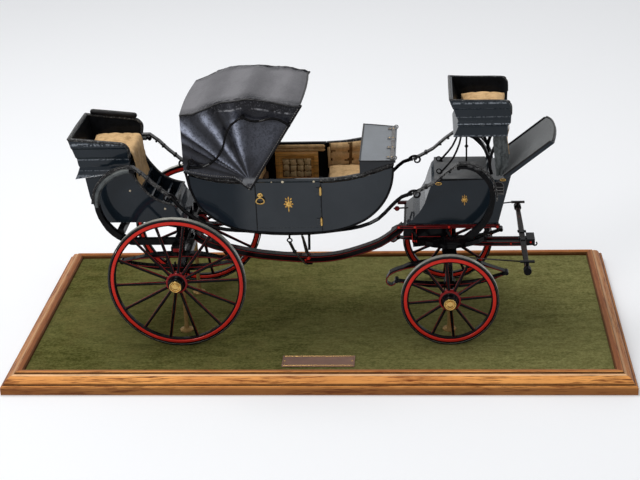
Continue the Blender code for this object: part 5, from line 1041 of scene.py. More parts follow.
def smooth_path(points, per_span):
    """Catmull-Rom curve through points of any dimension."""
    padded = [points[0], *points, points[-1]]
    path = []
    for i in range(1, len(padded) - 2):
        p0, p1, p2, p3 = padded[i - 1:i + 3]
        for k in range(per_span):
            t = k / per_span
            axes = zip(p0, p1, p2, p3)
            path.append(tuple(0.5 * (2 * b + (c - a) * t + (2 * a - 5 * b + 4 * c - d) * t * t
                                     + (3 * b - a - 3 * c + d) * t ** 3) for a, b, c, d in axes))
    path.append(tuple(points[-1]))
    return path


def offset_path(path, distance):
    """A flat path moved sideways, to its left where the distance is positive."""
    moved = []
    for i, (u, v) in enumerate(path):
        before = path[max(i - 1, 0)]
        after = path[min(i + 1, len(path) - 1)]
        span = math.dist(before, after)
        moved.append((u - (after[1] - before[1]) / span * distance,
                      v + (after[0] - before[0]) / span * distance))
    return moved


def in_plane(path, y):
    return [(x, y, z) for x, z in path]


def spaced(points, pitch):
    """Places at even distances along a 3D path, each with its direction."""
    found = []
    carried = pitch / 2
    for a, b in zip(points, points[1:]):
        a = Vector(a)
        step = Vector(b) - a
        while carried < step.length:
            found.append((a + step * (carried / step.length), step.normalized()))
            carried += pitch
        carried -= step.length
    return found


def round_section(radius, sides=8, flat=1.0):
    return [(radius * math.cos(2 * math.pi * k / sides), radius * flat * math.sin(2 * math.pi * k / sides))
            for k in range(sides)]


def strap_section(width, thickness):
    """Flat strap with softened edges: width lies along the sweep's across vector."""
    w = width / 2
    t = thickness / 2
    c = min(w, t) * 0.6
    return [(w, -t + c), (w, t - c), (w - c, t), (c - w, t), (-w, t - c), (-w, c - t), (c - w, -t),
            (w - c, -t)]


def sweep(bm, points, section, closed=False, across=None, scales=None, mark=0):
    """Sweep a closed section along points. Across is the direction of the section's first number."""
    points = [Vector(p) for p in points]
    count = len(points)
    side = Vector(across).normalized() if across else None
    rings = []
    for i, point in enumerate(points):
        before = points[i - 1] if closed or i else point
        after = points[(i + 1) % count] if closed or i < count - 1 else point
        run = (after - before).normalized()
        if side is None:
            helper = Vector((0, 1, 0)) if abs(run.y) < 0.9 else Vector((1, 0, 0))
            side = run.cross(helper).normalized()
        u = (side - run * side.dot(run)).normalized()
        if across is None:
            side = u
        v = run.cross(u)
        size = scales[i] if scales else 1.0
        rings.append([bm.verts.new(point + (u * a + v * b) * size) for a, b in section])
    sides = len(section)
    for low, high in zip(rings, rings[1:] + (rings[:1] if closed else [])):
        for k in range(sides):
            n = (k + 1) % sides
            face = bm.faces.new((low[k], low[n], high[n], high[k]))
            face.material_index = mark
    if not closed:
        for ring in (rings[0][::-1], rings[-1]):
            bm.faces.new(ring).material_index = mark


def rod(bm, points, radius, sides, **more):
    sweep(bm, points, round_section(radius, sides), **more)


def strap(bm, points, width, thickness, across, **more):
    sweep(bm, points, strap_section(width, thickness), across=across, **more)


def turn(bm, profile, matrix, segments, marks=None, loop=False):
    """Turn a profile of (radius, height) about the matrix's Z axis."""
    rings = []
    for radius, height in profile:
        if radius < 1e-7:
            rings.append([bm.verts.new(matrix @ Vector((0, 0, height)))])
        else:
            circle = [2 * math.pi * k / segments for k in range(segments)]
            rings.append([bm.verts.new(matrix @ Vector((radius * math.cos(a), radius * math.sin(a), height)))
                          for a in circle])
    for index, (low, high) in enumerate(zip(rings, rings[1:] + (rings[:1] if loop else []))):
        for k in range(segments):
            n = k + 1
            corners = []
            for vert in (low[k % len(low)], low[n % len(low)], high[n % len(high)], high[k % len(high)]):
                if vert not in corners:
                    corners.append(vert)
            if len(corners) > 2:
                bm.faces.new(corners).material_index = marks[index] if marks else 0


def facing(centre, normal):
    """Matrix at a place whose Z axis is the normal."""
    turned = Vector((0, 0, 1)).rotation_difference(Vector(normal))
    return Matrix.Translation(centre) @ turned.to_matrix().to_4x4()


def stud(bm, centre, normal, radius, height=None):
    """Domed nail head."""
    h = radius * 0.6 if height is None else height
    profile = ((radius * 0.9, -radius * 0.3), (radius, 0), (radius * 0.85, h * 0.55),
               (radius * 0.45, h * 0.92), (0, h))
    turn(bm, profile, facing(centre, normal), 10)


def side_block(bm, side, x, y, z, chamfer=0.0003):
    """Box with broken edges, given by its spans; y is measured outwards on one side."""
    low, high = sorted((side * y[0], side * y[1]))
    block(bm, (x[0], low, z[0]), (x[1], high, z[1]), chamfer)


def bolt(bm, centre, normal, size):
    """Hexagonal nut with a rounded bolt end."""
    profile = ((size, -size * 0.4), (size, size * 0.55), (size * 0.86, size * 0.7), (size * 0.5, size * 0.7),
               (size * 0.45, size * 1.1), (0, size * 1.2))
    turn(bm, profile, facing(centre, normal), 6)


def block(bm, low, high, chamfer=0.0003, matrix=None):
    """Box with broken edges."""
    size = [b - a for a, b in zip(low, high)]
    place = Matrix.Translation([(a + b) / 2 for a, b in zip(low, high)]) @ Matrix.Diagonal((*size, 1))
    made = bmesh.ops.create_cube(bm, size=1.0, matrix=(matrix or Matrix.Identity(4)) @ place)
    edges = list({edge for vert in made["verts"] for edge in vert.link_edges})
    bmesh.ops.bevel(bm, geom=edges, offset=min(chamfer, min(size) * 0.4), segments=1, affect="EDGES")


def ring_points(centre, radius, steps, squash=1.0):
    """Closed ring of points in an upright plane that faces sideways."""
    points = []
    for k in range(steps):
        a = 2 * math.pi * k / steps
        u = radius * math.cos(a)
        v = radius * squash * math.sin(a)
        points.append(Vector(centre) + Vector((u, 0, v)))
    return points


def stitches(bm, points, pitch, size, lift, mark=0):
    """Row of short raised stitches along a path, each lifted off along a vector."""
    for place, run in spaced(points, pitch):
        start = place - run * pitch * 0.3 + Vector(lift)
        end = place + run * pitch * 0.3 + Vector(lift)
        middle = (start + end) / 2 + Vector(lift) * 0.6
        rod(bm, [start, middle, end], size, 4, scales=(0.5, 1.0, 0.5), mark=mark)


def as_mesh(name, bm):
    mesh = bpy.data.meshes.new(name)
    bm.to_mesh(mesh)
    bm.free()
    return mesh


def add_object(name, data):
    obj = bpy.data.objects.new(name, data)
    bpy.context.scene.collection.objects.link(obj)
    return obj


SOFT = 60  # degrees up to which the edges of padded pieces are smooth


def piece(name, bm, finishes, body, slot=None, sharp=38):
    """Turn built faces into a piece that rides on a body."""
    bmesh.ops.recalc_face_normals(bm, faces=bm.faces)
    return mesh_piece(name, as_mesh(name, bm), finishes, body, slot, sharp)


def mesh_piece(name, mesh, finishes, body, slot=None, sharp=38):
    for finish_name in [finishes] if isinstance(finishes, str) else finishes:
        mesh.materials.append(finish(finish_name))
    mesh.shade_smooth()
    mesh.set_sharp_from_angle(angle=math.radians(sharp))
    obj = add_object(name, mesh)
    if body:
        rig.ride(obj, body)
    if slot:
        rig.slot(obj, slot)
    return obj


def applied(obj):
    """The mesh that an object with modifiers evaluates to; the object is removed."""
    bpy.context.view_layer.update()
    mesh = bpy.data.meshes.new_from_object(obj.evaluated_get(bpy.context.evaluated_depsgraph_get()))
    bpy.data.objects.remove(obj)
    return mesh


def thickened(name, bm, finishes=(), **settings):
    """Mesh of an open sheet that is given its thickness."""
    obj = add_object(name, as_mesh(name, bm))
    for finish_name in finishes:
        obj.data.materials.append(finish(finish_name))
    skin = obj.modifiers.new("thickness", "SOLIDIFY")
    for key, value in settings.items():
        setattr(skin, key, value)
    return applied(obj)


def sheet_faces(bm, rows):
    """Faces between the rows of a grid of corners."""
    for a, b in zip(rows, rows[1:]):
        for k in range(len(a) - 1):
            bm.faces.new((a[k], b[k], b[k + 1], a[k + 1]))


def dress(finish_name, *names):
    """Give solids of the frame their finish."""
    for name in names:
        for slot in NODES[name].material_slots:
            slot.material = finish(finish_name)


def both(name):
    return name + "_left", name + "_right"


def body_half_width(x):
    if x < BODY_STRAIGHT[0]:
        t = (BODY_STRAIGHT[0] - x) / (BODY_STRAIGHT[0] - BODY_BOTTOM[0][0])
    elif x > BODY_STRAIGHT[1]:
        t = (x - BODY_STRAIGHT[1]) / (BODY_BOTTOM[-1][0] - BODY_STRAIGHT[1])
    else:
        t = 0.0
    return lerp(BODY_HALF_WIDTH, BODY_END_HALF_WIDTH, t * t)


def rail_centre(x, side):
    return (x, side * (body_half_width(x) - BODY_WALL / 2), at_x(BODY_TOP, x) + RAIL_RADIUS + RAIL_LIFT)


# Stage


class CarriageOperator(bpy.types.Operator):
    """Shared base: each step of the making either finishes or raises an error."""

    bl_options = {"REGISTER", "UNDO"}

    def execute(self, context):
        self.make(context.scene.carriage)
        return {"FINISHED"}


CAMERA_PLACE = (0.12644, -1.54238, 0.78162)
CAMERA_TURN = (23.526, -4.7315, 2.355)  # degrees downwards, to the right and about the view
FLOOR_Z = -0.0002
LAMP_TARGET = (0, 0, 0.12)


class CARRIAGE_OT_stage(CarriageOperator):
    """Floor, room light, lamps and the camera"""

    bl_idname = "carriage.stage"
    bl_label = "Stage"

    def make(self, settings):
        stage = settings.stage
        bm = bmesh.new()
        bmesh.ops.create_grid(bm, x_segments=1, y_segments=1, size=6.0)
        floor = add_object("floor", as_mesh("floor", bm))
        floor.location = (0, 0, FLOOR_Z)
        paper = Surface("floor_paper")
        paper.feed("Roughness", 0.75)
        paper.feed("Base Color", tuple(stage.floor))
        paper.feed("Emission Color", (1.0, 1.0, 1.0))
        paper.feed("Emission Strength", output(paper.tree, "ShaderNodeLightPath", "Is Camera Ray") * 0.14)
        floor.data.materials.append(paper.material)
        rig.stage(floor)

        world = bpy.data.worlds.new("room")
        bpy.context.scene.world = world
        world.use_nodes = True
        tree = world.node_tree
        light = tree.nodes["Background"]
        light.inputs["Color"].default_value = (0.96, 0.98, 1.0, 1)
        light.inputs["Strength"].default_value = stage.sky
        seen = output(tree, "ShaderNodeBackground", 0, {"Color": (0.90, 0.91, 0.925, 1), "Strength": 1.0})
        rays = node(tree, "ShaderNodeLightPath").outputs
        direct, glossy, passed = (Value(rays["Is " + kind + " Ray"]) for kind in
                                  ("Camera", "Glossy", "Transmission"))
        direct = direct.math("MAXIMUM", glossy).math("MAXIMUM", passed)
        mixed = node(tree, "ShaderNodeMixShader", {0: direct, 1: Value(light.outputs[0]), 2: seen})
        tree.links.new(mixed.outputs[0], tree.nodes["World Output"].inputs["Surface"])

        for name, power, size, place in (("top_lamp", stage.top_lamp, 1.0, (-0.5, 0.35, 2.0)),
                                         ("fill_lamp", stage.fill_lamp, 0.6, (-1.2, -1.7, 1.5))):
            data = bpy.data.lights.new(name, "AREA")
            data.energy = power
            data.size = size
            lamp = add_object(name, data)
            lamp.location = place
            lamp.rotation_euler = (Vector(LAMP_TARGET) - Vector(place)).to_track_quat("-Z", "Y").to_euler()

        data = bpy.data.cameras.new("camera")
        data.lens = stage.lens
        data.sensor_width = 36.0
        camera = add_object("camera", data)
        pitch, yaw, roll = (math.radians(angle) for angle in CAMERA_TURN)
        ahead = Vector((math.sin(yaw) * math.cos(pitch), math.cos(yaw) * math.cos(pitch), -math.sin(pitch)))
        right = Vector((math.cos(yaw), -math.sin(yaw), 0))
        down = ahead.cross(right)
        level = right * math.cos(roll) + down * math.sin(roll)
        drop = down * math.cos(roll) - right * math.sin(roll)
        turned = Matrix((level, -drop, -ahead)).transposed().to_4x4()
        camera.matrix_world = Matrix.Translation(CAMERA_PLACE) @ turned
        bpy.context.scene.camera = camera
        bpy.context.scene.view_settings.view_transform = "Standard"


# Plinth and wheels


class CARRIAGE_OT_plinth(CarriageOperator):
    """Baize board, oak moulding, name plate and its screws"""

    bl_idname = "carriage.plinth"
    bl_label = "Plinth"

    def make(self, settings):
        dress("baize", "plinth_board")
        dress("oak", "plinth_moulding")
        dress("copper_plate", "name_plate")
        low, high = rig.box("name_plate")
        bm = bmesh.new()
        for x in (low.x + 0.0030, high.x - 0.0030):
            centre = Vector((x, (low.y + high.y) / 2, high.z))
            stud(bm, centre, (0, 0, 1), 0.0011, 0.0004)
        inset = 0.0018
        border = [(low.x + inset, low.y + inset), (high.x - inset, low.y + inset),
                  (high.x - inset, high.y - inset), (low.x + inset, high.y - inset)]
        rod(bm, [(x, y, high.z) for x, y in border], 0.00028, 6, closed=True)
        piece("name_plate_screws", bm, "brass", "carriage", "brass")


class CARRIAGE_OT_wheels(CarriageOperator):
    """Felloes, spokes, naves and hub caps of the four wheels"""

    bl_idname = "carriage.wheels"
    bl_label = "Wheels"

    def make(self, settings):
        for end, (x, z), radius, spokes, phase in (("rear", REAR_AXLE, 0.0788, 14, 2.5),
                                                   ("front", FRONT_AXLE, 0.0551, 12, 5.0)):
            for side_name, side in SIDES.items():
                self.wheel(end + "_wheel_" + side_name, "wheel_" + end + "_" + side_name,
                           (x, side * HALF_TRACK, z), side, radius, spokes, math.radians(phase))
                dress("wheel_tread", end + "_tyre_" + side_name)

    def wheel(self, name, body, centre, side, radius, spokes, phase):
        """One wheel about its axle, with its outer face away from the body."""
        place = Matrix.Translation(centre) @ Matrix.Rotation(-side * math.pi / 2, 4, "X")
        rim = radius - TYRE_DEPTH
        self.felloe(name, body, place, rim)
        self.spokes(name, body, place, rim, [phase + 2 * math.pi * k / spokes for k in range(spokes)])
        self.nave(name, body, place)

    def felloe(self, name, body, place, rim):
        """Rim of the wheel: its faces are black where the third number is 1, and tilted between."""
        face = ((0.0, 0.0025, 1), (0.0005, 0.0029, 1), (0.0015, 0.0029, 1), (0.0016, 0.0027, 0),
                (0.0032, 0.0035, 0), (0.0046, 0.0038, 0), (0.0052, 0.0034, 0), (0.0053, 0.0029, 1),
                (0.0063, 0.0027, 1), (0.0069, 0.0020, 1))
        profile = [(rim - depth, h) for depth, h, mark in face] + [(rim - d, -h) for d, h, mark in face[::-1]]
        marks = ([mark for d, h, mark in face[:-1]] + [1] + [mark for d, h, mark in face[:-1][::-1]] + [1])
        bm = bmesh.new()
        turn(bm, profile, place, 96, marks, loop=True)
        felloe = piece(name + "_felloe", bm, ("red_paint", "painted_iron"), body, "wheel_paint")
        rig.replaces(felloe, name)

    def spokes(self, name, body, place, rim, angles):
        """Oval, tapered spokes, black with a red line down each shoulder."""
        bm = bmesh.new()
        sides = 16
        section = [(math.cos(2 * math.pi * (k + 0.5) / sides), math.sin(2 * math.pi * (k + 0.5) / sides))
                   for k in range(sides)]
        marks = [1 if (k + 1) % 8 in (1, 7) else 0 for k in range(sides)]
        run = ((0.0085, 0.0021, 0.0024), (0.0125, 0.0020, 0.0026), (0.0150, 0.0017, 0.0021),
               (0.45, 0.0019, 0.0019), (0.85, 0.0016, 0.0015), (0.97, 0.0018, 0.0016), (1.0, 0.0022, 0.0019))
        for angle in angles:
            turn_spoke = place @ Matrix.Rotation(angle, 4, "Z")
            rings = []
            for where, wide, deep in run:
                r = where if where < 0.02 else lerp(0.0150, rim - 0.0064, (where - 0.2) / 0.8)
                rings.append([bm.verts.new(turn_spoke @ Vector((r, wide * u, deep * v))) for u, v in section])
            for low, high in zip(rings, rings[1:]):
                for i in range(sides):
                    n = (i + 1) % sides
                    bm.faces.new((low[i], low[n], high[n], high[i])).material_index = marks[i]
            bm.faces.new(rings[0][::-1])
            bm.faces.new(rings[-1])
        piece(name + "_spokes", bm, ("painted_iron", "red_lining"), body, "wheel_paint")

    def nave(self, name, body, place):
        """Nave and hub cap, turned from profiles of radius and height in millimetres."""
        bm = bmesh.new()
        nave = ((6.9, 11.2, 0), (8.0, 11.0, 0), (8.6, 10.2, 0), (8.9, 7.4, 0), (9.1, 5.2, 0), (9.7, 4.4, 0),
                (10.3, 3.7, 1), (11.9, 3.4, 1), (12.4, 2.6, 1), (12.4, -2.6, 1), (11.9, -3.4, 1),
                (10.3, -3.7, 0), (9.4, -4.6, 0), (8.6, -7.0, 0), (7.6, -8.0, 0), (7.4, -12.6, 0),
                (7.0, -13.0, 0), (3.6, -13.0, 0), (3.6, 11.3, 0), (0, 11.3, 0))
        turn(bm, [(r / 1000, h / 1000) for r, h, mark in nave], place, 32, [mark for r, h, mark in nave])
        piece(name + "_nave", bm, ("painted_iron", "red_lining"), body, "wheel_paint")

        bm = bmesh.new()
        cap = ((6.75, 10.9), (6.95, 11.3), (6.95, 13.0), (6.70, 13.6), (6.1, 13.8), (5.5, 13.5), (5.1, 12.4),
               (3.8, 12.2), (3.6, 12.9), (2.5, 13.3), (1.2, 13.35), (0, 13.2))
        turn(bm, [(r / 1000, h / 1000) for r, h in cap], place, 32)
        for k in range(6):
            angle = math.pi * k / 3
            spot = place @ Vector((0.0045 * math.cos(angle), 0.0045 * math.sin(angle), 0.0123))
            stud(bm, spot, place.to_3x3() @ Vector((0, 0, 1)), 0.0007)
        piece(name + "_cap", bm, "brass", body, "brass")


# Running gear


def lining(bm, path, y, width):
    """Thin painted line on a flat side at y."""
    strap(bm, in_plane(path, y), 2 * HAIR, width, (0, 1, 0))


def spring_paths(x, rear, front, bottom, top, rear_scroll):
    """Outer lines of the two stacks of an elliptic spring, as on the solid."""
    stack = 0.0045
    middle = (bottom + top) / 2
    upper_z = top - stack
    lower_z = bottom + stack
    front_eye = (x + front, middle)
    rear_eye = (x - rear, middle)
    upper = [front_eye, (x + front * 0.55, lerp(middle, upper_z, 0.72)), (x, upper_z),
             (x - rear * 0.60, lerp(middle, upper_z, 0.66))]
    if rear_scroll:
        rear_eye = (x - rear, middle - 0.0090)
        upper += [(x - rear * 0.97, middle + 0.0030), (x - rear * 1.14, middle - 0.0030),
                  (x - rear * 1.18, middle - 0.0100), (x - rear * 1.10, middle - 0.0140), rear_eye]
    else:
        upper += [rear_eye]
    lower = [rear_eye, (x - rear * 0.55, lerp(rear_eye[1], lower_z, 0.72)), (x, lower_z),
             (x + front * 0.55, lerp(middle, lower_z, 0.72)), front_eye]
    return smooth_path(upper, 4), smooth_path(lower, 4)


class CARRIAGE_OT_running_gear(CarriageOperator):
    """Axles, springs, beds and perch with their red lining, clips and bolts"""

    bl_idname = "carriage.running_gear"
    bl_label = "Running gear"

    def make(self, settings):
        width = settings.detail.lining_width
        dress("painted_iron", "rear_axle", "front_axle", *both("rear_spring"), *both("front_spring"),
              "rear_bed", "perch", "fore_transom", "turning_bed", "futchells", *both("loop_iron"))
        self.spring_trim("rear", "carriage", spring_paths(REAR_AXLE[0], 0.066, 0.066, 0.0999, 0.1215, False),
                         REAR_AXLE, width)
        self.spring_trim("front", "fore_carriage",
                         spring_paths(FRONT_AXLE[0], 0.060, 0.064, 0.0762, 0.1114, True), FRONT_AXLE, width)
        self.perch_lines(width)
        self.beds()

    def perch_lines(self, width):
        """Two red lines on each cheek of the perch and one on top."""
        bm = bmesh.new()
        path = smooth_path(PERCH_LINE, 4)[1:-1]
        for side in SIDES.values():
            for shift in (0.0031, -0.0031):
                lining(bm, offset_path(path, shift), side * (0.0050 + HAIR), width)
        top = in_plane(offset_path(path, 0.0043 + HAIR), 0)
        strap(bm, top, width, 2 * HAIR, (0, 1, 0))
        piece("perch_lining", bm, "red_lining", "carriage", "wheel_paint")

    def beds(self):
        """Bolts of the beds and the red plates on the rear bed's ends."""
        bm = bmesh.new()
        for x, z in ((-0.1600, 0.1187), (0.1100, 0.1330)):
            for side in SIDES.values():
                bolt(bm, (x, side * (0.0560 if x < 0 else 0.0330), z), (0, side, 0), 0.0016)
        for side in SIDES.values():
            for x in (-0.1640, -0.1530):
                bolt(bm, (x, side * 0.0640, 0.1296), (0, 0, 1), 0.0013)
        piece("bed_bolts", bm, "painted_iron", "carriage", "black_iron")

        bm = bmesh.new()
        for side in SIDES.values():
            side_block(bm, side, (REAR_AXLE[0] - 0.0055, REAR_AXLE[0] + 0.0055),
                       (BED_HALF + HAIR, BED_HALF + HAIR + 0.0006), (0.1236, 0.1276))
        piece("rear_bed_lining", bm, "red_lining", "carriage", "wheel_paint")

    def spring_trim(self, end, body, paths, axle, width):
        """Red lines along both stacks of leaves and the clips that bind them to the axle."""
        bm = bmesh.new()
        clips = bmesh.new()
        for side in SIDES.values():
            for path in paths:
                for y in (SPRING_Y + 0.0040 + HAIR, SPRING_Y - 0.0040 - HAIR):
                    lining(bm, offset_path(path, -0.0008)[1:-1], side * y, width)
            for dx in (-0.0058, 0.0058):
                x = axle[0] + dx
                high = axle[1] + 0.0100
                reach = 0.0052
                loop = [(x, side * SPRING_Y + dy, z) for dy, z in
                        ((-reach, axle[1] - 0.0062), (-reach, high), (-reach * 0.6, high + 0.0024),
                         (reach * 0.6, high + 0.0024), (reach, high), (reach, axle[1] - 0.0062))]
                rod(clips, smooth_path(loop, 2), 0.0007, 6)
                for dy in (-reach, reach):
                    bolt(clips, (x, side * SPRING_Y + dy, axle[1] - 0.0058), (0, 0, -1), 0.0012)
            block(clips, (axle[0] - 0.0075, side * SPRING_Y - 0.0066, axle[1] - 0.0058),
                  (axle[0] + 0.0075, side * SPRING_Y + 0.0066, axle[1] - 0.0047), 0.0002)
        piece(end + "_spring_lining", bm, "red_lining", body, "wheel_paint")
        piece(end + "_spring_clips", clips, "painted_iron", body, "black_iron")


REAR_C_PATH = ((-0.2040, 0.2185), (-0.2130, 0.2190), (-0.2240, 0.2150), (-0.2360, 0.2070), (-0.2450, 0.1950),
               (-0.2485, 0.1800), (-0.2455, 0.1640), (-0.2375, 0.1500), (-0.2270, 0.1400))
FRONT_C_PATH = ((0.1600, 0.2185), (0.1690, 0.2185), (0.1800, 0.2140), (0.1900, 0.2050), (0.1960, 0.1930),
                (0.1975, 0.1790), (0.1940, 0.1640), (0.1870, 0.1510), (0.1770, 0.1400))
REAR_BRACE = ((-0.1630, 0.1860), (-0.1830, 0.2035), (-0.2040, 0.2226))
BRACE_CURL = ((-0.0060, -0.0030), (-0.0035, 0.0014), (0.0010, 0.0038), (0.0062, 0.0030), (0.0085, -0.0008),
              (0.0066, -0.0042), (0.0028, -0.0040), (0.0022, -0.0012), (0.0046, -0.0006))
FRONT_BRACE = ((0.1085, 0.1875), (0.1325, 0.2005), (0.1600, 0.2226))


class CARRIAGE_OT_suspension(CarriageOperator):
    """Leather braces with loops and stitches, scrolled hooks and the check straps"""

    bl_idname = "carriage.suspension"
    bl_label = "Suspension"

    def make(self, settings):
        dress("worn_leather", *both("rear_brace"), *both("front_brace"))
        pitch = settings.detail.stitch_pitch
        for end, line, lean in (("rear", REAR_BRACE, -1), ("front", FRONT_BRACE, 1)):
            bm = bmesh.new()
            thread = bmesh.new()
            irons = bmesh.new()
            for side in SIDES.values():
                y = side * BRACE_Y
                # Leather keepers round each brace and the buckle near its hook
                for where, size in ((0.30, 0.0030), (0.62, 0.0022), (0.80, 0.0022)):
                    x = lerp(line[0][0], line[2][0], where)
                    z = at_x(sorted(line), x)
                    slope = math.atan2(line[1][1] - line[0][1], line[1][0] - line[0][0])
                    tilt = Matrix.Translation((x, y, z)) @ Matrix.Rotation(-slope, 4, "Y")
                    block(bm, (-size / 2, -0.0040, -0.0018), (size / 2, 0.0040, 0.0018), 0.0005, matrix=tilt)
                    stud(bm, tilt @ Vector((0, 0, -0.0018)), tilt.to_3x3() @ Vector((0, 0, -1)), 0.0011,
                         0.0014)
                middle = smooth_path(line, 4)
                for dy in (-0.0024, 0.0024):
                    stitches(thread, in_plane(offset_path(middle, 0.0011 * -lean), y + dy), pitch, 0.00022,
                             (0, 0, 0.0002))
                # Scrolled iron hook that takes the brace
                hook = line[0]
                scroll = [(hook[0] + lean * dx, hook[1] + dz) for dx, dz in BRACE_CURL]
                rod(irons, in_plane(smooth_path(scroll, 3), y), 0.0012, 8, across=(0, 1, 0),
                    scales=[lerp(1.25, 0.7, k / 24) for k in range(25)])
            piece(end + "_brace_keepers", bm, "strap_leather", "carriage", "black_leather")
            piece(end + "_brace_stitches", thread, "pale_stitch", "carriage", "black_leather")
            piece(end + "_brace_scrolls", irons, "painted_iron", "carriage", "black_iron")
        self.leaf_lines()
        self.check_straps()

    def leaf_lines(self):
        """Edges of the separate leaves on the C springs."""
        bm = bmesh.new()
        for path in (REAR_C_PATH, FRONT_C_PATH):
            line = smooth_path(path, 4)
            for side in SIDES.values():
                for dy in (-0.0036 - HAIR, 0.0036 + HAIR):
                    for shift in (0.0, 0.0014, -0.0014):
                        first = 1 if shift == 0 else 14
                        lining(bm, offset_path(line, shift)[first:-2], side * BRACE_Y + dy, 0.0002)
        piece("c_spring_leaf_lines", bm, "painted_iron", "carriage", "black_iron")

        # Leather sleeves over the tops of the rear springs, where the braces bear
        bm = bmesh.new()
        covered = smooth_path(REAR_C_PATH, 4)[2:22]
        for side in SIDES.values():
            strap(bm, in_plane(covered, side * BRACE_Y), 0.0086, 0.0058, (0, 1, 0))
        piece("c_spring_sleeves", bm, "grey_leather", "carriage", "black_leather")

    def check_straps(self):
        """Straps from the loop irons to a bolted plate below the perch, which stop the body's swing."""
        irons = bmesh.new()
        straps = bmesh.new()
        red = bmesh.new()
        block(irons, (-0.0205, -0.0062, 0.0790), (-0.0105, 0.0062, 0.0806), 0.0004)
        for side in SIDES.values():
            y = side * BRACE_Y
            rod(irons, [(-0.0312, y, 0.1380), (-0.0312, y, 0.1345)], 0.0012, 6)
            rod(irons, ring_points((-0.0312, y, 0.1322), 0.0027, 16, 0.8), 0.0008, 6, closed=True)
            path = smooth_path([(-0.0312, y, 0.1300), (-0.0298, side * 0.0490, 0.1220),
                                (-0.0275, side * 0.0380, 0.1093), (-0.0240, side * 0.0270, 0.0975),
                                (-0.0214, side * 0.0190, 0.0900), (-0.0185, side * 0.0110, 0.0822),
                                (-0.0165, side * 0.0050, 0.0786)], 4)
            strap(straps, path[:10], 0.0036, 0.0012, (1, 0, 0))
            strap(straps, path[9:], 0.0020, 0.0009, (1, 0, 0))
            block(irons, (-0.0300, side * 0.0395 - 0.0012, 0.1095),
                  (-0.0255, side * 0.0395 + 0.0012, 0.1125), 0.0004)
            second = [(-0.0165, y, 0.1370), (-0.0160, side * 0.0300, 0.1150),
                      (-0.0150, side * 0.0075, 0.0920)]
            strap(straps, smooth_path(second, 4), 0.0030, 0.0010, (1, 0, 0))
            bolt(red, (-0.0150, side * 0.0062, 0.0872), (0, side, 0), 0.0021)
            bolt(red, (-0.0186, side * 0.0055, 0.0850), (0, side, 0), 0.0012)
        piece("check_strap_irons", irons, "painted_iron", "carriage", "black_iron")
        piece("check_straps", straps, "worn_leather", "carriage", "black_leather")
        piece("perch_red_bolts", red, "red_paint", "carriage", "wheel_paint")


# Body


class CARRIAGE_OT_body(CarriageOperator):
    """Varnished body with its lower bead, leather rails and bone studs"""

    bl_idname = "carriage.body"
    bl_label = "Body"

    def make(self, settings):
        dress("body_paint", "body_shell", *both("door"))
        dress("worn_leather", "rail_rear", "rail_front")
        dress("plain_wood", "seat_benches")
        bead = settings.detail.bead_radius
        bm = bmesh.new()
        outline = smooth_path(BODY_BOTTOM, 3)
        for side in SIDES.values():
            points = [(x, side * (body_half_width(x) + bead * 0.35), z + bead * 0.2) for x, z in outline]
            rod(bm, points, bead, 8)
        piece("body_edge_bead", bm, "painted_iron", "carriage", "slate_paint")

        # Cover strips beside the door openings
        bm = bmesh.new()
        for side in SIDES.values():
            face = side * (BODY_HALF_WIDTH + HAIR)
            for x in (DOOR_X[0] - 0.0006, DOOR_X[1] + 0.0007):
                strap(bm, [(x, face, 0.1462), (x, face, 0.2028)], 0.0008, 0.0003, (1, 0, 0))
            for x in ((DOOR_X[1] - 0.0012, DOOR_X[1] + 0.0026), (DOOR_X[0] - 0.0026, DOOR_X[0] + 0.0012)):
                side_block(bm, side, x, (0.0578, 0.0587), (0.1470, 0.2030))
            side_block(bm, side, (DOOR_X[1] - 0.0016, DOOR_X[1] + 0.0030), (0.0562, 0.0574), (0.2000, 0.2092))
        piece("door_opening_strips", bm, "painted_iron", "carriage", "slate_paint")

        radius = settings.detail.stud_radius
        bm = bmesh.new()
        door_studs = {"left": bmesh.new(), "right": bmesh.new()}
        for side_name, side in SIDES.items():
            for x, size in ((-0.0477, 0.7), (-0.0352, 1.45), (-0.0004, 1.2)):
                cx, cy, cz = rail_centre(x, side)
                normal = Vector((0, side * 0.96, -0.28))
                stud(door_studs[side_name], Vector((cx, cy, cz)) + normal * RAIL_RADIUS, normal,
                     radius * size)
            for x in (-0.1180, -0.1000, 0.0200, 0.0420, 0.0640):
                cx, cy, cz = rail_centre(x, side)
                normal = Vector((0, side * 0.95, -0.3)).normalized()
                stud(bm, Vector((cx, cy, cz)) + normal * RAIL_RADIUS, normal, radius * 0.6)
        piece("rail_nails", bm, "painted_iron", "carriage", "black_leather")
        for side_name, built in door_studs.items():
            piece("door_rail_studs_" + side_name, built, "cream_bone", side_name + "_door")


def ornament(bm, centre, side, size):
    """Generic gilt rosette: a boss, eight petals, a small palmette above and a drop below."""
    place = facing(centre, (0, side, 0))
    up = place.to_3x3().inverted() @ Vector((0, 0, 1))
    up = Vector((up.x, up.y, 0)).normalized()
    across = Vector((-up.y, up.x, 0))

    def petal(angle, inner, outer, width):
        run = across * math.sin(angle) + up * math.cos(angle)
        path = [place @ (run * lerp(inner, outer, k / 4) * size + Vector((0, 0, 0.0003))) for k in range(5)]
        sweep(bm, path, round_section(width * size, 6, 0.5), scales=(0.5, 0.95, 1.1, 0.8, 0.25),
              across=place.to_3x3() @ Vector((run.y, -run.x, 0)))

    turn(bm, ((0.30 * size, -0.0001), (0.30 * size, 0.0006), (0.20 * size, 0.0009), (0.12 * size, 0.0007),
              (0, 0.0011)), place, 16)
    for k in range(8):
        petal(2 * math.pi * k / 8, 0.26, 0.56, 0.10)
    for angle in (-0.42, 0, 0.42):
        petal(angle, 0.55, 0.95 - abs(angle) * 0.25, 0.08)
    petal(math.pi, 0.55, 0.98, 0.07)


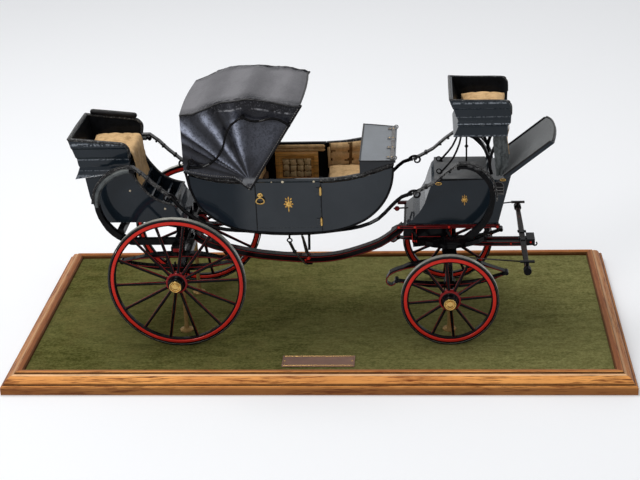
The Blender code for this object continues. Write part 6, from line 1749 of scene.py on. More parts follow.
def drop_handle(bm, x, z, side):
    """Drop ring on a knob with its round plate."""
    y = side * BODY_HALF_WIDTH
    turn(bm, ((0.0030, 0.0003), (0.0030, 0.0008), (0.0024, 0.0011), (0.0014, 0.0012), (0.0012, 0.0026),
              (0.0017, 0.0031), (0.0015, 0.0040), (0, 0.0044)), facing((x, y, z), (0, side, 0)), 16)
    loop = []
    for k in range(24):
        a = 2 * math.pi * k / 24
        wide = 0.0045 * (1.0 - 0.16 * math.sin(a))
        loop.append((x + wide * math.cos(a), y + side * 0.0026, z - 0.0058 + 0.0036 * math.sin(a)))
    rod(bm, loop, 0.00085, 8, closed=True)
    rod(bm, [(x, y + side * 0.0026, z - 0.0005), (x, y + side * 0.0026, z - 0.0026)], 0.0011, 8)


# Section of the moulding round a door pad: distance inwards and height
PAD_MOULDING = ((0, 0), (0, 0.0014), (0.0008, 0.0020), (0.0050, 0.0023), (0.0060, 0.0016), (0.0078, 0.0013),
                (0.0088, 0.0007), (0.0088, 0))


class CARRIAGE_OT_doors(CarriageOperator):
    """Brass hinges, handles, gilt ornament and the padded inner faces of the doors"""

    bl_idname = "carriage.doors"
    bl_label = "Doors"

    def make(self, settings):
        for side_name, side in SIDES.items():
            door = side_name + "_door"
            bm = bmesh.new()
            for low, high in HINGE_SPANS:
                middle = (low + high) / 2
                barrel = Matrix.Translation((DOOR_X[1], side * HINGE_Y, middle))
                half = (high - low) / 2
                turn(bm, ((0, half + 0.0012), (0.0008, half + 0.0008), (0.0008, half + 0.0002),
                          (0.00145, half), (0.00145, -half), (0.0008, -half - 0.0002),
                          (0.0008, -half - 0.0008), (0, -half - 0.0012)), barrel, 16)
            piece("door_hinges_" + side_name, bm, "brass", door, "brass")

            bm = bmesh.new()
            drop_handle(bm, -0.0612, 0.1900, side)
            handle = piece("door_ring_" + side_name, bm, "brass", side_name + "_door_handle", "brass")
            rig.replaces(handle, "door_handle_" + side_name)

            bm = bmesh.new()
            ornament(bm, Vector((-0.0297, side * BODY_HALF_WIDTH, 0.1790)), side, 0.0098)
            piece("door_ornament_" + side_name, bm, "gilt", door, "brass")
            self.inner_face(side_name, side, door, settings.detail)

    def inner_face(self, side_name, side, door, sizes):
        """Framed and tufted pad with the two rolls above it."""
        inner = BODY_HALF_WIDTH - BODY_WALL - 0.0016 - HAIR
        low_x, high_x, low_z, high_z = -0.0555, -0.0040, 0.1575, 0.1980
        bm = bmesh.new()
        corners = []
        for sx, sz in ((-1, -1), (1, -1), (1, 1), (-1, 1)):
            cx = low_x if sx < 0 else high_x
            cz = low_z if sz < 0 else high_z
            corners.append([bm.verts.new((cx - sx * d, side * (inner - h), cz - sz * d))
                            for d, h in PAD_MOULDING])
        for a, b in zip(corners, corners[1:] + corners[:1]):
            for k in range(len(PAD_MOULDING)):
                n = (k + 1) % len(PAD_MOULDING)
                bm.faces.new((a[k], a[n], b[n], b[k]))
        piece("door_frame_" + side_name, bm, "amber_wood", door)

        pad = tufted_panel((low_x + 0.0086, high_x - 0.0086), (low_z + 0.0086, high_z - 0.0086), 0.0010,
                           (4, 3), sizes.tuft_depth * 1.2)
        for vert in pad.verts:
            x, z, out = vert.co
            vert.co = (x, side * (inner - out), z)
        obj = piece("door_pad_" + side_name, pad, ("door_pad", "tan_crease"), door, "tan_leather", SOFT)
        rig.padded(obj, fill=0.6)

        bm = bmesh.new()
        for z, radius in ((0.2043, 0.0024), (0.2001, 0.0020)):
            sweep(bm, [(x, side * 0.0570, z) for x in (-0.0640, -0.0625, -0.0300, 0.0030, 0.0046)],
                  round_section(radius, 12, 0.9), scales=(0.4, 1, 1, 1, 0.4))
        roll = piece("door_top_roll_" + side_name, bm, "tan_leather", door, "tan_leather", SOFT)
        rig.padded(roll, fill=0.8)


def tuft_shape(u, v):
    """Height of buttoned upholstery, 0 at the buttons and 1 at the crowns, with folded diagonals between."""
    a = abs(math.sin(math.pi * (u + v) / 2))
    b = abs(math.sin(math.pi * (u - v) / 2))
    return (a * b) ** 0.45


def puff_shape(u, v):
    """Height of square puffs, 0 in the folds between them, and the distance to the nearest fold."""
    stray = Vector((u * 0.7, v * 0.7, 1.7))
    across = abs(math.sin(math.pi * (u + 0.24 * noise.noise(stray)) / 2))
    up = abs(math.sin(math.pi * (v + 0.30 * noise.noise(stray * 1.3)) / 2))
    full = 0.82 + 0.3 * noise.noise(stray * 0.8)
    return full * (across * up) ** 0.5, min(across, up)


PUFF_STEPS = 10  # faces along each puff of a panel


def tufted_panel(span_u, span_v, thickness, tufts, depth):
    """Closed panel in the first two axes whose front swells in puffs along the third; mark 1 is the folds."""
    bm = bmesh.new()
    nu = tufts[0] * PUFF_STEPS
    nv = tufts[1] * PUFF_STEPS
    front = []
    folds = {}
    for i in range(nu + 1):
        row = []
        for j in range(nv + 1):
            s = i / nu
            t = j / nv
            shape, fold = puff_shape(s * tufts[0] * 2, t * tufts[1] * 2)
            row.append(bm.verts.new((lerp(*span_u, s), lerp(*span_v, t), thickness + depth * shape)))
            folds[row[-1]] = fold
        front.append(row)
    back = [[bm.verts.new((v.co.x, v.co.y, 0)) for v in row] for row in front]
    join_sheets(bm, front, back)
    mark_folds(bm, front, folds)
    return bm


def mark_folds(bm, front, folds):
    """Give the faces of a sheet that lie in the folds their second finish, a painted shade."""
    for a, b in zip(front, front[1:]):
        for k in range(len(a) - 1):
            corners = (a[k], b[k], b[k + 1], a[k + 1])
            face = bm.faces.get(corners)
            if face and sum(folds[v] for v in corners) / 4 < 0.2:
                face.material_index = 1


def join_sheets(bm, front, back):
    """Close the space between two grids of the same size."""
    rows = len(front) - 1
    columns = len(front[0]) - 1
    for i in range(rows):
        for j in range(columns):
            bm.faces.new((front[i][j], front[i + 1][j], front[i + 1][j + 1], front[i][j + 1]))
            bm.faces.new((back[i][j], back[i][j + 1], back[i + 1][j + 1], back[i + 1][j]))
    for i in range(rows):
        for j in (0, columns):
            bm.faces.new((front[i][j], front[i + 1][j], back[i + 1][j], back[i][j]))
    for j in range(columns):
        for i in (0, rows):
            bm.faces.new((front[i][j], front[i][j + 1], back[i][j + 1], back[i][j]))


# Cushions


STUFFING_SCALE = 20.0  # the small cushions are stuffed at this scale, so that the cloth's settings fit


def cushion_shape(low, high, crown):
    """Boxed cushion as it is cut: a crowned top and sides drawn in between the corners."""
    bm = bmesh.new()
    nx, ny = 14, 20
    top = []
    for i in range(nx + 1):
        row = []
        for j in range(ny + 1):
            u = 2 * i / nx - 1
            v = 2 * j / ny - 1
            pull = 0.0012
            x = lerp(low.x, high.x, (u + 1) / 2) - math.copysign(pull, u) * (abs(u) > 0.99) * (1 - v * v)
            y = lerp(low.y, high.y, (v + 1) / 2) - math.copysign(pull, v) * (abs(v) > 0.99) * (1 - u * u)
            rise = crown * (1 - u ** 4) * (1 - v ** 4)
            edge = 0.0014 * max(abs(u), abs(v)) ** 8
            row.append(bm.verts.new((x, y, high.z - crown + rise - edge)))
        top.append(row)
    base = [[bm.verts.new((v.co.x, v.co.y, low.z)) for v in row] for row in top]
    join_sheets(bm, top, base)
    bmesh.ops.recalc_face_normals(bm, faces=bm.faces)
    return bm


def blown_up(mesh, sizes, floor):
    """The mesh after it is blown up as cloth, each point held within a small swell and above the seat."""
    rest = [v.co.copy() for v in mesh.vertices]
    obj = add_object("cushion_cloth", mesh)
    cloth = obj.modifiers.new("cloth", "CLOTH")
    cloth.settings.use_pressure = True
    cloth.settings.uniform_pressure_force = 4.0
    cloth.settings.effector_weights.gravity = 0.0
    cloth.settings.quality = 4
    scene = bpy.context.scene
    for step in range(1, sizes.cushion_frames + 1):
        scene.frame_set(step)
    mesh = applied(obj)
    scene.frame_set(1)
    limit = sizes.cushion_swell * STUFFING_SCALE
    for vert, start in zip(mesh.vertices, rest):
        move = vert.co - start
        if move.length > limit:
            move *= limit / move.length
        vert.co = start + move
        vert.co.z = max(vert.co.z, floor)
    return mesh


def stuffed(low, high, crown, sizes):
    """Mesh of a stuffed cushion."""
    bm = cushion_shape(low, high, crown)
    centre = Vector((low + high) / 2)
    bmesh.ops.translate(bm, verts=bm.verts, vec=-centre)
    bmesh.ops.scale(bm, verts=bm.verts, vec=(STUFFING_SCALE,) * 3)
    obj = add_object("cushion_cut", as_mesh("cushion_cut", bm))
    remesh = obj.modifiers.new("remesh", "REMESH")
    remesh.mode = "VOXEL"
    remesh.voxel_size = 0.034
    mesh = applied(obj)
    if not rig.quick():
        mesh = blown_up(mesh, sizes, (low.z - centre.z) * STUFFING_SCALE)
    mesh.transform(Matrix.Translation(centre) @ Matrix.Scale(1 / STUFFING_SCALE, 4))
    return mesh


def tufted_cushion(name, node_name, crown, tufts, sizes, lift):
    """Stuffed and buttoned cushion in place of a solid; lift is how far it stands above the solid's top."""
    shrink = 0.0006
    low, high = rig.box(node_name)
    low = low + Vector((shrink, shrink, 0))
    high = high - Vector((shrink, shrink, shrink - lift))
    mesh = stuffed(low, high, crown, sizes)
    bm = bmesh.new()
    bm.from_mesh(mesh)
    bmesh.ops.subdivide_edges(bm, edges=bm.edges, cuts=1, use_grid_fill=True, smooth=0.5)
    bm.normal_update()
    for vert in bm.verts:
        if vert.normal.z > 0.15:
            s = (vert.co.x - low.x) / (high.x - low.x)
            t = (vert.co.y - low.y) / (high.y - low.y)
            shape = tuft_shape(s * tufts[0] * 2, t * tufts[1] * 2)
            rim = min(1.0, 7 * max(0.0, min(s, 1 - s, t, 1 - t)))
            vert.co.z -= sizes.tuft_depth * (1 - shape) * rim * vert.normal.z
    obj = piece(name, bm, "tan_leather", "carriage", "tan_leather", SOFT)
    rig.replaces(obj, node_name)
    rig.padded(obj, fill=0.7)
    buttons = bmesh.new()
    for i in range(tufts[0] * 2 + 1):
        for j in range(tufts[1] * 2 + 1):
            if (i + j) % 2 == 0 and 0 < i < tufts[0] * 2 and 0 < j < tufts[1] * 2:
                x = lerp(low.x, high.x, i / (tufts[0] * 2))
                y = lerp(low.y, high.y, j / (tufts[1] * 2))
                hit, place = obj.ray_cast(Vector((x, y, high.z + 0.02)), Vector((0, 0, -1)))[:2]
                if hit:
                    stud(buttons, place, (0, 0, 1), 0.0009, 0.0005)
    piece(name + "_buttons", buttons, "tan_leather", "carriage", "tan_leather")


SQUAB_FOOT = 0.1780
SQUAB_STEPS = (132, 18)
SQUAB_PUFFS = (20, 6)  # twice the number of puffs along and up


def inner_end_x(front, z):
    """X of the body's inside face at one end, at a height."""
    half = len(BODY_BOTTOM) // 2
    points = BODY_BOTTOM[half:] if front else BODY_BOTTOM[:half]
    for (x0, z0), (x1, z1) in zip(points, points[1:]):
        if min(z0, z1) <= z <= max(z0, z1):
            x = lerp(x0, x1, (z - z0) / (z1 - z0))
            return x - 0.0045 if front else x + 0.0045
    return points[-1][0] - 0.0045 if front else points[0][0] + 0.0045


def squab_place(front, s, t):
    """Place on the wall behind a squab, the direction into the body there, and the side.

    s runs from the near door round the end of the body to the far door, and t upwards.
    """
    jamb = DOOR_X[1] + 0.0030 if front else DOOR_X[0] - 0.0030
    toward = -1 if front else 1
    reach = 0.0805 if front else -0.1345
    for _ in range(2):
        rim_x = lerp(jamb, reach, min(1.0, 2.6 * min(s, 1 - s)))
        z = lerp(SQUAB_FOOT, at_x(BODY_TOP, rim_x) + 0.0042, t)
        reach = inner_end_x(front, min(z, 0.2090))
    corner = 0.010
    bend = corner * 1.4
    side_length = abs(reach - jamb) - corner
    wide = body_half_width(reach + toward * corner) - BODY_WALL - 0.0006
    run = 2 * side_length + 2 * corner * 1.4 + 2 * (wide - corner)
    at = s * run
    side = -1
    if at > run / 2:
        at = run - at
        side = 1
    if at < side_length:
        x = lerp(jamb, reach + toward * corner, at / side_length)
        return x, body_half_width(x) - BODY_WALL - 0.0006, z, 0.0, -1.0, side
    if at < side_length + bend:
        a = (at - side_length) / bend * math.pi / 2
        return (reach + toward * corner * (1 - math.sin(a)), wide - corner * (1 - math.cos(a)), z,
                toward * math.sin(a), -math.cos(a), side)
    return reach, wide - corner - (at - side_length - bend), z, toward * 1.0, 0.0, side


class CARRIAGE_OT_interior(CarriageOperator):
    """Tufted cushions and the squabs round both ends of the body"""

    bl_idname = "carriage.interior"
    bl_label = "Interior"

    def make(self, settings):
        sizes = settings.detail
        for end in ("rear", "front"):
            tufted_cushion(end + "_seat_cushion", end + "_cushion", 0.0030, (2, 4), sizes, 0.0036)
        for front in (False, True):
            self.squab(front, sizes)
        bm = bmesh.new()
        for side in SIDES.values():
            for x in (DOOR_X[0] - 0.0030, DOOR_X[1] + 0.0026):
                rod(bm, [(x, side * 0.0572, z) for z in (0.1765, 0.1775, 0.1900, 0.2030, 0.2040)], 0.0019,
                    10, scales=(0.4, 1, 1, 1, 0.4))
        rolls = piece("jamb_rolls", bm, "tan_leather", "carriage", "tan_leather", SOFT)
        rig.padded(rolls, fill=0.8)

    def squab(self, front, sizes):
        """Quilted lining from one door round the end of the body to the other door."""
        along, up = SQUAB_STEPS
        outer = []
        inner = []
        for i in range(along + 1):
            s = i / along
            places = [squab_place(front, s, j / up) for j in range(up + 1)]
            outer.append([(x, side * y, z) for x, y, z, nx, ny, side in places])
            column = []
            for j, (x, y, z, nx, ny, side) in enumerate(places):
                t = j / up
                shape = puff_shape(s * SQUAB_PUFFS[0], t * SQUAB_PUFFS[1])[0]
                rim = min(1.0, 5 * min(t, 1 - t) + 0.25) * min(1.0, 14 * min(s, 1 - s) + 0.3)
                thick = (0.0030 + sizes.tuft_depth * 1.25 * shape) * rim ** 0.5
                column.append((x + nx * thick, side * (y + ny * thick), z))
            inner.append(column)
        bm = bmesh.new()
        quilt = [[bm.verts.new(p) for p in column] for column in inner]
        join_sheets(bm, quilt, [[bm.verts.new(p) for p in column] for column in outer])
        folds = {}
        for i, column in enumerate(quilt):
            for j, vert in enumerate(column):
                folds[vert] = puff_shape(i / along * SQUAB_PUFFS[0], j / up * SQUAB_PUFFS[1])[1]
        mark_folds(bm, quilt, folds)
        name = "squab_front" if front else "squab_rear"
        obj = piece(name + "_quilted", bm, ("tan_leather", "tan_crease"), "carriage", "tan_leather", SOFT)
        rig.replaces(obj, name)
        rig.padded(obj, fill=0.7)


# Hood


ROOF_LINE = ((-0.1450, 0.2866), (-0.1380, 0.2876), (-0.1300, 0.2882), (-0.1180, 0.2925), (-0.1060, 0.2985),
             (-0.0980, 0.3010), (-0.0860, 0.3022), (-0.0740, 0.3042), (-0.0660, 0.3035), (-0.0560, 0.3018),
             (-0.0440, 0.2998), (-0.0340, 0.2975), (-0.0260, 0.2955), (-0.0190, 0.2950), (-0.0130, 0.2945))
FAR_ROOF_LINE = ((-0.1450, 0.2863), (-0.1380, 0.2887), (-0.1300, 0.2916), (-0.1180, 0.2977),
                 (-0.1060, 0.3020), (-0.0980, 0.3030), (-0.0860, 0.3033), (-0.0740, 0.3038),
                 (-0.0660, 0.3031), (-0.0560, 0.3019), (-0.0440, 0.3015), (-0.0340, 0.2998),
                 (-0.0260, 0.2974), (-0.0190, 0.2970), (-0.0130, 0.2946))
SHOULDER_DROP = 0.0012  # from the roof's edge down to the seam
SHOULDER_INSET = 0.0016
# Folds that fan out from the bows' pivot: angle in degrees and height; hood_side also paints the heights as highlight
# on the ridges and shade in the valleys
FOLDS = ((0, 0.2), (40, 0.2), (52, 0.25), (60, 0.42), (75, 0.42), (88, 0.35), (94, 0.45), (100, 1.0),
         (105, 0.40), (111, -0.20), (115, 0.30), (120, 1.05), (126, 0.30), (130, 0.25), (134, 0.45),
         (139, 1.05), (142, 0.0), (146, 0.55), (149, -0.05), (155, 0.35), (160, 0.05), (168, 0.35),
         (180, 0.2))


HOOD_SIDE_ROWS = 40
HOOD_CORNER_ROWS = 7


def hood_edge_x(z):
    (x0, z0), (x1, z1) = HOOD_EDGE
    return lerp(x0, x1, (z - z0) / (z1 - z0))


def rail_height(x):
    return at_x(BODY_TOP, x) + 2 * RAIL_RADIUS + RAIL_LIFT


def hood_foot(t):
    """Lower edge of the side leather; its tip hangs over the rail."""
    x = lerp(HOOD_REAR_X, HOOD_EDGE[0][0], t)
    tip = max(0.0, (t - 0.70) / 0.30) ** 0.9
    return max(rail_height(x) + 0.0006, 0.2095) - 0.0128 * tip


def pleat(x, z, depth):
    """How far the side leather stands out: sharp folds that fan out from the bows' pivot."""
    dx = x - HOOD_PIVOT[0]
    dz = z - HOOD_PIVOT[1] + 0.004
    angle = math.degrees(math.atan2(dz, dx)) + 1.5 * noise.noise(Vector((x * 34, 0.2, z * 34)))
    height = FOLDS[-1][1]
    for (a, low), (b, high) in zip(FOLDS, FOLDS[1:]):
        if a <= angle < b:
            t = (angle - a) / (b - a)
            height = lerp(low, high, t * t * (3 - 2 * t))
    fade = min(1.0, max(0.0, (math.hypot(dx, dz) - 0.010) / 0.034))
    return depth * height * fade


class CARRIAGE_OT_hood(CarriageOperator):
    """Pleated leather hood with its bindings, bows and head irons"""

    bl_idname = "carriage.hood"
    bl_label = "Hood"

    def make(self, settings):
        dress("painted_iron", "hood_front_bow", "hood_mid_bow", "hood_rear_bow", *both("head_iron_lower"),
              *both("head_iron_upper"))
        grid, curtain = self.shape(settings.detail.pleat_depth)
        bm = self.skin(grid, curtain)
        flat_area = sum(face.calc_area() for face in bm.faces)
        leathers = ("hood_side", "hood_roof", "hood_lining")
        skin = thickened("hood_skin", bm, leathers, thickness=0.0011, offset=-1, material_offset=2,
                         use_even_offset=True)
        bm = bmesh.new()
        bm.from_mesh(skin)
        self.bindings(bm, grid, HOOD_SIDE_ROWS)
        cover = mesh_piece("hood_cover", as_mesh("hood_cover", bm),
                           (*leathers, "strap_leather", "pale_stitch"), None, "hood_leather", 50)
        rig.replaces(cover, "hood_leather")
        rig.blend(cover, "carriage", "hood_bow", start=(-0.1450, 0, 0.2236), end=(-0.0474, 0, 0.1975))
        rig.sheet(cover, flat=(0.3250, 0.2250), held="stretched", area=round(flat_area, 4),
                 rests_on=["hood_front_bow", "hood_mid_bow", "hood_rear_bow"])
        self.fittings()

    def skin(self, grid, curtain):
        """Open skin of both sides, roof and back curtain; mark 1 is the roof."""
        bm = bmesh.new()
        rows = [[bm.verts.new(p) for p in column] for column in grid]
        side_rows = HOOD_SIDE_ROWS
        count = len(rows[0])
        for a, b in zip(rows, rows[1:]):
            for j in range(count - 1):
                face = bm.faces.new((a[j], b[j], b[j + 1], a[j + 1]))
                face.material_index = 1 if side_rows <= j < count - 1 - side_rows else 0
        back = [[rows[0][j]] + [bm.verts.new(p) for p in line] + [rows[0][count - 1 - j]]
                for j, line in enumerate(curtain)]
        back.append([rows[0][side_rows + HOOD_CORNER_ROWS + k] for k in range(len(back[0]))])
        for low, high in zip(back, back[1:]):
            for k in range(len(low) - 1):
                corners = []
                for vert in (low[k], high[k], high[k + 1], low[k + 1]):
                    if vert not in corners:
                        corners.append(vert)
                if len(corners) > 2:
                    bm.faces.new(corners)
        bmesh.ops.recalc_face_normals(bm, faces=bm.faces)
        # The roof's middle face must look up, so that the lining comes out inside
        bm.faces.ensure_lookup_table()
        upward = max(bm.faces, key=lambda face: face.calc_center_median().z)
        if upward.normal.z < 0:
            bmesh.ops.reverse_faces(bm, faces=bm.faces)
        return bm

    def shape(self, depth):
        """Columns from the right foot over the roof to the left foot, and the rows of the back curtain."""
        along, side_rows, roof_columns = 110, HOOD_SIDE_ROWS, 20
        grid = []
        for i in range(along + 1):
            t = i / along
            roof_x = lerp(HOOD_REAR_X, HOOD_EDGE[1][0], t)
            ripple = math.cos(2 * math.pi * (roof_x + PIVOT_BACK) / BOW_SPACING) - 0.4
            bow = 0.0022 * ripple * min(1.0, 6 * t, 6 * (1 - t))
            foot = hood_foot(t)
            ends = min(1.0, 9 * t + 0.1, 14 * (1 - t))
            edges = []
            for line, phase in ((ROOF_LINE, 0.3), (FAR_ROOF_LINE, 5.3)):
                shoulder = at_x(line, roof_x) - SHOULDER_DROP
                side = []
                for j in range(side_rows + 1):
                    z = lerp(foot, shoulder, j / side_rows)
                    x = lerp(HOOD_REAR_X, hood_edge_x(z), t)
                    top = min(1.0, 8 * (1 - j / side_rows) + 0.15)
                    ridges = 0.5 - abs(noise.noise(Vector((x * 130, phase, z * 150))))
                    crumple = 0.0026 * ridges * max(0.0, 1 - top)
                    crumple += 0.0006 * noise.noise(Vector((x * 300, phase, z * 200))) * (j / side_rows) ** 6
                    wrinkle = 0.0007 * noise.noise(Vector((x * 160, phase, z * 90)))
                    over_rail = max(0.0, (rail_height(x) + 0.006 - z) / 0.0120)
                    tuck = 0.0012 * abs(noise.noise(Vector((x * 420, phase, z * 420)))) * over_rail
                    out = HOOD_HALF + (pleat(x, z, depth) * top + wrinkle + crumple + tuck) * ends
                    side.append((x, out, z))
                for k in range(1, HOOD_CORNER_ROWS):
                    a = math.pi / 2 * k / HOOD_CORNER_ROWS
                    z = shoulder + SHOULDER_DROP * math.sin(a)
                    y = HOOD_HALF - SHOULDER_INSET * (1 - math.cos(a))
                    ruck = 0.0006 * noise.noise(Vector((roof_x * 210, k * 0.5, 2.0))) * math.cos(a) * ends
                    side.append((lerp(HOOD_REAR_X, hood_edge_x(z), t), y + ruck, z + ruck * 0.6))
                edges.append(side)
            flat = HOOD_HALF - SHOULDER_INSET
            roof = []
            for k in range(roof_columns + 1):
                y = lerp(-flat, flat, k / roof_columns)
                roof_z = lerp(at_x(ROOF_LINE, roof_x), at_x(FAR_ROOF_LINE, roof_x), k / roof_columns)
                crown = 1 - (y / flat) ** 2
                swell = 0.0005 * noise.noise(Vector((roof_x * 60, y * 60, 7.0)))
                swell += 0.0016 * noise.noise(Vector((roof_x * 170, y * 90, 3.0))) * abs(y / flat) ** 5 * ends
                roof.append((roof_x + 0.0030 * t * crown, y, roof_z + 0.0030 * crown + bow * crown ** 0.6
                             + swell))
            grid.append([(x, -y, z) for x, y, z in edges[0]] + roof + edges[1][::-1])
        return grid, self.curtain(grid[0], side_rows, roof_columns)

    def curtain(self, rear, side_rows, roof_columns):
        """Rows of the back curtain from foot to roof, each from the right edge to the left one."""
        curtain = []
        total = side_rows + HOOD_CORNER_ROWS
        for j in range(total):
            x, y, z = rear[j]
            far = rear[-1 - j]
            row = []
            for k in range(1, roof_columns):
                s = k / roof_columns
                hang = 0.0007 * math.cos(2 * math.pi * 5 * s) * (1 - j / total)
                row.append((x - 0.0024 * math.sin(math.pi * s) + hang, lerp(y, far[1], s),
                            lerp(z, far[2], s)))
            curtain.append(row)
        return curtain

    def bindings(self, bm, grid, side_rows):
        """Bound edges, the seams at the roof's edges and their stitches, in the same mesh as the skin."""
        pitch = detail().stitch_pitch
        front = [Vector(p) for p in grid[-1]]
        rod(bm, [p + Vector((0.0004, 0, 0)) for p in front], 0.0010, 6, mark=3)
        count = len(grid[0])
        for ends in (range(side_rows), range(count - 1, count - 1 - side_rows, -1)):
            edge = [Vector(grid[-1][k]) for k in ends]
            outward = Vector((-0.0016, 0.0009 if edge[0].y > 0 else -0.0009, 0))
            stitches(bm, [p + outward for p in edge], pitch, 0.0003, outward * 0.05, mark=4)
        for column in (side_rows, count - 1 - side_rows):
            seam = [Vector(line[column]) for line in grid]
            out = Vector((0, 0.0004 if seam[0].y > 0 else -0.0004, 0.0002))
            rod(bm, [p + out for p in seam], 0.0009, 6, mark=3)
        for column in (0, count - 1):
            hem = [Vector(line[column]) for line in grid]
            rod(bm, [p + Vector((0, 0, 0.0004)) for p in hem], 0.0008, 6, mark=3)
            out = Vector((0, 0.0006 if hem[0].y > 0 else -0.0006, 0.0030))
            stitches(bm, [p + out for p in hem], pitch, 0.0003, (0, 0, 0.0001), mark=4)

    def fittings(self):
        """Loops and knuckles of the head irons."""
        bm = bmesh.new()
        for side in SIDES.values():
            y = side * 0.0716
            rod(bm, ring_points((-0.1345, y, 0.2345), 0.0031, 16), 0.0008, 6, closed=True)
            rod(bm, [(-0.1385, y, 0.2265), (-0.1372, y, 0.2318)], 0.0009, 6)
            stud(bm, (-0.1385, side * 0.0700, 0.2265), (0, side, 0), 0.0024, 0.0014)
        piece("hood_loops", bm, "painted_iron", "carriage", "black_iron")


# Apron, boots and seats


class CARRIAGE_OT_apron(CarriageOperator):
    """Leather lid over the front of the body with its hinge strip"""

    bl_idname = "carriage.apron"
    bl_label = "Front apron"

    def make(self, settings):
        dress("apron_leather", "front_apron")
        bm = bmesh.new()
        pins = bmesh.new()
        for y in (-0.0480, -0.0160, 0.0160, 0.0480):
            block(bm, (0.0800, y - 0.0035, 0.2281), (0.0896, y + 0.0035, 0.2287), 0.0002)
            for x in (0.0825, 0.0865):
                stud(pins, (x, y, 0.2287), (0, 0, 1), 0.0007)
        strap(bm, [(0.0866, -0.0555, 0.2283), (0.0866, 0.0555, 0.2283)], 0.0042, 0.0006, (1, 0, 0))
        for y in (-0.0520, 0.0520):
            rod(bm, ring_points((0.0895, y, 0.2290), 0.0022, 12), 0.0006, 6, closed=True)
        piece("apron_hinge_strip", bm, "worn_steel", "apron", "black_iron")
        piece("apron_nails", pins, "brass", "apron", "brass")
        bm = bmesh.new()
        rim = [(0.0512, -0.0620, 0.2296), (0.0512, 0.0620, 0.2296)]
        rod(bm, rim, 0.0010, 6)
        for side in SIDES.values():
            line = [(x, side * (body_half_width(min(x, 0.0880)) + 0.0008),
                     lerp(0.2295, 0.2273, (x - 0.051) / 0.0395))
                    for x in (0.0512, 0.0600, 0.0700, 0.0800, 0.0900)]
            rod(bm, line, 0.0008, 6)
        piece("apron_binding", bm, "strap_leather", "apron", "black_leather")


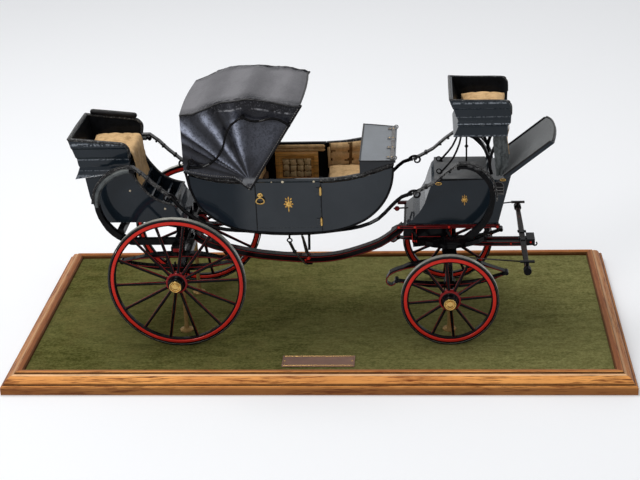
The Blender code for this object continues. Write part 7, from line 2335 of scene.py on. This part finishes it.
class CARRIAGE_OT_rear_boot(CarriageOperator):
    """Rear boot, footman's seat, its cushion, leather fall and arm roll"""

    bl_idname = "carriage.rear_boot"
    bl_label = "Rear boot and footman's seat"

    def make(self, settings):
        sizes = settings.detail
        dress("coach_paint", "rear_boot")
        dress("rear_seat_paint", "rumble_seat")
        half = REAR_BOOT_HALF
        bm = bmesh.new()
        edge = smooth_path(TROUGH_LINE, 4)
        for side in SIDES.values():
            rod(bm, in_plane(edge, side * (half - 0.0013)), 0.0016, 8, across=(0, 1, 0))
        rod(bm, [(-0.1640, -half, 0.1685), (-0.1640, half, 0.1685)], 0.0015, 8)
        piece("trough_edges", bm, "worn_leather", "carriage", "black_leather")

        bm = bmesh.new()
        for side in SIDES.values():
            for x, z in ((-0.2134, 0.1872), (-0.1748, 0.1646)):
                stud(bm, (x, side * half, z), (0, side, 0), sizes.stud_radius * 1.2)
        piece("boot_studs", bm, "cream_bone", "carriage")

        # Rolled leather edges of the seat's panels
        bm = bmesh.new()
        for side in SIDES.values():
            line = [(-0.2768, 0.0458, 0.2528), (-0.2500, 0.0453, 0.2500), (-0.2250, 0.0448, 0.2473),
                    (-0.2163, 0.0445, 0.2461), (-0.2120, 0.0442, 0.2434), (-0.2095, 0.0438, 0.2385),
                    (-0.2103, 0.0412, 0.2300)]
            points = [(x, side * (y - 0.0013), z) for x, y, z in smooth_path(line, 4)]
            sweep(bm, points, round_section(0.0018, 10, 1.25))
        sweep(bm, [(-0.2760, -0.0445, 0.2528), (-0.2764, 0.0, 0.2532), (-0.2760, 0.0445, 0.2528)],
              round_section(0.0018, 10, 1.25))
        piece("rumble_rolled_edges", bm, "worn_leather", "carriage", "black_leather")

        tufted_cushion("rumble_seat_cushion", "rumble_cushion", 0.0026, (2, 3), sizes, 0.0030)
        self.fall()
        self.arm_roll()

    def fall(self):
        """Leather fall from the cushion over the seat's edge into the trough."""
        line = smooth_path([(-0.2240, 0.2316), (-0.2175, 0.2330), (-0.2115, 0.2322), (-0.2088, 0.2280),
                            (-0.2078, 0.2200), (-0.2072, 0.2110), (-0.2070, 0.2020), (-0.2062, 0.1940),
                            (-0.2040, 0.1850)], 4)
        across = 44
        bm = bmesh.new()
        rows = []
        for i, (x, z) in enumerate(line):
            drop = i / (len(line) - 1)
            row = []
            for k in range(across + 1):
                s = k / across
                wave = math.sin(2 * math.pi * (3.2 * s + 0.15 * math.sin(5 * s))) * 0.5 + 0.5
                wave = 0.0032 * max(0.0, drop - 0.22) * wave
                ruck = abs(noise.noise(Vector((s * 8 + drop * 3, drop * 7, 1.5))))
                wave += 0.0016 * min(1.0, drop * 2) * ruck
                half = 0.0300 * (1 - 0.10 * drop) * (1 + 0.03 * math.sin(9 * drop))
                row.append(bm.verts.new((x + wave, lerp(-half, half, s),
                                         z + wave * 0.5 - 0.0012 * math.sin(3 * math.pi * s) * drop)))
            rows.append(row)
        sheet_faces(bm, rows)
        cut = thickened("fall_cut", bm, thickness=0.0008, offset=0)
        fall = mesh_piece("rumble_leather_fall", cut, "tan_leather", "carriage", "tan_leather", 70)
        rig.replaces(fall, "rumble_fall")
        flat_length = sum(math.dist(a, b) for a, b in zip(line, line[1:]))
        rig.sheet(fall, flat=(0.0600, round(flat_length, 4)), held="hung",
                 rests_on=["rumble_seat", "rumble_seat_cushion"])

    def arm_roll(self):
        """Padded roll on the left side panel, in place of its solid."""
        low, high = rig.box("arm_roll")
        bm = bmesh.new()
        middle_y = (low.y + high.y) / 2
        ends = ((low.x, 0.2562), (high.x, 0.2503))
        shape = ((0.0, 0.30), (0.015, 0.75), (0.05, 0.98), (0.2, 1.0), (0.5, 1.03), (0.8, 1.0),
                 (0.95, 0.98), (0.985, 0.75), (1.0, 0.30))
        points = [(lerp(ends[0][0], ends[1][0], t), middle_y, lerp(ends[0][1], ends[1][1], t))
                  for t, _ in shape]
        rod(bm, points, 0.0034, 16, scales=[r for _, r in shape])
        rod(bm, [(x, middle_y + 0.0028, z - 0.0016) for x, _, z in points[2:-2]], 0.0006, 6)
        roll = piece("rumble_arm_roll", bm, "strap_leather", "carriage", "black_leather", SOFT)
        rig.replaces(roll, "arm_roll")
        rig.padded(roll, fill=0.9)


class CARRIAGE_OT_driving_seat(CarriageOperator):
    """Coachman's boot, footboard, driving seat, its irons, cushion and strap"""

    bl_idname = "carriage.driving_seat"
    bl_label = "Driving seat and boot"

    def make(self, settings):
        sizes = settings.detail
        dress("coach_paint", "coach_boot", "footboard")
        dress("front_seat_paint", "coach_seat")
        dress("painted_iron", "coach_seat_irons")
        tufted_cushion("driving_cushion", "coach_cushion", 0.0026, (2, 3), sizes, 0.0026)
        half = COACH_BOOT_HALF

        # Lid of the boot with its edges
        bm = bmesh.new()
        block(bm, (0.1330, -half - 0.0004, 0.1962), (0.1925, half + 0.0004, 0.1972), 0.0004)
        piece("boot_lid", bm, "boot_lid", "carriage", "grey_leather")
        bm = bmesh.new()
        for side in SIDES.values():
            edge = [(0.1330, side * half, 0.1948), (0.1930, side * half, 0.1962)]
            rod(bm, edge, 0.0008, 6)
        piece("boot_lid_edges", bm, "painted_iron", "carriage", "slate_paint")
        bm = bmesh.new()
        for side in SIDES.values():
            ornament(bm, Vector((0.1670, side * half, 0.1710)), side, 0.0068)
            rod(bm, ring_points((0.1379, side * (half + 0.0016), 0.1915), 0.0034, 18, 0.4), 0.0004, 6,
                closed=True)
            rod(bm, ring_points((0.2098, side * (half + 0.0010), 0.1952), 0.0030, 18, 0.4), 0.0005, 6,
                closed=True)
        piece("boot_ornaments", bm, "gilt", "carriage", "brass")

        self.footboard_mat()
        self.seat_trim()
        self.step_recess()
        self.knee_leather()

    def step_recess(self):
        """Arched sheet of painted shade in the stirrup step, with its rim and treads."""
        mouth = bmesh.new()
        treads = bmesh.new()
        for side in SIDES.values():
            y = side * (COACH_BOOT_HALF + HAIR)
            arch = [(0.1993, 0.1772), (0.2107, 0.1772)]
            arch += [(0.2050 + 0.0057 * math.cos(a), 0.1868 + 0.0057 * math.sin(a))
                     for a in [math.pi * k / 12 for k in range(13)]]
            # A dark sheet of painted shade stands in for the shaded inside of the arch.
            verts = [mouth.verts.new((x, y, z)) for x, z in arch]
            mouth.faces.new(verts)
            rod(treads, [(x, side * 0.0352, z) for x, z in arch], 0.00045, 6, closed=True)
            for z in (0.1860, 0.1822, 0.1788):
                side_block(treads, side, (0.1998, 0.2102), (0.0345, 0.0358), (z - 0.0005, z + 0.0005), 0.0002)
        flat = piece("boot_step_painted_shade", mouth, "strap_leather", "carriage", "slate_paint")
        flat.data.update()
        piece("boot_step_treads", treads, "worn_steel", "carriage", "black_iron")

    def knee_leather(self):
        """Grey leather that hangs from the seat down to the foot of the footboard."""
        edges = ((0.2470, 0.1990, 0.2128), (0.2400, 0.1985, 0.2140), (0.2250, 0.1998, 0.2160),
                 (0.2110, 0.2012, 0.2158), (0.2045, 0.2022, 0.2110), (0.1985, 0.2030, 0.2088))
        bm = bmesh.new()
        rows = []
        for i in range(31):
            z = lerp(edges[0][0], edges[-1][0], i / 30)
            left = at_x(sorted((e[0], e[1]) for e in edges), z)
            right = at_x(sorted((e[0], e[2]) for e in edges), z)
            row = []
            for k in range(15):
                s = k / 14
                x = lerp(left, right, s)
                wave = math.sin(2 * math.pi * (1.6 * s + 0.4 * i / 30))
                ruck = abs(noise.noise(Vector((s * 5, i * 0.22, 0.7))))
                fold = 0.0016 * wave + 0.0030 * ruck
                row.append(bm.verts.new((x, -0.0315 + fold, z)))
            rows.append(row)
        sheet_faces(bm, rows)
        cut = thickened("knee_cut", bm, thickness=0.0007, offset=0)
        knee = mesh_piece("knee_leather", cut, "grey_leather", "carriage", "grey_leather", 70)
        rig.sheet(knee, flat=(0.0186, 0.0521), held="hung", rests_on=["coach_seat", "coach_seat_irons"])

    def footboard_mat(self):
        """Ribbed mat, its row of nails and the rolled side rails of the footboard."""
        pitch = math.radians(38.6)
        tilt = Matrix.Translation((0.2098, 0, 0.2011)) @ Matrix.Rotation(-pitch, 4, "Y")
        length_x, half, nose = 0.0740, 0.0390, 0.0070
        bm = bmesh.new()
        rows = []
        for i in range(25):
            row = []
            for j in range(33):
                s = i / 24
                t = 2 * j / 32 - 1
                end = length_x - nose * t * t - 0.0006
                row.append(bm.verts.new(tilt @ Vector((lerp(0.0010, end, s), half * t, -0.0006))))
            rows.append(row)
        under = [[bm.verts.new(tilt.to_3x3() @ Vector((0, 0, -0.0005)) + v.co) for v in row] for row in rows]
        join_sheets(bm, rows, under)
        piece("footboard_mat", bm, "ribbed_mat", "carriage", "black_leather")
        bm = bmesh.new()
        for j in range(9):
            t = (2 * j / 8 - 1) * 0.9
            spot = tilt @ Vector((length_x - nose * t * t - 0.0050, half * t, -0.0006))
            stud(bm, spot, tilt.to_3x3() @ Vector((0, 0, 1)), 0.0008)
        piece("footboard_nails", bm, "worn_steel", "carriage", "black_iron")
        bm = bmesh.new()
        for side in SIDES.values():
            line = [tilt @ Vector((x, side * 0.0405, 0.0001)) for x in (0.0005, 0.0200, 0.0400, 0.0655)]
            rod(bm, line, 0.0012, 8)
        nose_line = [tilt @ Vector((length_x - nose * (t / 10) ** 2 * 0.9, 0.0405 * t / 10, -0.0008))
                     for t in range(-10, 11)]
        rod(bm, nose_line, 0.0011, 8)
        piece("footboard_rolled_edges", bm, "strap_leather", "carriage", "black_leather")

    def seat_trim(self):
        """Rolled edges of the driving seat, its strap, and the rings and knob behind the boot."""
        bm = bmesh.new()
        for side in SIDES.values():
            line = [(0.1503, 0.0454, 0.2920), (0.1720, 0.0453, 0.2910), (0.2100, 0.0452, 0.2903),
                    (0.2150, 0.0452, 0.2876), (0.2169, 0.0446, 0.2835), (0.2171, 0.0426, 0.2740)]
            points = [(x, side * (y - 0.0013), z) for x, y, z in smooth_path(line, 4)]
            rod(bm, points, 0.0015, 8)
        rod(bm, [(0.1510, -0.0440, 0.2922), (0.1508, 0, 0.2926), (0.1510, 0.0440, 0.2922)], 0.0015, 8)
        piece("driving_seat_rolled_edges", bm, "worn_leather", "carriage", "black_leather")
        bm = bmesh.new()
        hanging = smooth_path([(0.2150, -0.0300, 0.2620), (0.2158, -0.0300, 0.2540),
                               (0.2140, -0.0300, 0.2440), (0.2152, -0.0298, 0.2340),
                               (0.2165, -0.0296, 0.2240)], 4)
        strap(bm, hanging, 0.0030, 0.0008, (0, 1, 0))
        piece("driving_seat_strap", bm, "tan_leather", "carriage", "tan_leather")
        bm = bmesh.new()
        for y in (-0.0200, 0.0200):
            rod(bm, ring_points((0.1385, y, 0.2005), 0.0026, 14), 0.0007, 6, closed=True)
            bolt(bm, (0.1420, y, 0.1975), (0, 0, 1), 0.0014)
        rod(bm, [(0.0860, 0, 0.1470), (0.1030, 0, 0.1480)], 0.0010, 6)
        piece("boot_back_rings", bm, "painted_iron", "carriage", "black_iron")
        bm = bmesh.new()
        knob = ((0, -0.0030), (0.0018, -0.0026), (0.0030, -0.0008), (0.0030, 0.0008), (0.0018, 0.0026),
                (0, 0.0030))
        turn(bm, knob, Matrix.Translation((0.0900, 0, 0.1470)) @ Matrix.Rotation(math.pi / 2, 4, "Y"), 16)
        piece("boot_back_knob", bm, "red_lining", "carriage", "wheel_paint")


class CARRIAGE_OT_fore_carriage(CarriageOperator):
    """Lined rails, bolts and the worn splinter bar of the fore-carriage"""

    bl_idname = "carriage.fore_carriage"
    bl_label = "Fore-carriage"

    def make(self, settings):
        width = settings.detail.lining_width
        dress("old_ash", "splinter_bar")
        self.boot_rails(width)
        self.transom_clips(width)
        self.futchells(width)

    def boot_rails(self, width):
        """Red lines on the boot rails and the transom, and the rails' bolts."""
        bm = bmesh.new()
        for side in SIDES.values():
            for y in (BOOT_RAIL_Y + 0.0025 + HAIR, BOOT_RAIL_Y - 0.0025 - HAIR):
                for z in (0.1408, 0.1386):
                    lining(bm, [(0.0905, z), (0.2065, z)], side * y, width)
            strap(bm, [(x, side * BOOT_RAIL_Y, 0.1412 + HAIR) for x in (0.0905, 0.2065)], width, 2 * HAIR,
                  (0, 1, 0))
            for z in (0.1375, 0.1250):
                lining(bm, [(0.0985, z), (0.1400, z)], side * (TRANSOM_HALF + HAIR), width)
        piece("boot_rail_lining", bm, "red_lining", "carriage", "wheel_paint")

        bm = bmesh.new()
        for side in SIDES.values():
            for x in (0.0925, 0.1110, 0.1496, 0.2040):
                bolt(bm, (x, side * (0.0390 + HAIR), 0.1397), (0, side, 0), 0.0015)
        piece("boot_rail_bolts", bm, "red_paint", "carriage", "wheel_paint")

    def transom_clips(self, width):
        """Clips that hang the transom from the boot rails."""
        bm = bmesh.new()
        red = bmesh.new()
        for side in SIDES.values():
            for x in (0.1100, 0.1496):
                side_block(bm, side, (x - 0.0024, x + 0.0024), (TRANSOM_HALF, 0.0336), (0.1180, 0.1386),
                           0.0004)
                for dx in (-0.0024, 0.0024):
                    lining(red, [(x + dx, 0.1185), (x + dx, 0.1380)], side * (0.0336 + HAIR), width)
                for z in (0.1205, 0.1335):
                    bolt(red, (x, side * 0.0336, z), (0, side, 0), 0.0013)
        piece("transom_clips", bm, "painted_iron", "carriage", "black_iron")
        piece("transom_clip_lining", red, "red_paint", "carriage", "wheel_paint")

    def futchells(self, width):
        """Lines on the futchells and the turning bed, their bolts and the splinter bar's clamps."""
        bm = bmesh.new()
        futchell = smooth_path([(0.1080, 0.1034), (0.1416, 0.1064), (0.1576, 0.1064), (0.1850, 0.1050),
                                (0.2100, 0.1046), (0.2350, 0.1046), (0.2487, 0.1056)], 4)
        for side in SIDES.values():
            for y in (FUTCHELL_Y + 0.0016 + HAIR, FUTCHELL_Y - 0.0016 - HAIR):
                for shift in (0.0019, -0.0019):
                    lining(bm, offset_path(futchell, shift)[8:-1], side * y, width)
            lining(bm, [(0.1420, 0.1140), (0.1572, 0.1140)], side * (BED_HALF + HAIR), width * 2)
        piece("futchell_lining", bm, "red_lining", "fore_carriage", "wheel_paint")
        bm = bmesh.new()
        for side in SIDES.values():
            for x in (0.1450, 0.1542):
                bolt(bm, (x, side * BED_HALF, 0.1150), (0, side, 0), 0.0014)
            for x, y, z in ((0.2215, 0.0081, 0.1046), (0.2442, 0.0100, 0.1074)):
                bolt(bm, (x, side * y, z), (0, side, 0), 0.0012)
        piece("fore_carriage_bolts", bm, "red_paint", "fore_carriage", "wheel_paint")
        bm = bmesh.new()
        for side in SIDES.values():
            y = side * 0.0110
            block(bm, (0.2300, y - 0.0034, 0.1117), (0.2400, y + 0.0034, 0.1125), 0.0003)
            for x in (0.2312, 0.2388):
                bolt(bm, (x, y, 0.1124), (0, 0, 1), 0.0011)
        piece("splinter_bar_clamps", bm, "painted_iron", "fore_carriage", "black_iron")


# Panel and registration


STEPS = (CARRIAGE_OT_stage, CARRIAGE_OT_plinth, CARRIAGE_OT_wheels, CARRIAGE_OT_running_gear,
         CARRIAGE_OT_suspension, CARRIAGE_OT_body, CARRIAGE_OT_doors, CARRIAGE_OT_interior, CARRIAGE_OT_hood,
         CARRIAGE_OT_apron, CARRIAGE_OT_rear_boot, CARRIAGE_OT_driving_seat, CARRIAGE_OT_fore_carriage)


class CARRIAGE_PT_panel(bpy.types.Panel):
    """Lists the steps of the making and the settings"""

    bl_label = "Model horse carriage"
    bl_idname = "CARRIAGE_PT_panel"
    bl_space_type = "VIEW_3D"
    bl_region_type = "UI"
    bl_category = "Carriage"

    def draw(self, context):
        layout = self.layout
        settings = context.scene.carriage
        for step in STEPS:
            layout.operator(step.bl_idname)
        for group in (settings.colours, settings.detail, settings.stage):
            column = layout.column()
            for key in group.bl_rna.properties.keys():
                if key not in ("rna_type", "name"):
                    column.prop(group, key)


CLASSES = (CarriageColours, CarriageDetail, CarriageStage, CarriageSettings, *STEPS, CARRIAGE_PT_panel)


def register():
    for cls in CLASSES:
        bpy.utils.register_class(cls)
    bpy.types.Scene.carriage = PointerProperty(type=CarriageSettings)


def unregister():
    del bpy.types.Scene.carriage
    for cls in reversed(CLASSES):
        bpy.utils.unregister_class(cls)


def main():
    register()
    for step in STEPS:
        group, action = step.bl_idname.split(".")
        getattr(getattr(bpy.ops, group), action)()
    with open("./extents.json", "w") as out:
        json.dump({"cad": CAD_BOX, "visual": [list(corner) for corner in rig.bounds()]}, out)


if __name__ == "__main__":
    main()
